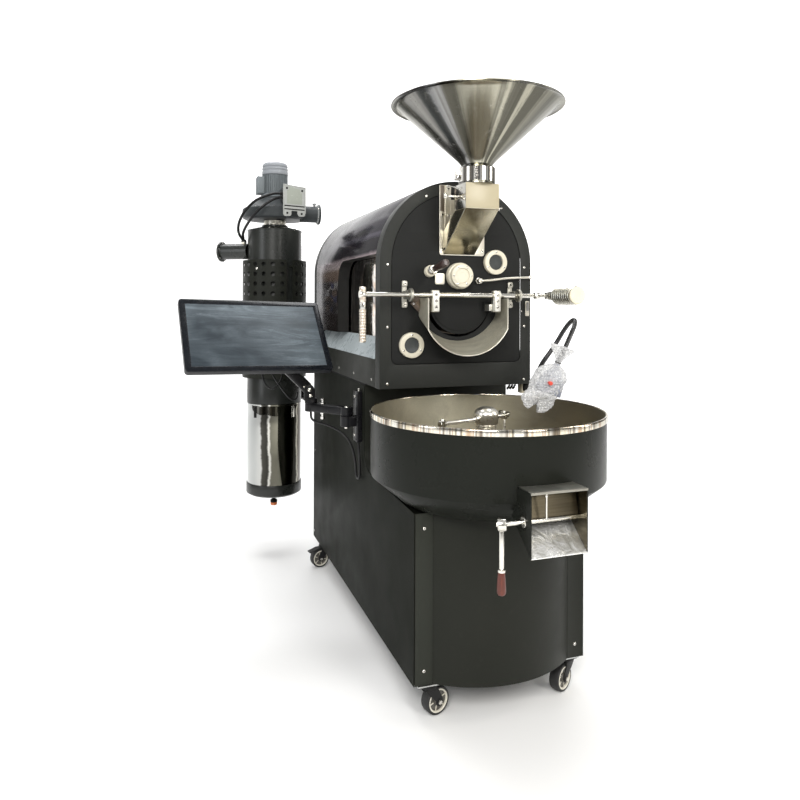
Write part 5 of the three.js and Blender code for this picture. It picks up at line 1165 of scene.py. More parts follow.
def bowl_mat():
    """brushed inside of the tray, with painted reflection and shade by angle: brighter at the back, darker towards the
    right
    """
    m = Mat("bowl_inside", (0.70, 0.66, 0.54), 0.4, 0.86)
    pa_ = m.polar(cT, 'Z', 0.159155, 1.0, 1.0)
    sx = m.n("ShaderNodeSeparateXYZ")
    m.l(pa_, sx.inputs[0])
    fa = m.math('ADD', sx.outputs["X"], 0.5)
    wob = m.noise(m.coord((3, 3, 5)), 2.0, 4, 0.6, 0.8)
    fa = m.math('ADD', fa, m.mul(m.math('SUBTRACT', wob, 0.5), 0.09))
    col = m.ramp(fa, [(0.0, (0.40, 0.37, 0.29)), (0.30, (0.42, 0.39, 0.30)), (0.47, (0.22, 0.20, 0.155)), (0.56, (0.20, 0.18, 0.14)), (0.64, (0.42, 0.39, 0.30)), (0.72, (0.66, 0.63, 0.50)), (0.79, (0.80, 0.77, 0.62)), (0.84, (0.52, 0.49, 0.39)), (0.90, (0.40, 0.37, 0.30)), (1.0, (0.40, 0.37, 0.29))])
    br = m.noise(m.polar(cT, 'Z', 60.0, 60.0, 500.0), 1.0, 3, 0.6)
    bl = m.noise(m.coord(), 14, 5, 0.65, 0.5)
    col = m.mix(m.mul(m.rng(br, 0.3, 0.7, 0, 1), 0.20), col, (0.25, 0.23, 0.18))
    col = m.mix(m.mul(m.rng(bl, 0.5, 0.75, 0, 1), 0.30), col, (0.22, 0.20, 0.16))
    m.to("Base Color", col)
    m.to("Roughness", m.rng(br, 0.25, 0.75, 0.34, 0.46))
    m.to("Normal", m.bump(br, 0.04, 0.0008))
    return m.m


M_RIM = rim_mat()
M_BOWL = bowl_mat()
# tray wall outside: dark satin coat with greenish vertical reflections, inside brushed stainless
g = G()
g.add(lathe([(266, 588), (269.4, 588), (271, 589.4), (353.6, 657.6), (355, 661), (355, 832), (352.4, 832), (352.4, 661.6), (350.6, 658.4), (267.6, 591)], (0, 110, 0), (0, 0, 1), 180), 0)
# polished rim band with rolled top
g.add(lathe([(352.6, 831.6), (357.6, 831.8), (358, 833), (358, 845), (357.4, 848), (355.4, 849.8), (353, 849.4), (352.2, 847), (352.2, 833)], (0, 110, 0), (0, 0, 1), 180), 1)
# band inside
g.add(lathe([(352.3, 847), (352.3, 662), (351.2, 662), (351.2, 847)], (0, 110, 0), (0, 0, 1), 180), 2)
# floor with its holes painted in the material as near-black dots: painted shade of the space below
g.add(lathe([(26, 658.4), (351.6, 658.4), (351.6, 661.6), (26, 661.6)], (0, 110, 0), (0, 0, 1), 180), 3)
m = Mat("perforated_floor", (0.42, 0.37, 0.30), 0.36, 1.0)
vv = m.voro(m.coord((1, 1, 0.001)), 190, rnd=0.0)
hole = m.rng(vv, 0.22, 0.28, 1.0, 0.0)
m.to("Base Color", m.mix(hole, (0.40, 0.355, 0.29), (0.006, 0.005, 0.004)))
m.to("Metallic", m.rng(hole, 0, 1, 1.0, 0.0))
m.to("Roughness", m.rng(m.noise(m.coord(), 16, 5, 0.6), 0.3, 0.7, 0.28, 0.46))
m.to("Normal", m.bump(hole, -0.5, 0.0012))
M_PERF = m.m
build("tray_piece", g, [M_TRAYC, M_RIM, M_BOWL, M_PERF], "root", "cooling_tray")

g = G()
g.add(box(-60, 60, 50, 170, 440, 537.5, 5, 3), 0)
g.add(rod((0, 110, 300), (0, 110, 442), 55, 48, c=4), 0)
for i in range(20):
    t = rad(i * 18)
    M4 = Matrix.Translation((0, 110, 0)) @ Matrix.Rotation(t, 4, 'Z')
    g.add(box(54, 58.5, -1.4, 1.4, 318, 425, 0.6, 1, M4), 0)
g.add(lathe([(0, 296), (50, 296), (56, 299), (57.6, 303), (57.6, 318), (55, 320), (0, 320)], (0, 110, 0), (0, 0, 1), 48), 0)
g.add(rod((0, 110, 536), (0, 110, 584), 14, 32, c=1), 1)
for a in (-1, 1):
    for b in (-1, 1):
        capscrew(g, (a * 48, 110 + b * 48, 537), (0, 0, 1), 5, 4, 1, 2)
build("stirrer_motor_piece", g, [M_GREY, M_SHAFT, M_SHADE_AND_BLACK], "root", "stirrer_motor")

g = G()
g.add(rod((0, 110, 584.5), (0, 110, 672), 12, 32), 0)
pf = [(0, 665), (32, 665), (33, 666), (33, 776), (31, 779), (29, 781)]
for i in range(3):
    z0 = 786 + i * 5.4
    pf += [(29.4, z0), (32.4, z0 + 1.2), (32.4, z0 + 3.4), (29.4, z0 + 4.6)]
pf += [(30, 803), (36, 805), (37, 807), (37, 832)]
pf += [(37 * math.cos(rad(t)), 833 + 24 * math.sin(rad(t))) for t in range(4, 88, 7)] + [(0, 857)]
g.add(lathe(pf, (0, 110, 0), (0, 0, 1), 72), 0)
for (a, L, h, r, b) in [(200, 190, 822, 183, 40), (17, 96, 822, 76, 140), (290, 290, 700, 262, 40), (110, 290, 700, 90, 140)]:
    c, s = math.cos(rad(a)), math.sin(rad(a))

    def P(r, z):
        return (c * r, 110 + s * r, z)
    g.add(rod(P(20, h), P(L, h), 6, 28, c=1.2), 0)
    g.add(lathe([(0, 0), (9.4, 0), (10, 1), (10, 12), (9, 13), (0, 13)], P(33, h), (c, s, 0), 32), 1)
    g.add(rod(P(r, h + 15), P(r, 676), 4.6, 24, c=1), 0)
    g.add(lathe([(0, -10), (9.4, -10), (10.4, -9), (10.4, 9), (9.4, 10), (0, 10)], P(r, h), (0, 0, 1), 32), 1)
    g.add(rod(P(r - 11, h), P(r + 11, h), 9, 28, c=1.2), 1)
    capscrew(g, tuple(Vector(P(r, h)) + Vector((s, -c, 0)) * 9.6), (s, -c, 0), 3.2, 3, 1, 2)
    M4 = Matrix.Translation(P(r, 677)) @ Matrix.Rotation(rad(a + b), 4, 'Z')
    g.add(box(-46, 46, -2, 2, -12, 12, 0.9, 2, M4), 0)
    g.add(lathe([(0, 0), (4.4, 0), (4.4, 3), (0, 3.4)], tuple(M4 @ Vector((0, -2, 3))), tuple(M4.to_3x3() @ Vector((0, -1, 0))), 16), 1)
    if a == 17:
        # short cross bar on the clamp of the right arm
        g.add(rod(tuple(Vector(P(r, h + 6)) + Vector((s, -c, 0)) * -20), tuple(Vector(P(r, h + 6)) + Vector((s, -c, 0)) * 20), 4.4, 20, c=1), 0)
        for q_ in (-14, 14):
            g.add(lathe([(4.4, -4), (8.4, -4), (8.4, 4), (4.4, 4)], tuple(Vector(P(r, h + 6)) + Vector((s, -c, 0)) * q_), (s, -c, 0), 24), 1)
build("stirrer_piece", g, [M_BOWL if False else steel("stirrer_steel", (0.90, 0.88, 0.82), 0.28, 0.10, 'X', fine=200, blotch=0.1), M_SHAFT, M_SHADE_AND_BLACK], "stirrer_body", "stirrer")

# ------------------------------------------------------------ tray chute box
CX = 82
back = [(-249, 705), (-249, 662), (-206, 622)]
outl = [(-306, 705)] + back + [(-306, 540)]
g = G()
# sides follow the tray's wall: their back edge is trimmed to its radius
for a in (-1, 1):
    x0, x1 = sorted((a * CX, a * (CX - 2)))
    yb = 110 - math.sqrt(355.6 ** 2 - CX ** 2)
    yk = 110 - math.sqrt(271 ** 2 - CX ** 2)
    pts = [(-306, 705), (yb, 705), (yb, 661), (-206, 624), (-206, 622), (-306, 540)]
    g.add(prism(pts, 'YZ', x0, x1, 0.7), 0)
# top plate with its curved back edge
topo = [(-CX, -306), (CX, -306)] + [(x_, 110 - math.sqrt(355.9 ** 2 - x_ ** 2)) for x_ in [CX - 2 * CX * i / 24 for i in range(25)]]
g.add(prism(topo, 'XY', 703, 705, 0.7), 1)
g.add(box(-CX, CX, -306.6, -304.6, 699, 705.2, 0.6), 2)
# back sheet under the tray's knee, polished sloping floor
V, F = [], []
nxx = 24
for s_ in (0, 1):
    for j in range(13):
        for i in range(nxx + 1):
            x_ = -CX + 0.4 + 2 * (CX - 0.4) * i / nxx
            u = j / 12
            V.append((x_, -306 + 100 * u, 540 + 82 * u + (2.4 if s_ else 0.2)))
N = 13 * (nxx + 1)
for s_ in (0, 1):
    for j in range(12):
        for i in range(nxx):
            a_ = s_ * N + j * (nxx + 1) + i
            F.append((a_, a_ + 1, a_ + nxx + 2, a_ + nxx + 1))
for i in range(nxx):
    for j in (0, 12):
        a_ = j * (nxx + 1) + i
        F.append((a_, a_ + 1, a_ + 1 + N, a_ + N))
for j in range(12):
    for i in (0, nxx):
        a_ = j * (nxx + 1) + i
        F.append((a_, a_ + nxx + 1, a_ + nxx + 1 + N, a_ + N))
g.add((V, F), 3)
for a in (-1, 1):
    g.add(lathe([(6.7, 0), (13, 0), (14, 1), (14, 4), (13, 5), (6.7, 5)], (a * (CX - 0.6), -272, 625), (a, 0, 0), 40), 4)
# bare stainless inside faces
for a in (-1, 1):
    x0, x1 = sorted((a * (CX - 2.05), a * (CX - 2.6)))
    g.add(prism([(-304.6, 702.8), (-247, 702.8), (-247, 664), (-209, 624.8), (-304.6, 546)], 'YZ', x0, x1, 0.1), 5)
g.add(box(-CX + 2.2, CX - 2.2, -304, -247, 702.3, 702.9, 0.1), 5)
# vertical rod with nuts from the top plate to the shaft
g.add(rod((-33, -296, 634), (-33, -296, 703), 2.6, 16), 4)
for zz in (697, 690):
    g.add(lathe([(0, 0), (5, 0), (5, 4), (0, 4)], (-33, -296, zz), (0, 0, 1), 6), 4)
mf = Mat("chute_floor", (0.80, 0.79, 0.74), 0.2, 0.72)
cr1 = mf.noise(mf.coord((1, 1, 1), (3, 1, 2)), 24, 4, 0.6, 1.4)
cr2 = mf.voro(mf.coord((1, 0.6, 0.6)), 34, 'F1', 'Distance', 1.0)
mf.to("Normal", mf.bump(mf.math('ADD', mf.mul(cr1, 0.9), mf.mul(cr2, 0.5)), 0.55, 0.006))
mf.to("Base Color", mf.mix(mf.rng(cr1, 0.40, 0.58, 0, 1), (0.66, 0.65, 0.60), (0.98, 0.98, 0.96)))
mf.to("Roughness", mf.rng(cr1, 0.3, 0.7, 0.14, 0.3))
build("chute_box_piece", g, [M_TRAYC, steel("chute_top", (0.55, 0.55, 0.50), 0.4, 0.12, 'X', fine=500, blotch=0.1), steel("chute_hem", (0.34, 0.33, 0.29), 0.4, 0.1, 'X', fine=300, blotch=0.1), mf.m, M_SHAFT, steel("chute_inside", (0.20, 0.18, 0.135), 0.3, 0.12, 'Y', fine=300, blotch=0.15)], "root", "chute_box")
g = G()
g.add(rod((-152, -272, 625), (92, -272, 625), 6, 36, c=0.8), 0)
g.add(lathe([(0, -11), (14.5, -11), (16.5, -9.4), (17, -7), (17, 7), (16.5, 9.4), (14.5, 11), (0, 11)], (-145, -272, 625), (0.94, -0.34, 0), 56), 0)
g.add(lathe([(0, 0), (6.4, 0), (6.4, 2.2), (5.4, 3), (0, 3)], tuple(Vector((-145, -272, 625)) - Vector((0.94, -0.34, 0)) * 11), (-0.94, 0.34, 0), 6), 0)
g.add(prism([(-274, 625), (-270, 625), (-251.5, 697), (-255, 697)], 'YZ', -76, 76, 0.6), 2)
g.add(rod((-145, -272, 615), (-145, -272, 505), 6, 32, c=0.6), 0)
g.add(lathe([(0, 449), (5, 449), (8.2, 450.4), (10.4, 453.4), (11.5, 458), (11.2, 470), (9.8, 492), (8.6, 502), (8.6, 505), (7.6, 507), (0, 507)], (-145, -272, 0), (0, 0, 1), 40), 1)
g.add(lathe([(6, 0), (9.2, 0), (9.6, 1), (9.6, 6), (8.6, 7), (6, 7)], (-145, -272, 506.6), (0, 0, 1), 32), 0)
build("chute_gate_piece", g, [M_SHAFT, M_REDWOOD, steel("flap_steel", (0.105, 0.09, 0.062), 0.36, 0.14, 'X', fine=300, blotch=0.2)], "tray_gate_body", "chute_gate")

# ------------------------------------------------------------ shell, jacket
def shell_piece():
    """outline of the arch sheet in (x, z): up the right side, round the arch, down the left"""
    R, t = 276.0, 3.0
    y0, y1 = 376.3, 1290.0
    z0 = 1057.0
    ny, na, nz = 110, 96, 34
    outl = []
    for i in range(nz):
        outl.append((R, z0 + (1307 - z0) * i / nz))
    outl += arc(0, 1307, R, 0, 180, na)
    for i in range(1, nz + 1):
        outl.append((-R, 1307 - (1307 - z0) * i / nz))
    return outl


def rec_path(g_, n=20, zlow=1052):
    """window outline in (y, z): up the rear edge, round the corner, forward along the top"""
    return [(897 - g_, zlow)] + [(897 - g_, zlow + (1241 - zlow) * i / 6) for i in range(1, 6)] + arc(897 - 95, 1336 - 95, 95 - g_, 0, 90, n) + [(376.3 - 5, 1336 - g_)]


R = 276.0
g = G()
g.add(prism([(R, 1057)] + arc(0, 1307, R, 0, 180, 128) + [(-R, 1057), (-(R - 3), 1057)] + arc(0, 1307, R - 3, 180, 0, 128) + [(R - 3, 1057)], 'XZ', 376.6, 1290, 0.8), 0)
shell = raw("shell_raw", g)
cutp = [(370, 1040), (897, 1040), (897, 1241)] + arc(897 - 95, 1336 - 95, 95, 0, 90, 24) + [(370, 1336)]
cg = G()
cg.add(prism(cutp, 'YZ', -R - 20, -R + 60, 0.0))
cg.add(prism(cutp, 'YZ', R - 60, R + 20, 0.0))
cutter = raw("cut_raw", cg)
shell.data.materials.append(M_SHELL)
boolean(shell, cutter)
shell.name = "shell_piece"
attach(shell, "root")
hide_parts("drum_shell")
md = shell.modifiers.new("edges", 'BEVEL')
md.width = 0.0011
md.segments = 3
md.limit_method = 'ANGLE'
md.angle_limit = rad(40)
md.harden_normals = True

M_RECW = coat("recess_wall", (0.012, 0.012, 0.012), (0.018, 0.018, 0.017), (0.4, 0.55), 1500, 0.1, 0.15)
M_RECT = coat("recess_return", (0.14, 0.16, 0.145), (0.18, 0.20, 0.18), (0.35, 0.5), 1500, 0.08, 0.15)
g = G()
for a in (-1, 1):
    # the window's outline sits on the shell's curve: outer edge follows it, inner edge is 47 mm in
    outer_p = rec_path(0)
    V, F = [], []
    for (yy, zz) in outer_p:
        yy = max(yy, 376.8)
        zc_ = max(zz, 1057)
        xo = math.sqrt(max(0, (R - 0.6) ** 2 - max(0, zc_ - 1307) ** 2))
        for (x_, oy, oz) in ((xo, 0, 0), (R - 47, 0, 0), (R - 47, 3, 3), (xo - 1.2, 3, 3)):
            # thickness to the outside of the window
            dy, dz = (oy, 0) if zz < 1241 else (oy * max(0, (yy - 802) / 95), oz * max(0.0, (zz - 1241) / 95))
            V.append((a * x_, yy + dy, zc_ + dz))
    k_ = len(outer_p)
    mats_ = []
    for i in range(k_ - 1):
        for j in range(4):
            j2 = (j + 1) % 4
            F.append((i * 4 + j, i * 4 + j2, (i + 1) * 4 + j2, (i + 1) * 4 + j))
    F.append((0, 1, 2, 3))
    F.append(tuple((k_ - 1) * 4 + j for j in range(4)))
    g.add((V, F), 0)
    # foot lip under the plain rear part
    x0, x1 = sorted((a * (R - 1), a * (R - 47)))
    g.add(box(x0, x1, 897, 1289, 1057, 1059, 0.4), 0)
build("window_frame_piece", g, [M_RECW, M_RECT], "root", (), angle=45)

# inner jacket: mirror sheet seen through the windows; its base colour is painted reflection in dark, white and brown
# patches
g = G()
g.add(prism([(226, 1000)] + arc(0, 1307, 226, 0, 180, 128) + [(-226, 1000), (-224, 1000)] + arc(0, 1307, 224, 180, 0, 128) + [(224, 1000)], 'XZ', 346, 1000, 0.6), 0)
mj = Mat("jacket_mirror", (0.30, 0.29, 0.28), 0.06, 1.0)
vj = mj.coord()
mj.to("Roughness", mj.rng(mj.noise(vj, 9, 5, 0.65, 0.5), 0.4, 0.8, 0.03, 0.14))
mj.to("Base Color", mj.ramp(mj.noise(mj.coord((1, 2.2, 1.1)), 3.4, 4, 0.62, 1.2), [(0.30, (0.12, 0.11, 0.115)), (0.42, (0.34, 0.31, 0.29)), (0.50, (0.90, 0.86, 0.80)), (0.56, (0.62, 0.48, 0.36)), (0.61, (0.22, 0.20, 0.20)), (0.70, (0.85, 0.84, 0.82))]))
mj.to("Normal", mj.bump(mj.noise(mj.coord((1.2, 0.6, 2.2)), 4, 2, 0.4), 0.16, 0.03))
build("jacket_piece", g, [mj.m], "root", "inner_jacket")

g = G()
M_CAP = coat("rear_cap", (0.05, 0.052, 0.052), (0.065, 0.067, 0.066), (0.3, 0.42), 1300, 0.08)
g.add(prism(arch(276, 987.4), 'XZ', 1333, 1336, 1.2, holes=[circle(-120, 1140, 52, 48)]), 0)
g.add(prism([(276, 987.4)] + arc(0, 1307, 276, 0, 180, 96) + [(-276, 987.4), (-273.2, 987.4)] + arc(0, 1307, 273.2, 180, 0, 96) + [(273.2, 987.4)], 'XZ', 1292.4, 1335, 1.1), 0)
for t in range(0, 181, 30):
    screw(g, (258 * math.cos(rad(t)), 1336, 1307 + 258 * math.sin(rad(t))), (0, 1, 0), 4.6, 1.8, 1, 2)
for zz in (1020, 1120, 1220):
    for a in (-1, 1):
        screw(g, (a * 258, 1336, zz), (0, 1, 0), 4.6, 1.8, 1, 2)
build("rear_cap_piece", g, [M_CAP, M_SCREW, M_SHADE_AND_BLACK], "root", "rear_plate")

# ------------------------------------------------------- drum, drive, burner
g = G()
DZ = 1265
g.add(lathe([(196, -352), (196, -850), (30, -850), (30, -845), (192, -845), (192, -352)], (0, 0, DZ), (0, -1, 0), 96), 0)
g.add(rod((0, 345.5, DZ), (0, 1180, DZ), 14, 32, c=1.5), 1)
g.add(lathe([(13, -835), (34, -835), (34, -860), (13, -860)], (0, 0, DZ), (0, -1, 0), 40), 0)


def sprocket(cx, cy0, cy1, cz, r, teeth, bore, mat):
    pts = []
    for i in range(teeth):
        a = 360.0 * i / teeth
        for (f, rr) in ((0.0, r - 5.5), (0.16, r - 6), (0.36, r - 1.4), (0.46, r), (0.54, r), (0.64, r - 1.4), (0.84, r - 6)):
            t = rad(a + 360.0 / teeth * f)
            pts.append((cx + rr * math.cos(t), cz + rr * math.sin(t)))
    g.add(prism(pts, 'XZ', cy0, cy1, 1.0, holes=[circle(cx, cz, bore, 32)]), mat)


sprocket(0, 1120, 1128, DZ, 70, 35, 13.5, 1)
for a in range(4):
    M4 = Matrix.Translation((0, 0, DZ)) @ Matrix.Rotation(rad(90 * a), 4, 'Y')
    g.add(box(168, 194, 380, 840, -2, 2, 0.8, 2, M4), 0)
    g.add(box(10, 193, 600, 606, -12, 12, 1.5, 2, M4), 0)
build("drum_piece", g, [steel("drum_iron", (0.22, 0.19, 0.16), 0.5, 0.15, 'Y', T((0, 0, DZ)), 'round', 200, 0.08, blotch=0.2), M_SHAFT], "drum_body", "drum")
g = G()
sprocket(110, 1120, 1128, 960, 32, 16, 6, 0)
g.add(rod((110, 1119.7, 960), (110, 1128.2, 960), 12, 32, c=1), 0)
build("motor_sprocket_piece", g, [M_SHAFT], "motor_sprocket_body", "motor_sprocket")
# roller chain round both sprockets
p0, p1, r0, r1 = Vector((0, 0, DZ)), Vector((110, 0, 960)), 67.5, 29.5
dvec = p1 - p0
dist = dvec.length
base = math.atan2(dvec.z, dvec.x)
off = math.acos((r0 - r1) / dist)
path = []
a_s, a_e = base + off, base + 2 * math.pi - off
for i in range(80):
    t = a_s + (a_e - a_s) * i / 79
    path.append(Vector((p0.x + r0 * math.cos(t), 1124, p0.z + r0 * math.sin(t))))
for i in range(40):
    t = base - off + (2 * off) * i / 39
    path.append(Vector((p1.x + r1 * math.cos(t), 1124, p1.z + r1 * math.sin(t))))
path.append(path[0].copy())
cum = [0]
for i in range(len(path) - 1):
    cum.append(cum[-1] + (path[i + 1] - path[i]).length)
tot = cum[-1]
N = int(tot / 9.525)
N -= N % 2


def along(s):
    s = s % tot
    for i in range(len(path) - 1):
        if cum[i + 1] >= s:
            f = (s - cum[i]) / max(1e-9, cum[i + 1] - cum[i])
            return path[i].lerp(path[i + 1], f)
    return path[-1]


g = G()
for i in range(N):
    a_, b_ = along(tot * i / N), along(tot * (i + 1) / N)
    g.add(rod(a_ + Vector((0, -3.0, 0)), a_ + Vector((0, 3.0, 0)), 3.1, 10), 0)
    d_ = (b_ - a_).normalized()
    up_ = d_.cross(Vector((0, 1, 0)))
    o_ = 3.4 if i % 2 else 4.6
    for sg_ in (-1, 1):
        M4 = Matrix.Identity(4)
        for r_ in range(3):
            M4[r_][0], M4[r_][1], M4[r_][2], M4[r_][3] = d_[r_], 0, up_[r_], a_[r_]
        M4[1][1] = 1
        L_ = (b_ - a_).length
        M4[1][3] = 1124 + sg_ * o_
        g.add(box(-3.6, L_ + 3.6, -0.5, 0.5, -3.9, 3.9, 0.45, 1, M4), 1)
build("chain_piece", g, [M_SHAFT, steel("chain_plate", (0.25, 0.24, 0.22), 0.4, 0.1, 'X', fine=50)], "root", (), angle=30)

g = G()
g.add(box(50, 170, 1140, 1260, 895.8, 1015, 5, 3), 0)
g.add(rod((-70, 1200, 955), (52, 1200, 955), 50, 48, c=3), 0)
for i in range(20):
    M4 = Matrix.Translation((0, 1200, 955)) @ Matrix.Rotation(rad(i * 18), 4, 'X')
    g.add(box(-58, 40, -1.3, 1.3, 49, 53, 0.5, 1, M4), 0)
g.add(rod((110, 1128.4, 960), (110, 1142, 960), 12, 32, c=1), 1)
build("drive_motor_piece", g, [M_GREY, M_SHAFT], "root", "drive_motor")
g = G()
for x_ in (-110, -37, 37, 110):
    g.add(rod((x_, 430, 960), (x_, 880, 960), 15, 32, c=1.5), 0)
    # near-black dots along each tube: painted shade in the burner ports
    for i in range(34):
        for s_ in (-1, 1):
            g.add(lathe([(0, 0), (1.7, 0), (1.7, 0.3), (0, 0.3)], (x_ + s_ * 7.3, 445 + i * 12.5, 960 + 13.2), (s_ * 0.48, 0, 0.87), 8), 1)
g.add(box(-135, 135, 870, 905, 945, 975, 2), 0)
g.add(box(-135, 135, 430, 440, 940, 952, 1), 0)
for a in (-1, 1):
    x0, x1 = sorted((a * 135, a * 125))
    g.add(box(x0, x1, 430, 905, 895.6, 952, 1), 0)
g.add(rod((0, 900, 960), (0, 1000, 960), 13, 32, c=1), 0)
build("burner_piece", g, [coat("burner_iron", (0.05, 0.045, 0.04), (0.09, 0.08, 0.07), (0.5, 0.7), 400, 0.4), M_SHADE_AND_BLACK], "root", "burner")

# ---------------------------------------------------------------- cyclone
CX_, CY_ = -437, 1480
cC = T((CX_, CY_, 1000))
m = Mat("cyclone_coat", (0.012, 0.013, 0.012), 0.3)
v = m.coord()
m.to("Base Color", m.mix(m.noise(v, 5, 3, 0.5), (0.014, 0.0155, 0.014), (0.022, 0.024, 0.0215)))
m.to("Roughness", m.rng(m.noise(v, 9, 5, 0.6), 0.3, 0.7, 0.24, 0.34))
m.to("Normal", m.bump(m.noise(v, 900, 2, 0.5), 0.05, 0.0005))
m.i("Specular IOR Level", 0.42)
M_CYC = m.m
g = G()
sh = [(112, 707.5), (125, 707.6), (126, 708.6), (126, 768), (125.4, 770), (125.4, 1508), (127, 1509), (127, 1513.4), (125, 1514.6), (62, 1530), (61, 1532), (61, 1536), (60, 1537), (49.4, 1538), (49, 1539), (49, 1562.5), (45, 1562.5), (45, 1532), (58, 1527), (122, 1510), (122, 800), (112, 790)]
g.add(lathe(sh, (CX_, CY_, 0), (0, 0, 1), 128), 0)
# polished band round the neck with its lug, screws of the cover
g.add(lathe([(48.6, 1540), (50.4, 1540.6), (50.4, 1560.4), (48.6, 1561.6)], (CX_, CY_, 0), (0, 0, 1), 96), 2)
for t0, mt in ((-62, 2), (-48, 2)):
    c, s = math.cos(rad(t0)), math.sin(rad(t0))
    g.add(rod((CX_ + 51 * c, CY_ + 51 * s, 1541), (CX_ + 51 * c, CY_ + 51 * s, 1560), 3.4, 16, c=1), 2)
for i in range(8):
    t = rad(i * 45 + 10)
    g.add(lathe([(0, 0), (4.4, 0), (4.4, 3), (3, 4), (0, 4)], (CX_ + 56 * math.cos(t), CY_ + 56 * math.sin(t), 1537), (0, 0, 1), 6), 1)
for aa in (-112, -70, -30, 160):
    t = rad(aa)
    g.add(lathe([(0, 0), (4.6, 0), (4.2, 1.6), (0, 2.2)], (CX_ + 100 * math.cos(t), CY_ + 100 * math.sin(t), 1520.6), (0.23 * math.cos(t), 0.23 * math.sin(t), 0.97), 20), 1)
# inlet pipe with flange, cable gland
IA, ID = Vector((-520, 1465, 1414)), Vector((-0.8342, 0.5514, 0)).normalized()
g.add(lathe([(33, 44), (36.5, 44), (36.5, 175), (38.4, 177.4), (46, 178), (47, 179), (47, 187), (46, 188), (33, 188)], IA, ID, 72), 0)
g.add(lathe([(33.4, 186), (46.2, 186), (46.6, 187), (46.2, 188.4), (33.4, 188.4)], IA, ID, 72), 2)
bx, by, _ = basis(ID)
for i in range(6):
    t = rad(i * 60 + 15)
    g.add(lathe([(0, 0), (3.6, 0), (3.6, 2.6), (0, 3)], IA + ID * 178 + (bx * math.cos(t) + by * math.sin(t)) * 42, -ID, 6), 1)
gl_ = IA + ID * 70
g.add(lathe([(0, 1440), (12.6, 1440), (12.6, 1449), (11, 1450), (11, 1452), (12.8, 1452.6), (12.8, 1458), (0, 1458)], (gl_.x, gl_.y, 0), (0, 0, 1), 6), 2)
# tapered boot where the two leads leave the gland
g.add(lathe([(0, 1458.2), (12.4, 1458.2), (12.6, 1459), (12, 1462), (10.6, 1468), (9.6, 1470), (0, 1470)], (gl_.x, gl_.y, 0), (0, 0, 1), 40), 3)
build("cyclone_piece", g, [M_CYC, M_SCREW, M_PALE, M_CABLE], "root", "cyclone_body")

# perforated guard with columns of round holes, one to each cell, and an open joint
GA0, GA1 = -65, -77 + 360
rows = [1350 - i * 45 for i in range(13)]
seg = []


def guard():
    """a sleeve with round holes: flat pattern of angle and height, bent round"""
    Rr = 148.0
    V, F, Ms = [], [], []
    a0, a1 = GA0, GA1
    ncol = int((a1 - a0) / 16.2)
    da = (a1 - a0) / ncol
    cell_h = 45.0
    nrow = 12
    zt = 1370.0
    zb = 827.0
    kk = 16
    hr = 10.5
    def pt(s, z, r):
        t = rad(s)
        return (CX_ + r * math.cos(t), CY_ + r * math.sin(t), z)
    vmap = {}
    def vid(s, z, r):
        key = (round(s, 4), round(z, 3), r)
        if key not in vmap:
            vmap[key] = len(V)
            V.append(pt(s, z, r))
        return vmap[key]
    mmd = math.degrees(1 / Rr)
    for c_ in range(ncol):
        s0, s1 = a0 + c_ * da, a0 + (c_ + 1) * da
        sm = (s0 + s1) / 2
        for r_ in range(nrow):
            z1_ = zt - 0.0 - r_ * cell_h
            z0_ = z1_ - cell_h
            if r_ == nrow - 1:
                z0_ = zb
            zm = z1_ - 20
            # cell border: 16 points going round, matched to the hole's
            bd = [(s1, zm), (s1, (zm + z1_) / 2), (s1, z1_), ((sm + s1) / 2, z1_), (sm, z1_), ((sm + s0) / 2, z1_), (s0, z1_), (s0, (zm + z1_) / 2), (s0, zm), (s0, (zm + z0_) / 2), (s0, z0_), ((sm + s0) / 2, z0_), (sm, z0_), ((sm + s1) / 2, z0_), (s1, z0_), (s1, (zm + z0_) / 2)]
            ho = [(sm + hr * mmd * math.cos(2 * math.pi * i / kk), zm + hr * math.sin(2 * math.pi * i / kk)) for i in range(kk)]
            for rr, flip in ((148.0, 0), (146.0, 1)):
                for i in range(kk):
                    i2 = (i + 1) % kk
                    q = [vid(*bd[i], rr), vid(*bd[i2], rr), vid(*ho[i2], rr), vid(*ho[i], rr)]
                    F.append(tuple(q if not flip else q[::-1]))
            for i in range(kk):
                i2 = (i + 1) % kk
                F.append((vid(*ho[i], 148.0), vid(*ho[i2], 148.0), vid(*ho[i2], 146.0), vid(*ho[i], 146.0)))
    # edges at the top and bottom and at the open joint
    zlast = zb
    for c_ in range(ncol):
        s0, s1 = a0 + c_ * da, a0 + (c_ + 1) * da
        sm = (s0 + s1) / 2
        for z_ in (zt, zlast):
            ss = [s0, (s0 + sm) / 2, sm, (sm + s1) / 2, s1]
            for i in range(4):
                F.append((vid(ss[i], z_, 148.0), vid(ss[i + 1], z_, 148.0), vid(ss[i + 1], z_, 146.0), vid(ss[i], z_, 146.0)))
    for s_ in (a0, a1):
        for r_ in range(nrow):
            z1_ = zt - r_ * cell_h
            z0_ = zb if r_ == nrow - 1 else z1_ - cell_h
            zm = z1_ - 20
            zz = [z1_, (zm + z1_) / 2, zm, (zm + z0_) / 2, z0_]
            for i in range(4):
                F.append((vid(s_, zz[i], 148.0), vid(s_, zz[i + 1], 148.0), vid(s_, zz[i + 1], 146.0), vid(s_, zz[i], 146.0)))
    return (V, F), zlast


vf, zl = guard()
g = G()
g.add(vf, 0)
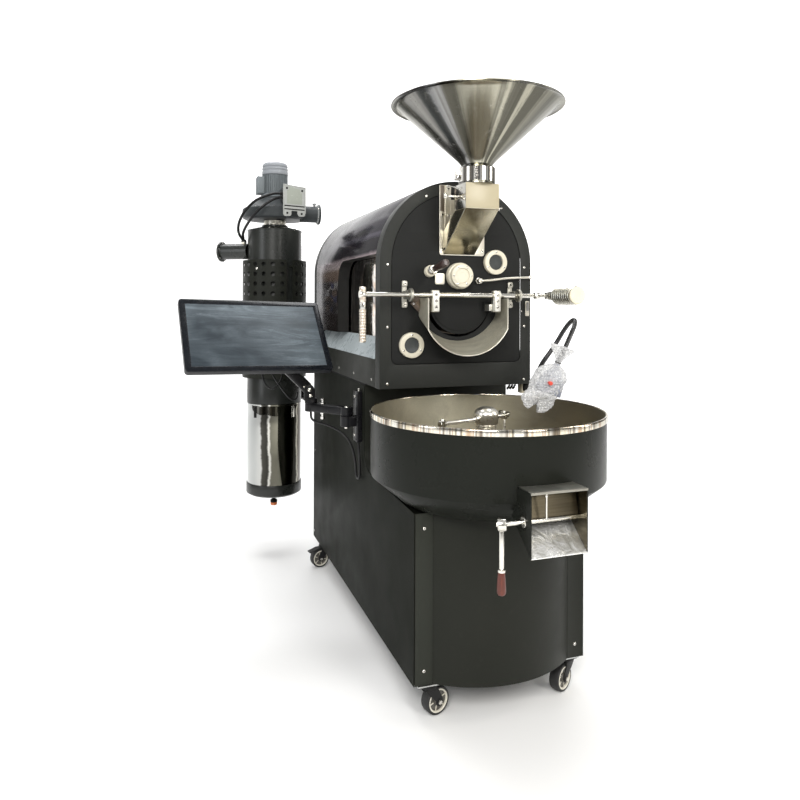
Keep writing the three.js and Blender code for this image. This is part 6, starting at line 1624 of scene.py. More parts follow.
# spacers to the body, and two screw heads on the sleeve
for aa in (-65, 60, 180):
    for zz in (1340, 850):
        c, s = math.cos(rad(aa)), math.sin(rad(aa))
        g.add(rod((CX_ + 125.6 * c, CY_ + 125.6 * s, zz), (CX_ + 146.2 * c, CY_ + 146.2 * s, zz), 5, 20), 0)
for aa in (-132, 170):
    c, s = math.cos(rad(aa)), math.sin(rad(aa))
    g.add(lathe([(0, 0), (5.4, 0), (5.4, 0.6), (3.8, 1.6), (0, 2)], (CX_ + 147.6 * c * 0.998, CY_ + 147.6 * s * 0.998, 1330), (c, s, 0), 20), 1)
build("guard_piece", g, [M_COAT, M_SCREW], "root", "heat_guard", angle=50)

# ----------------------------------------------------------------- fan
g = G()
pf = [(44, 1563), (120, 1563), (138, 1564.6), (147, 1569), (150, 1577), (150, 1598), (150.6, 1599), (150.6, 1610), (149, 1612), (144, 1613), (136, 1620), (120, 1630), (96, 1645), (76, 1656), (69, 1660), (66, 1663), (66, 1668), (14.2, 1668), (14.2, 1655), (66, 1655), (126, 1624), (144, 1608), (146, 1580), (136, 1567), (44, 1566)]
g.add(lathe(pf, (CX_, CY_, 0), (0, 0, 1), 128), 0)
for i in range(10):
    t = rad(i * 36 + 8)
    g.add(lathe([(0, 0), (4, 0), (4, 2.6), (0, 3.2)], (CX_ + 143 * math.cos(t), CY_ + 143 * math.sin(t), 1613.4), (0, 0, 1), 6), 2)
# outlet: round pipe with its flange and bolts
YO, ZO = CY_ - 60, 1592
g.add(lathe([(35, 112), (38.4, 112), (38.4, 188), (41, 190.6), (46, 191), (47.4, 192.4), (47.4, 200), (46.2, 201), (35, 201)], (CX_, YO, ZO), (1, 0, 0), 72), 0)
g.add(lathe([(38.5, 186), (45.8, 190.2), (45.8, 191.4), (38.5, 191.4)], (CX_, YO, ZO), (1, 0, 0), 72), 6)
for i in range(6):
    t = rad(i * 60 + 30)
    p = (CX_ + 201, YO + 42.4 * math.cos(t), ZO + 42.4 * math.sin(t))
    g.add(lathe([(0, -14), (3.8, -14), (3.8, -10), (0, -10)], p, (1, 0, 0), 6), 2)
    g.add(lathe([(0, -1), (3.8, -1), (3.8, 0), (0, 0)], p, (1, 0, 0), 6), 2)
# lifting knob on the outlet
g.add(lathe([(0, 0), (5, 0), (5, 6), (9, 8), (10, 11), (8.6, 15), (4, 17), (0, 17.4)], (CX_ + 176, YO - 8, ZO + 36), (-0.1, 0, 1), 28), 6)
# mounting plate: light cast frame, recessed panel, cross bars, feet, four bolts
px0, px1 = CX_ + 8, CX_ + 111
zt_ = 1709
slant = 12.0
g.add(prism([(px0, zt_), (px0, 1576)] + arc(px0 + 12, 1576, 12, 180, 270, 5) + [(px0 + 26, 1564)] + arc(px0 + 26, 1576, 12, 270, 360, 5)[1:] + [(px0 + 38, 1589), (px1 - 38, 1588), (px1 - 38, 1574)] + arc(px1 - 26, 1574, 10, 180, 270, 5) + arc(px1 - 12, 1574, 10, 270, 360, 5) + [(px1, zt_ - slant)], 'XZ', CY_ - 185.0, CY_ - 180, 1.2), 3)
g.add(prism([(px0 + 17, 1620), (px1 - 17, 1616), (px1 - 17, zt_ - 16 - slant * 0.8), (px0 + 17, zt_ - 9)], 'XZ', CY_ - 185.6, CY_ - 184.6, 0.4), 4)
for (a0_, a1_, zz1) in ((px0, px0 + 6, zt_), (px1 - 6, px1, zt_ - slant)):
    g.add(box(a0_, a1_, CY_ - 186, CY_ - 180.6, 1578, zz1, 1.2, 2), 3)
MB = Matrix.Translation((px0, 0, zt_ - 4)) @ Matrix.Rotation(math.atan2(slant, px1 - px0), 4, 'Y')
g.add(box(2, px1 - px0 - 1, CY_ - 186, CY_ - 184, -3, 3, 0.9, 2, MB), 3)
# under each cross bar a near-black strip: painted shadow of the bar
for zz in (1617, 1602):
    MB = Matrix.Translation((px0, 0, zz)) @ Matrix.Rotation(rad(2.4), 4, 'Y')
    g.add(box(3, px1 - px0 - 3, CY_ - 186, CY_ - 184, -2.4, 3.6, 0.9, 2, MB), 3)
    g.add(box(4, px1 - px0 - 4, CY_ - 185.6, CY_ - 184.6, -7.4, -2.6, 0.2, 1, MB), 5)
# bolts: a washer each with a near-black disc on it, painted shade of the socket
for (bx_, bz) in [(px0 + 17, zt_ - 19), (px1 - 17, zt_ - 29), (px0 + 19, 1578), (px1 - 19, 1576)]:
    g.add(lathe([(0, 0), (9, 0), (9, 0.6), (0, 0.6)], (bx_, CY_ - 185.2, bz), (0, -1, 0), 28), 3)
    g.add(lathe([(0, 0.5), (5, 0.5), (5, 0.9), (0, 0.9)], (bx_, CY_ - 185.2, bz), (0, -1, 0), 24), 5)
# terminal box behind the plate, entries of the two leads on its left side
g.add(box(CX_ + 12, CX_ + 107, CY_ - 181, CY_ - 68, 1628, 1700, 5, 3), 0)
for zz in (1668, 1651):
    g.add(lathe([(0, -7), (8.2, -7), (8.2, 2), (6.6, 6), (6.2, 12), (0, 12)], (CX_ + 12, 1324, zz), (-1, 0, 0), 28), 5)
M_CASTG = coat("cast_light", (0.30, 0.31, 0.30), (0.40, 0.41, 0.39), (0.35, 0.55), 500, 0.25, 0.3)
M_CASTP = coat("cast_panel", (0.27, 0.29, 0.25), (0.34, 0.36, 0.32), (0.35, 0.5), 900, 0.1, 0.3)
build("fan_piece", g, [M_FAN, M_SCREW, M_SCREW, M_CASTG, M_CASTP, M_SHADE_AND_BLACK, M_LGREY], "root", "fan_housing")
g = G()
g.add(lathe([(0, 1578), (112, 1578), (112, 1582), (12, 1582), (12, 1675), (0, 1675)], (CX_, CY_, 0), (0, 0, 1), 64), 0)
for i in range(8):
    M4 = Matrix.Translation((CX_, CY_, 1597)) @ Matrix.Rotation(i * math.pi / 4 + 0.2, 4, 'Z') @ Matrix.Translation((70, 0, 0))
    g.add(box(-40, 40, -1.5, 1.5, -16, 16, 0.7, 2, M4), 0)
build("impeller_piece", g, [M_ZINC], "impeller_body", "fan_impeller")
# motor: flange, ribbed barrel, fan cover with three rolls
g = G()
g.add(lathe([(0, 1668.4), (63, 1668.4), (64, 1669.4), (64, 1680), (62, 1683), (58, 1685), (54, 1688), (54, 1780), (0, 1780)], (CX_, CY_, 0), (0, 0, 1), 96), 0)
for i in range(38):
    M4 = Matrix.Translation((CX_, CY_, 0)) @ Matrix.Rotation(2 * math.pi * i / 38, 4, 'Z')
    g.add(box(53, 59.8, -1.3, 1.3, 1686, 1778, 0.7, 1, M4), 0)
cv = [(0, 1776), (60.4, 1776), (61, 1777), (61, 1792), (59.6, 1794), (58.4, 1795.6), (59, 1797.4), (60.4, 1800), (61, 1803), (60, 1807), (57.6, 1809.4), (57.2, 1811), (59, 1813), (59.8, 1816), (59, 1821), (56, 1827), (50, 1832), (40, 1834.4), (22, 1835), (0, 1835)]
g.add(lathe(cv, (CX_, CY_, 0), (0, 0, 1), 96), 1)
for rr in (14, 24, 34):
    g.add(lathe([(rr - 1.6, 1833.8), (rr - 1.6, 1835), (rr + 1.6, 1834.8), (rr + 1.6, 1833.6)], (CX_, CY_, 0), (0, 0, 1), 64), 2)
# capacitor box on the left
g.add(box(CX_ - 88, CX_ - 52, CY_ - 34, CY_ + 26, 1682, 1764, 5, 3), 2)
g.add(lathe([(0, 0), (6, 0), (6, 3), (4, 4.4), (0, 4.4)], (CX_ - 78, CY_ - 8, 1763.4), (0, 0, 1), 20), 3)
build("fan_motor_piece", g, [M_GREY, coat("cover_silver", (0.20, 0.215, 0.235), (0.30, 0.315, 0.335), (0.22, 0.36), 700, 0.15, 0.35), M_GREY, M_DARK], "root", "fan_motor")

# exhaust duct: ringed bend from the rear cap to the cyclone
g = G()
dp = [(-120, 1338, 1140), (-120, 1352, 1139), (-120, 1370, 1137), (-122, 1398, 1130), (-130, 1425, 1115), (-146, 1446, 1088), (-168, 1456, 1056), (-196, 1460, 1026), (-226, 1460, 1008), (-258, 1460, 1001), (-310, 1460, 1000)]


def wave(t):
    return 1.0 - 0.035 + 0.035 * math.cos(t * 2 * math.pi * 22)


g.add(tube(dp, 43.6, 40, 24, radii=wave), 0)
g.add(lathe([(0, 1336.4), (61, 1336.4), (62, 1337.4), (62, 1341), (61, 1342), (0, 1342)], (-120, 0, 1140), (0, 1, 0), 64), 0)
for i in range(6):
    t = rad(60 * i)
    g.add(lathe([(0, 0), (4, 0), (4, 2.4), (0, 2.8)], (-120 + 54 * math.cos(t), 1341.8, 1140 + 54 * math.sin(t)), (0, 1, 0), 6), 1)
build("duct_piece", g, [M_ZINC, M_SCREW], "root", "exhaust_duct")

# ---------------------------------------------------------- chaff bucket
mb = Mat("bucket_mirror", (0.70, 0.68, 0.64), 0.04, 1.0)
vb = mb.coord()
mb.to("Roughness", mb.rng(mb.noise(vb, 7, 6, 0.65, 0.7), 0.45, 0.8, 0.03, 0.12))
mb.to("Normal", mb.bump(mb.noise(mb.coord((1, 1, 0.35)), 11, 2, 0.4), 0.16, 0.01))
# painted reflection: bright, dark and tan bands by angle round the bucket
sb = mb.n("ShaderNodeSeparateXYZ")
mb.l(mb.polar(T((CX_, CY_, 500)), 'Z', 0.159155, 1.0, 1.0), sb.inputs[0])
wv = mb.noise(mb.coord((1.2, 1.2, 3.4)), 3.2, 4, 0.6, 0.9)
wv2 = mb.noise(mb.coord((9, 9, 26), (3, 1, 7)), 1.0, 3, 0.6, 0.8)
fb = mb.math('ADD', sb.outputs["X"], 0.5)
fb = mb.math('ADD', fb, mb.mul(mb.math('SUBTRACT', wv, 0.5), 0.035))
fb = mb.math('ADD', fb, mb.mul(mb.math('SUBTRACT', wv2, 0.5), 0.012))
mb.to("Base Color", mb.ramp(fb, [(0.0, (0.52, 0.53, 0.52)), (0.10, (0.44, 0.45, 0.44)), (0.142, (0.50, 0.50, 0.48)), (0.152, (0.06, 0.058, 0.05)), (0.186, (0.035, 0.034, 0.03)), (0.196, (0.70, 0.69, 0.64)), (0.206, (0.13, 0.125, 0.10)), (0.262, (0.22, 0.215, 0.17)), (0.284, (0.40, 0.39, 0.33)), (0.292, (0.10, 0.095, 0.075)), (0.312, (0.02, 0.019, 0.015)), (0.372, (0.015, 0.014, 0.011)), (0.384, (0.42, 0.40, 0.34)), (0.394, (0.06, 0.05, 0.04)), (0.46, (0.13, 0.12, 0.10)), (0.52, (0.55, 0.55, 0.52)), (0.60, (0.10, 0.10, 0.085)), (0.66, (0.04, 0.04, 0.035)), (0.68, (0.50, 0.49, 0.45)), (0.76, (0.22, 0.21, 0.18)), (0.86, (0.05, 0.05, 0.045)), (0.90, (0.52, 0.52, 0.50)), (1.0, (0.52, 0.53, 0.52))]))
g = G()
pf = [(125, 337), (125, 698), (124.6, 700), (126, 702), (126, 706.4), (124.8, 707), (108, 707), (108, 704), (121, 704), (122, 693), (122, 341), (0, 341), (0, 335), (124, 335)]
g.add(lathe(pf, (CX_, CY_, 0), (0, 0, 1), 128), 0)
g.add(lathe([(0, 279), (111, 279), (114, 279.8), (126.6, 288), (128, 291), (128, 333), (127, 335), (125, 335.4), (0, 335.4)], (CX_, CY_, 0), (0, 0, 1), 128), 1)
g.add(lathe([(0, 230), (15.4, 230), (16.4, 232), (16.4, 240), (14, 243), (9, 245), (9, 279.4), (0, 279.4)], (CX_, CY_, 0), (0, 0, 1), 48), 2)
g.add(lathe([(0, 216), (12, 216), (14.6, 217.4), (15.6, 220), (15.8, 230), (0, 230)], (CX_, CY_, 0), (0, 0, 1), 48), 3)
# two latches near the top edge
for aa, mt in ((-56, 0), (-142, 1), (90, 0)):
    c, s = math.cos(rad(aa)), math.sin(rad(aa))
    M4 = Matrix(((-s, c, 0, CX_), (c, s, 0, CY_), (0, 0, 1, 0), (0, 0, 0, 1)))
    g.add(box(-8, 8, 123.5, 126.6, 645, 697, 1.2, 2, M4), 4 if mt == 0 else 2)
    g.add(box(-6, 6, 125.6, 127.8, 653, 693, 1.0, 2, M4), 4 if mt == 0 else 2)
    g.add(box(-9, 9, 124, 127.6, 683, 689, 1.4, 2, M4), 4 if mt == 0 else 2)
build("bucket_piece", g, [mb.m, M_CYC, M_DARK, plastic("knob_orange", (0.62, 0.17, 0.05), 0.45, 500, 0.1), M_SHAFT], "bucket_body", "chaff_bucket")

# ------------------------------------------------------------- screen arm
BX, BY = -275.8, 556
g = G()
g.add(prism(rrect(528, 584, 683, 862, 7), 'YZ', BX - 18, BX, 2.2, res=3), 0)
g.add(prism(rrect(534, 578, 689, 856, 5), 'YZ', BX - 19.4, BX - 16, 1.2), 0)
g.add(box(BX - 50, BX - 14, 534, 578, 738.4, 775.6, 6, 4), 0)
ring = [(9.3, 738), (20, 738), (22, 740), (22, 774), (20, 776), (9.3, 776)]
g.add(lathe(ring, (-325, BY, 0), (0, 0, 1), 64), 0)
for zz in (706, 842):
    capscrew(g, (BX - 19, BY, zz), (-1, 0, 0), 5.4, 3.2, 1, 2)
g.add(rod((BX - 8, BY - 12, 856), (BX - 8, BY - 12, 872), 4, 16, c=1), 1)
build("arm_bracket_piece", g, [M_PLAST, M_SCREW, M_SHADE_AND_BLACK], "root", "arm_bracket")

E2 = (-425, 690)


def link_m(a, b):
    t = math.atan2(b[1] - a[1], b[0] - a[0])
    return Matrix.Translation((a[0], a[1], 0)) @ Matrix.Rotation(t, 4, 'Z'), math.hypot(b[0] - a[0], b[1] - a[1])


M4, L4 = link_m((-325, BY), E2)
g = G()
g.add(box(0, L4, -17, 17, 777, 806, 6.5, 4, M4), 0)
g.add(box(18, L4 - 16, -13, 13, 805.2, 807.4, 1.0, 2, M4), 0)
g.add(lathe([(0, 777), (20, 777), (22, 779), (22, 804), (20, 806), (0, 806)], (-325, BY, 0), (0, 0, 1), 64), 0)
g.add(lathe([(9.3, 777), (20, 777), (22, 779), (22, 804), (20, 806), (9.3, 806)], (*E2, 0), (0, 0, 1), 64), 0)
g.add(lathe([(0, 731), (7.4, 731), (8, 732), (8, 778), (0, 778)], (-325, BY, 0), (0, 0, 1), 32), 1)
g.add(lathe([(0, 805.8), (9, 805.8), (9, 807), (8, 808.4), (0, 808.8)], (-325, BY, 0), (0, 0, 1), 32), 1)
q_ = M4 @ Vector((L4 * 0.66, 0, 0))
g.add(lathe([(0, 806), (8, 806), (9, 808), (9, 812), (5, 814), (5, 820), (7.4, 822), (7.4, 826), (5, 829), (0, 829)], (q_.x, q_.y, 0), (0, 0, 1), 24), 2)
g.add(lathe([(0, 752), (6, 752), (8, 754), (8, 762), (5, 764), (5, 770), (9, 772), (9, 778), (0, 778)], (q_.x, q_.y, 0), (0, 0, 1), 24), 2)
build("lower_arm_piece", g, [M_PLAST, M_SCREW, M_CHROME], "lower_arm_body", "lower_arm")

Pp, Hh = Vector((-437, 688, 858)), Vector((-620, 676, 1043))
ax = Vector((Hh.x - Pp.x, Hh.y - Pp.y, 0)).normalized()
nx_ = Vector((-ax.y, ax.x, 0))
tz = math.atan2(ax.y, ax.x)
g = G()
g.add(lathe([(0, 775), (7.4, 775), (8, 776), (8, 808), (0, 808)], (*E2, 0), (0, 0, 1), 32), 1)
g.add(lathe([(0, 806.4), (21.4, 806.4), (23, 808), (23, 822), (21.6, 824), (0, 824)], (*E2, 0), (0, 0, 1), 64), 0)
Mz = Matrix.Rotation(tz, 4, 'Z')
for d0, d1 in ((-25, -19), (19, 25)):
    M5 = Matrix.Translation((Pp.x, Pp.y, 848)) @ Mz
    cheek = [(-20, -28), (20, -28), (20, 6)] + arc(4, 10, 16, 0, 120, 8) + [(-20, 12)]
    vf = prism(cheek, 'XZ', d0, d1, 1.2)
    g.add(move(vf, M5), 0)
g.add(box(-22, 22, -25, 25, -28, -22, 1.6, 2, Matrix.Translation((Pp.x + 2, Pp.y, 848)) @ Mz), 0)
pa, pb = Pp - nx_ * 24, Pp + nx_ * 24
g.add(rod(pa, pb, 5, 24, c=0.6), 1)
for sgn in (-1, 1):
    g.add(lathe([(0, 0), (7.4, 0), (7.4, 1.4), (5.6, 2.6), (0, 3)], Pp + nx_ * (25 * sgn), nx_ * sgn, 24), 1)
    q = Pp + nx_ * (25 * sgn) + Vector((0, 0, -22)) - ax * 4
    g.add(lathe([(0, 0), (6.2, 0), (6.2, 1.4), (4.6, 2.4), (0, 2.8)], q, nx_ * sgn, 24), 1)
build("elbow_piece", g, [M_PLAST, M_SCREW], "elbow_body", "elbow_link")

dHP = Hh - Pp
La = dHP.length
ex = dHP.normalized()
ez = ex.cross(nx_)
MA = Matrix(((ex.x, nx_.x, ez.x, Pp.x), (ex.y, nx_.y, ez.y, Pp.y), (ex.z, nx_.z, ez.z, Pp.z), (0, 0, 0, 1)))
g = G()
# rounded cover over the spring, flatter under side, end eye towards the head
g.add(box(-12, La - 34, -18.5, 18.5, -19, 19, 8, 5, MA), 0)
g.add(box(6, La - 48, -13.5, 13.5, 17.2, 20.4, 1.4, 3, MA), 2)
g.add(box(La - 38, La + 7, -12, 12, -13, 13, 5, 4, MA), 0)
g.add(rod(Pp - nx_ * 18.5, Pp + nx_ * 18.5, 19, 48, c=2), 0)
g.add(rod(Hh - nx_ * 12, Hh + nx_ * 12, 14, 40, c=1.6), 0)
for sgn in (-1, 1):
    for s_ in (20, La - 44):
        g.add(lathe([(0, 0), (4, 0), (4, 0.8), (0, 1.0)], MA @ Vector((s_, sgn * 18.4, -6)), nx_ * sgn, 20), 1)
build("upper_arm_piece", g, [M_PLAST, M_SCREW, plastic("arm_cover", (0.05, 0.052, 0.052), 0.34, 900, 0.08)], "upper_arm_body", "upper_arm")

MC = Vector((-634, 598, 1064))
nS, uS, rS = Vector((0.116, -0.766, 0.633)), Vector((-0.063, 0.630, 0.774)), Vector((0.991, 0.130, -0.025))
MS = Matrix(((rS.x, uS.x, nS.x, MC.x), (rS.y, uS.y, nS.y, MC.y), (rS.z, uS.z, nS.z, MC.z), (0, 0, 0, 1)))
PM = MC - nS * 52
g = G()
Mh = Matrix.Translation(Hh) @ Mz
for d_ in (-15.3, 15.3):
    g.add(box(-17, 17, d_ - 2.5, d_ + 2.5, -17, 17, 1.8, 3, Mh), 0)
g.add(box(-17, 17, -18, 18, 14.5, 19.5, 1.6, 3, Mh), 0)
g.add(rod(Hh - nx_ * 17, Hh + nx_ * 17, 5, 24, c=0.5), 1)
for sgn in (-1, 1):
    g.add(lathe([(0, 0), (6.4, 0), (6.4, 1.2), (4.8, 2.2), (0, 2.6)], Hh + nx_ * (17.8 * sgn), nx_ * sgn, 24), 1)
g.add(rod(Hh + Vector((0, 0, 20)), PM, 9, 28, c=1), 0)
g.add(rod(PM - rS * 42, PM + rS * 42, 7, 28, c=1), 1)
g.add(rod(PM - rS * 30, PM + rS * 30, 11, 40, c=1.5), 0)
build("head_piece", g, [M_PLAST, M_SCREW], "head_body", "monitor_head")

# screen: housing, bezel ring, glass
g = G()
w, h = 250, 150
hs = prism(rrect(-w, w, -h, h, 12, 10), 'XY', -23.6, -2, 4.0, res=4)
g.add(move(hs, MS), 0)
bez = prism(rrect(-w, w, -h, h, 12, 10), 'XY', -4, 0, 1.6, holes=[rrect(-w + 21, w - 21, -h + 20, h - 21, 2, 3)], res=3)
g.add(move(bez, MS), 1)
gl = prism(rrect(-w + 19, w - 19, -h + 18, h - 19, 2, 3), 'XY', -3.4, -1.3, 0.2)
g.add(move(gl, MS), 2)
hump = box(-130, 130, -75, 75, -31.4, -22, 4, 4)
g.add(move(hump, MS), 0)
for a in (-38, 38):
    g.add(move(prism([(-12, -62), (12, -62), (12, -28), (-12, -28)], 'YZ', a - 3, a + 3, 1.0), Matrix.Identity(4)) if False else move(box(a - 3, a + 3, -12, 12, -62, -28, 1.2, 2), MS), 3)
# near-black slats on the housing's back: painted shade of the vent slots
for i in range(14):
    for s_ in (-1, 1):
        x_ = s_ * 180
        g.add(move(box(x_ - 26, x_ + 26, -64 + i * 9.4, -64 + i * 9.4 + 3.4, -24.6, -23.2, 0.5, 1), MS), 4)
m = Mat("screen_glass", (0.05, 0.065, 0.08), 0.32, 0.0)
v = m.coord((1, 1, 1))
# wiping marks: stretched swirls of dust over dark glass
sw3 = m.noise(m.coord((3, 3, 3), (1, 2, 3)), 1.6, 3, 0.5, 0.4)
sw = m.noise(m.coord((2.4, 9, 14), (2, 7, 1)), 1.0, 6, 0.6, 0.9)
sw2 = m.noise(m.coord((2.2, 26, 36), (5, 3, 9)), 1.0, 6, 0.72, 1.1)
fine = m.noise(m.coord((160, 160, 160)), 1.0, 3, 0.6)
dust = m.math('ADD', m.mul(m.rng(sw, 0.44, 0.74, 0, 1), 0.28), m.mul(m.mul(m.rng(sw2, 0.50, 0.74, 0, 1), m.rng(sw3, 0.38, 0.62, 0.1, 1.0)), 0.75))
dust = m.math('ADD', dust, m.mul(m.rng(sw3, 0.35, 0.7, 0, 1), 0.30))
dust = m.math('MULTIPLY', dust, m.rng(fine, 0.2, 0.7, 0.82, 1.08))
m.to("Base Color", m.mix(dust, (0.020, 0.028, 0.035), (0.19, 0.23, 0.26)))
m.to("Roughness", m.rng(dust, 0, 1, 0.34, 0.6))
m.i("Specular IOR Level", 0.22)
M_SCR = m.m
mbz = Mat("bezel_gloss", (0.005, 0.006, 0.008), 0.16)
mbz.i("Specular IOR Level", 0.2)
vz = mbz.coord()
mbz.to("Roughness", mbz.rng(mbz.noise(vz, 20, 5, 0.65), 0.35, 0.75, 0.12, 0.3))
mbz.to("Base Color", mbz.mix(mbz.rng(mbz.noise(vz, 45, 5, 0.7), 0.5, 0.8, 0, 0.6), (0.005, 0.006, 0.008), (0.014, 0.018, 0.024)))
M_BEZ = mbz.m
build("screen_piece", g, [plastic("screen_back", (0.014, 0.015, 0.017), 0.4, 1400, 0.12), M_BEZ, M_SCR, M_PLAST, M_SHADE_AND_BLACK], "screen_body", "monitor")

# --------------------------------------------------------------- tray lamp
g = G()
lp = [(272, 348, 872), (281, 337, 879), (289, 318, 912), (300, 286, 967), (322, 270, 1008), (340, 260, 1040), (355, 243, 1078), (365, 226, 1104), (369.3, 208, 1117), (366, 190, 1116), (351, 170, 1098), (320, 152, 1059), (288, 138, 1014), (264, 131, 980)]


def goose(t):
    return 0.965 + 0.035 * math.cos(t * 2 * math.pi * 105)


g.add(tube(lp, 8, 20, 52, radii=goose), 0)
g.add(lathe([(0, 866), (10, 866), (11, 867.4), (11, 890.6), (10, 892), (0, 892)], (272, 348, 0), (0, 0, 1), 48), 1)
mg = Mat("lamp_gloss", (0.008, 0.008, 0.009), 0.12)
mg.to("Roughness", mg.rng(mg.noise(mg.coord(), 40, 4, 0.6), 0.35, 0.7, 0.08, 0.22))
mg.i("Coat Weight", 0.5)
build("lamp_arm_piece", g, [mg.m, M_DARK], "lamp_arm_body", "lamp_arm", angle=60)

# lamp head in bubble film: a bag tied at the neck, ruffle above, two loose corners below
dL = Vector((-0.34, 0.05, -0.94)).normalized()
xL, yL, _ = basis(dL, (0, 1, 0))
OL = Vector((264, 131, 980))
m = Mat("bubble_film", (0.96, 0.96, 0.96), 0.2, 0.0)
v = m.coord()
d1 = m.voro(v, 112, 'F1', 'Distance', 0.25)
d2 = m.noise(v, 34, 5, 0.7, 1.2)
d3 = m.noise(v, 150, 4, 0.7, 0.4)
bub = m.rng(d1, 0.10, 0.50, 1.0, 0.0)
m.to("Normal", m.bump(m.math('ADD', m.math('ADD', m.mul(bub, 0.8), m.mul(d2, 1.3)), m.mul(d3, 0.35)), 1.0, 0.006))
# painted shade: grey patches following the film's bumps and grey round each bubble's edge; a faint emission paints a
# glow on the film
film_painted_shade = m.mix(m.rng(d2, 0.44, 0.60, 0, 1), (0.99, 0.99, 0.98), (0.78, 0.78, 0.79))
m.to("Base Color", m.mix(m.mul(m.rng(d1, 0.46, 0.60, 0, 1), 0.42), film_painted_shade, (0.50, 0.50, 0.52)))
m.i("Emission Color", (1, 1, 1, 1)).i("Emission Strength", 0.13)
m.to("Roughness", m.rng(d3, 0.3, 0.7, 0.1, 0.34))
m.i("Transmission Weight", 0.30).i("IOR", 1.25)
m.i("Coat Weight", 0.5).i("Coat Roughness", 0.12)
m.to("Alpha", m.rng(m.math('ADD', m.mul(bub, 0.6), m.mul(d3, 0.5)), 0.2, 0.8, 0.62, 0.97))
M_FILM = m.m


LEAN = Vector((-0.17, 0.06, 0))


def film(name, prof, nseg=132, seed=0, amp=5.0, lobes=None, slide=None, bubbles=0.9):
    """closed skin turned about the lamp's axis with sharp creases and rows of bubbles"""
    V, F = [], []
    k_ = len(prof)
    for j, (r, s_) in enumerate(prof):
        for i in range(nseg):
            t = 2 * math.pi * i / nseg
            c_, n_ = math.cos(t), math.sin(t)
            nse = noise.noise(Vector((c_ * 1.6 + seed, n_ * 1.6, s_ * 0.035)))
            cre = noise.noise(Vector((c_ * 3.6 + seed, n_ * 3.6 + seed, s_ * 0.055)))
            rid = 1 - abs(noise.noise(Vector((c_ * 4.4 - seed, n_ * 4.4 + 2, s_ * 0.075 + seed)))) * 3.2
            rid2 = 1 - abs(noise.noise(Vector((c_ * 9.0 + seed, n_ * 9.0 - 4, s_ * 0.15)))) * 3.0
            k1 = min(1, r / 22)
            rr = r * (1 + 0.10 * nse) + amp * k1 * (0.5 * cre + 0.42 * rid + 0.20 * rid2)
            if lobes:
                rr = lobes(rr, t, s_)
            if r > 12:
                rr += bubbles * math.cos(t * 22 + (int(s_ / 5.2) % 2) * math.pi) * math.cos(s_ * 0.6)
            ss = s_ + (slide(t, s_) if slide else 0)
            V.append(tuple(OL + dL * ss + LEAN * max(0, ss) + (xL * c_ + yL * n_) * max(0.5, rr)))
    for j in range(k_ - 1):
        for i in range(nseg):
            i2 = (i + 1) % nseg
            F.append((j * nseg + i, j * nseg + i2, (j + 1) * nseg + i2, (j + 1) * nseg + i))
    F.append(tuple(range(nseg)))
    F.append(tuple((k_ - 1) * nseg + i for i in range(nseg)))
    return V, F


def spread(keys, step=2.0):
    out = []
    P_ = [Vector((a, b, 0)) for a, b in keys]
    C_ = smooth_path(P_, 12)
    out.append(C_[0])
    for q in C_[1:]:
        if (q - out[-1]).length > step:
            out.append(q)
    return [(q.x, q.y) for q in out]


def tip(t, s_):
    # two ragged corners hang lower than the seam between them
    return 15 * max(0, (s_ - 108) / 40) * math.cos(2 * (t - TIP)) + (4 * math.sin(7 * t + 1) if s_ > 132 else 0)


TIP = 0.35
g = G()
g.add(film("bag", spread([(7, -4), (10, 4), (24, 12), (40, 24), (47, 44), (49, 70), (48, 94), (44, 112), (37, 126), (24, 138), (10, 144)]), seed=1.7, amp=7,
           lobes=lambda r, t, s_: r * (1 + 0.42 * max(0, (s_ - 104) / 40) * math.cos(2 * (t - TIP))), slide=tip), 0)
# ruffle above the tie
g.add(film("ruffle", spread([(8, -4), (10, -12), (17, -26), (27, -42), (31, -54), (28, -57), (22, -50)]), seed=5.1, amp=6,
           lobes=lambda r, t, s_: r * (1 + 0.26 * math.sin(5 * t) * min(1, abs(s_) / 40)), bubbles=0.6), 0)
film_o = build("bubble_film_piece", g, [M_FILM], "lamp_head_body", "lamp_head", angle=30)
g = G()
# the lamp's reflector and body inside the film
g.add(lathe([(0, 2), (9, 2), (10, 4), (12, 14), (26, 34), (38, 56), (42, 84), (42, 100), (40, 101), (38, 84), (34, 60), (0, 40)], OL, dL, 64), 0)
g.add(lathe([(0, 60), (30, 62), (34, 84), (33, 96), (0, 99)], OL, dL, 48), 1)
q = OL + dL * 66 + (xL * 0.35 - Vector((0.33, 0.944, 0)) * 0.93).normalized() * 49
g.add(lathe([(0, -6), (6.2, -6), (6.4, 16.5), (5.2, 18), (0, 18.6)], q, -Vector((0.33, 0.944, 0)), 24), 2)
build("lamp_shade_piece", g, [coat("shade", (0.16, 0.18, 0.24), (0.34, 0.36, 0.44), (0.3, 0.5), 500, 0.1, 0.3, 0.5), M_CREAM, Mat("red_spot", (0.75, 0.08, 0.05), 0.4).m], "lamp_head_body", ())
g = G()
g.add(tube([tuple(OL + dL * -3 + (xL * math.cos(t_) + yL * math.sin(t_)) * 9.5) for t_ in [2 * math.pi * i / 16 for i in range(17)]], 1.5, 8, 3), 0)
build("film_tie_piece", g, [M_SHADE_AND_BLACK], "lamp_head_body", ())

# ------------------------------------------------------ small loose fittings
g = G()
# pale plate below the trier
g.add(prism(rrect(-85, -50, 1236, 1273, 6), 'XZ', 322.5, 327.4, 1.2, res=3), 0)
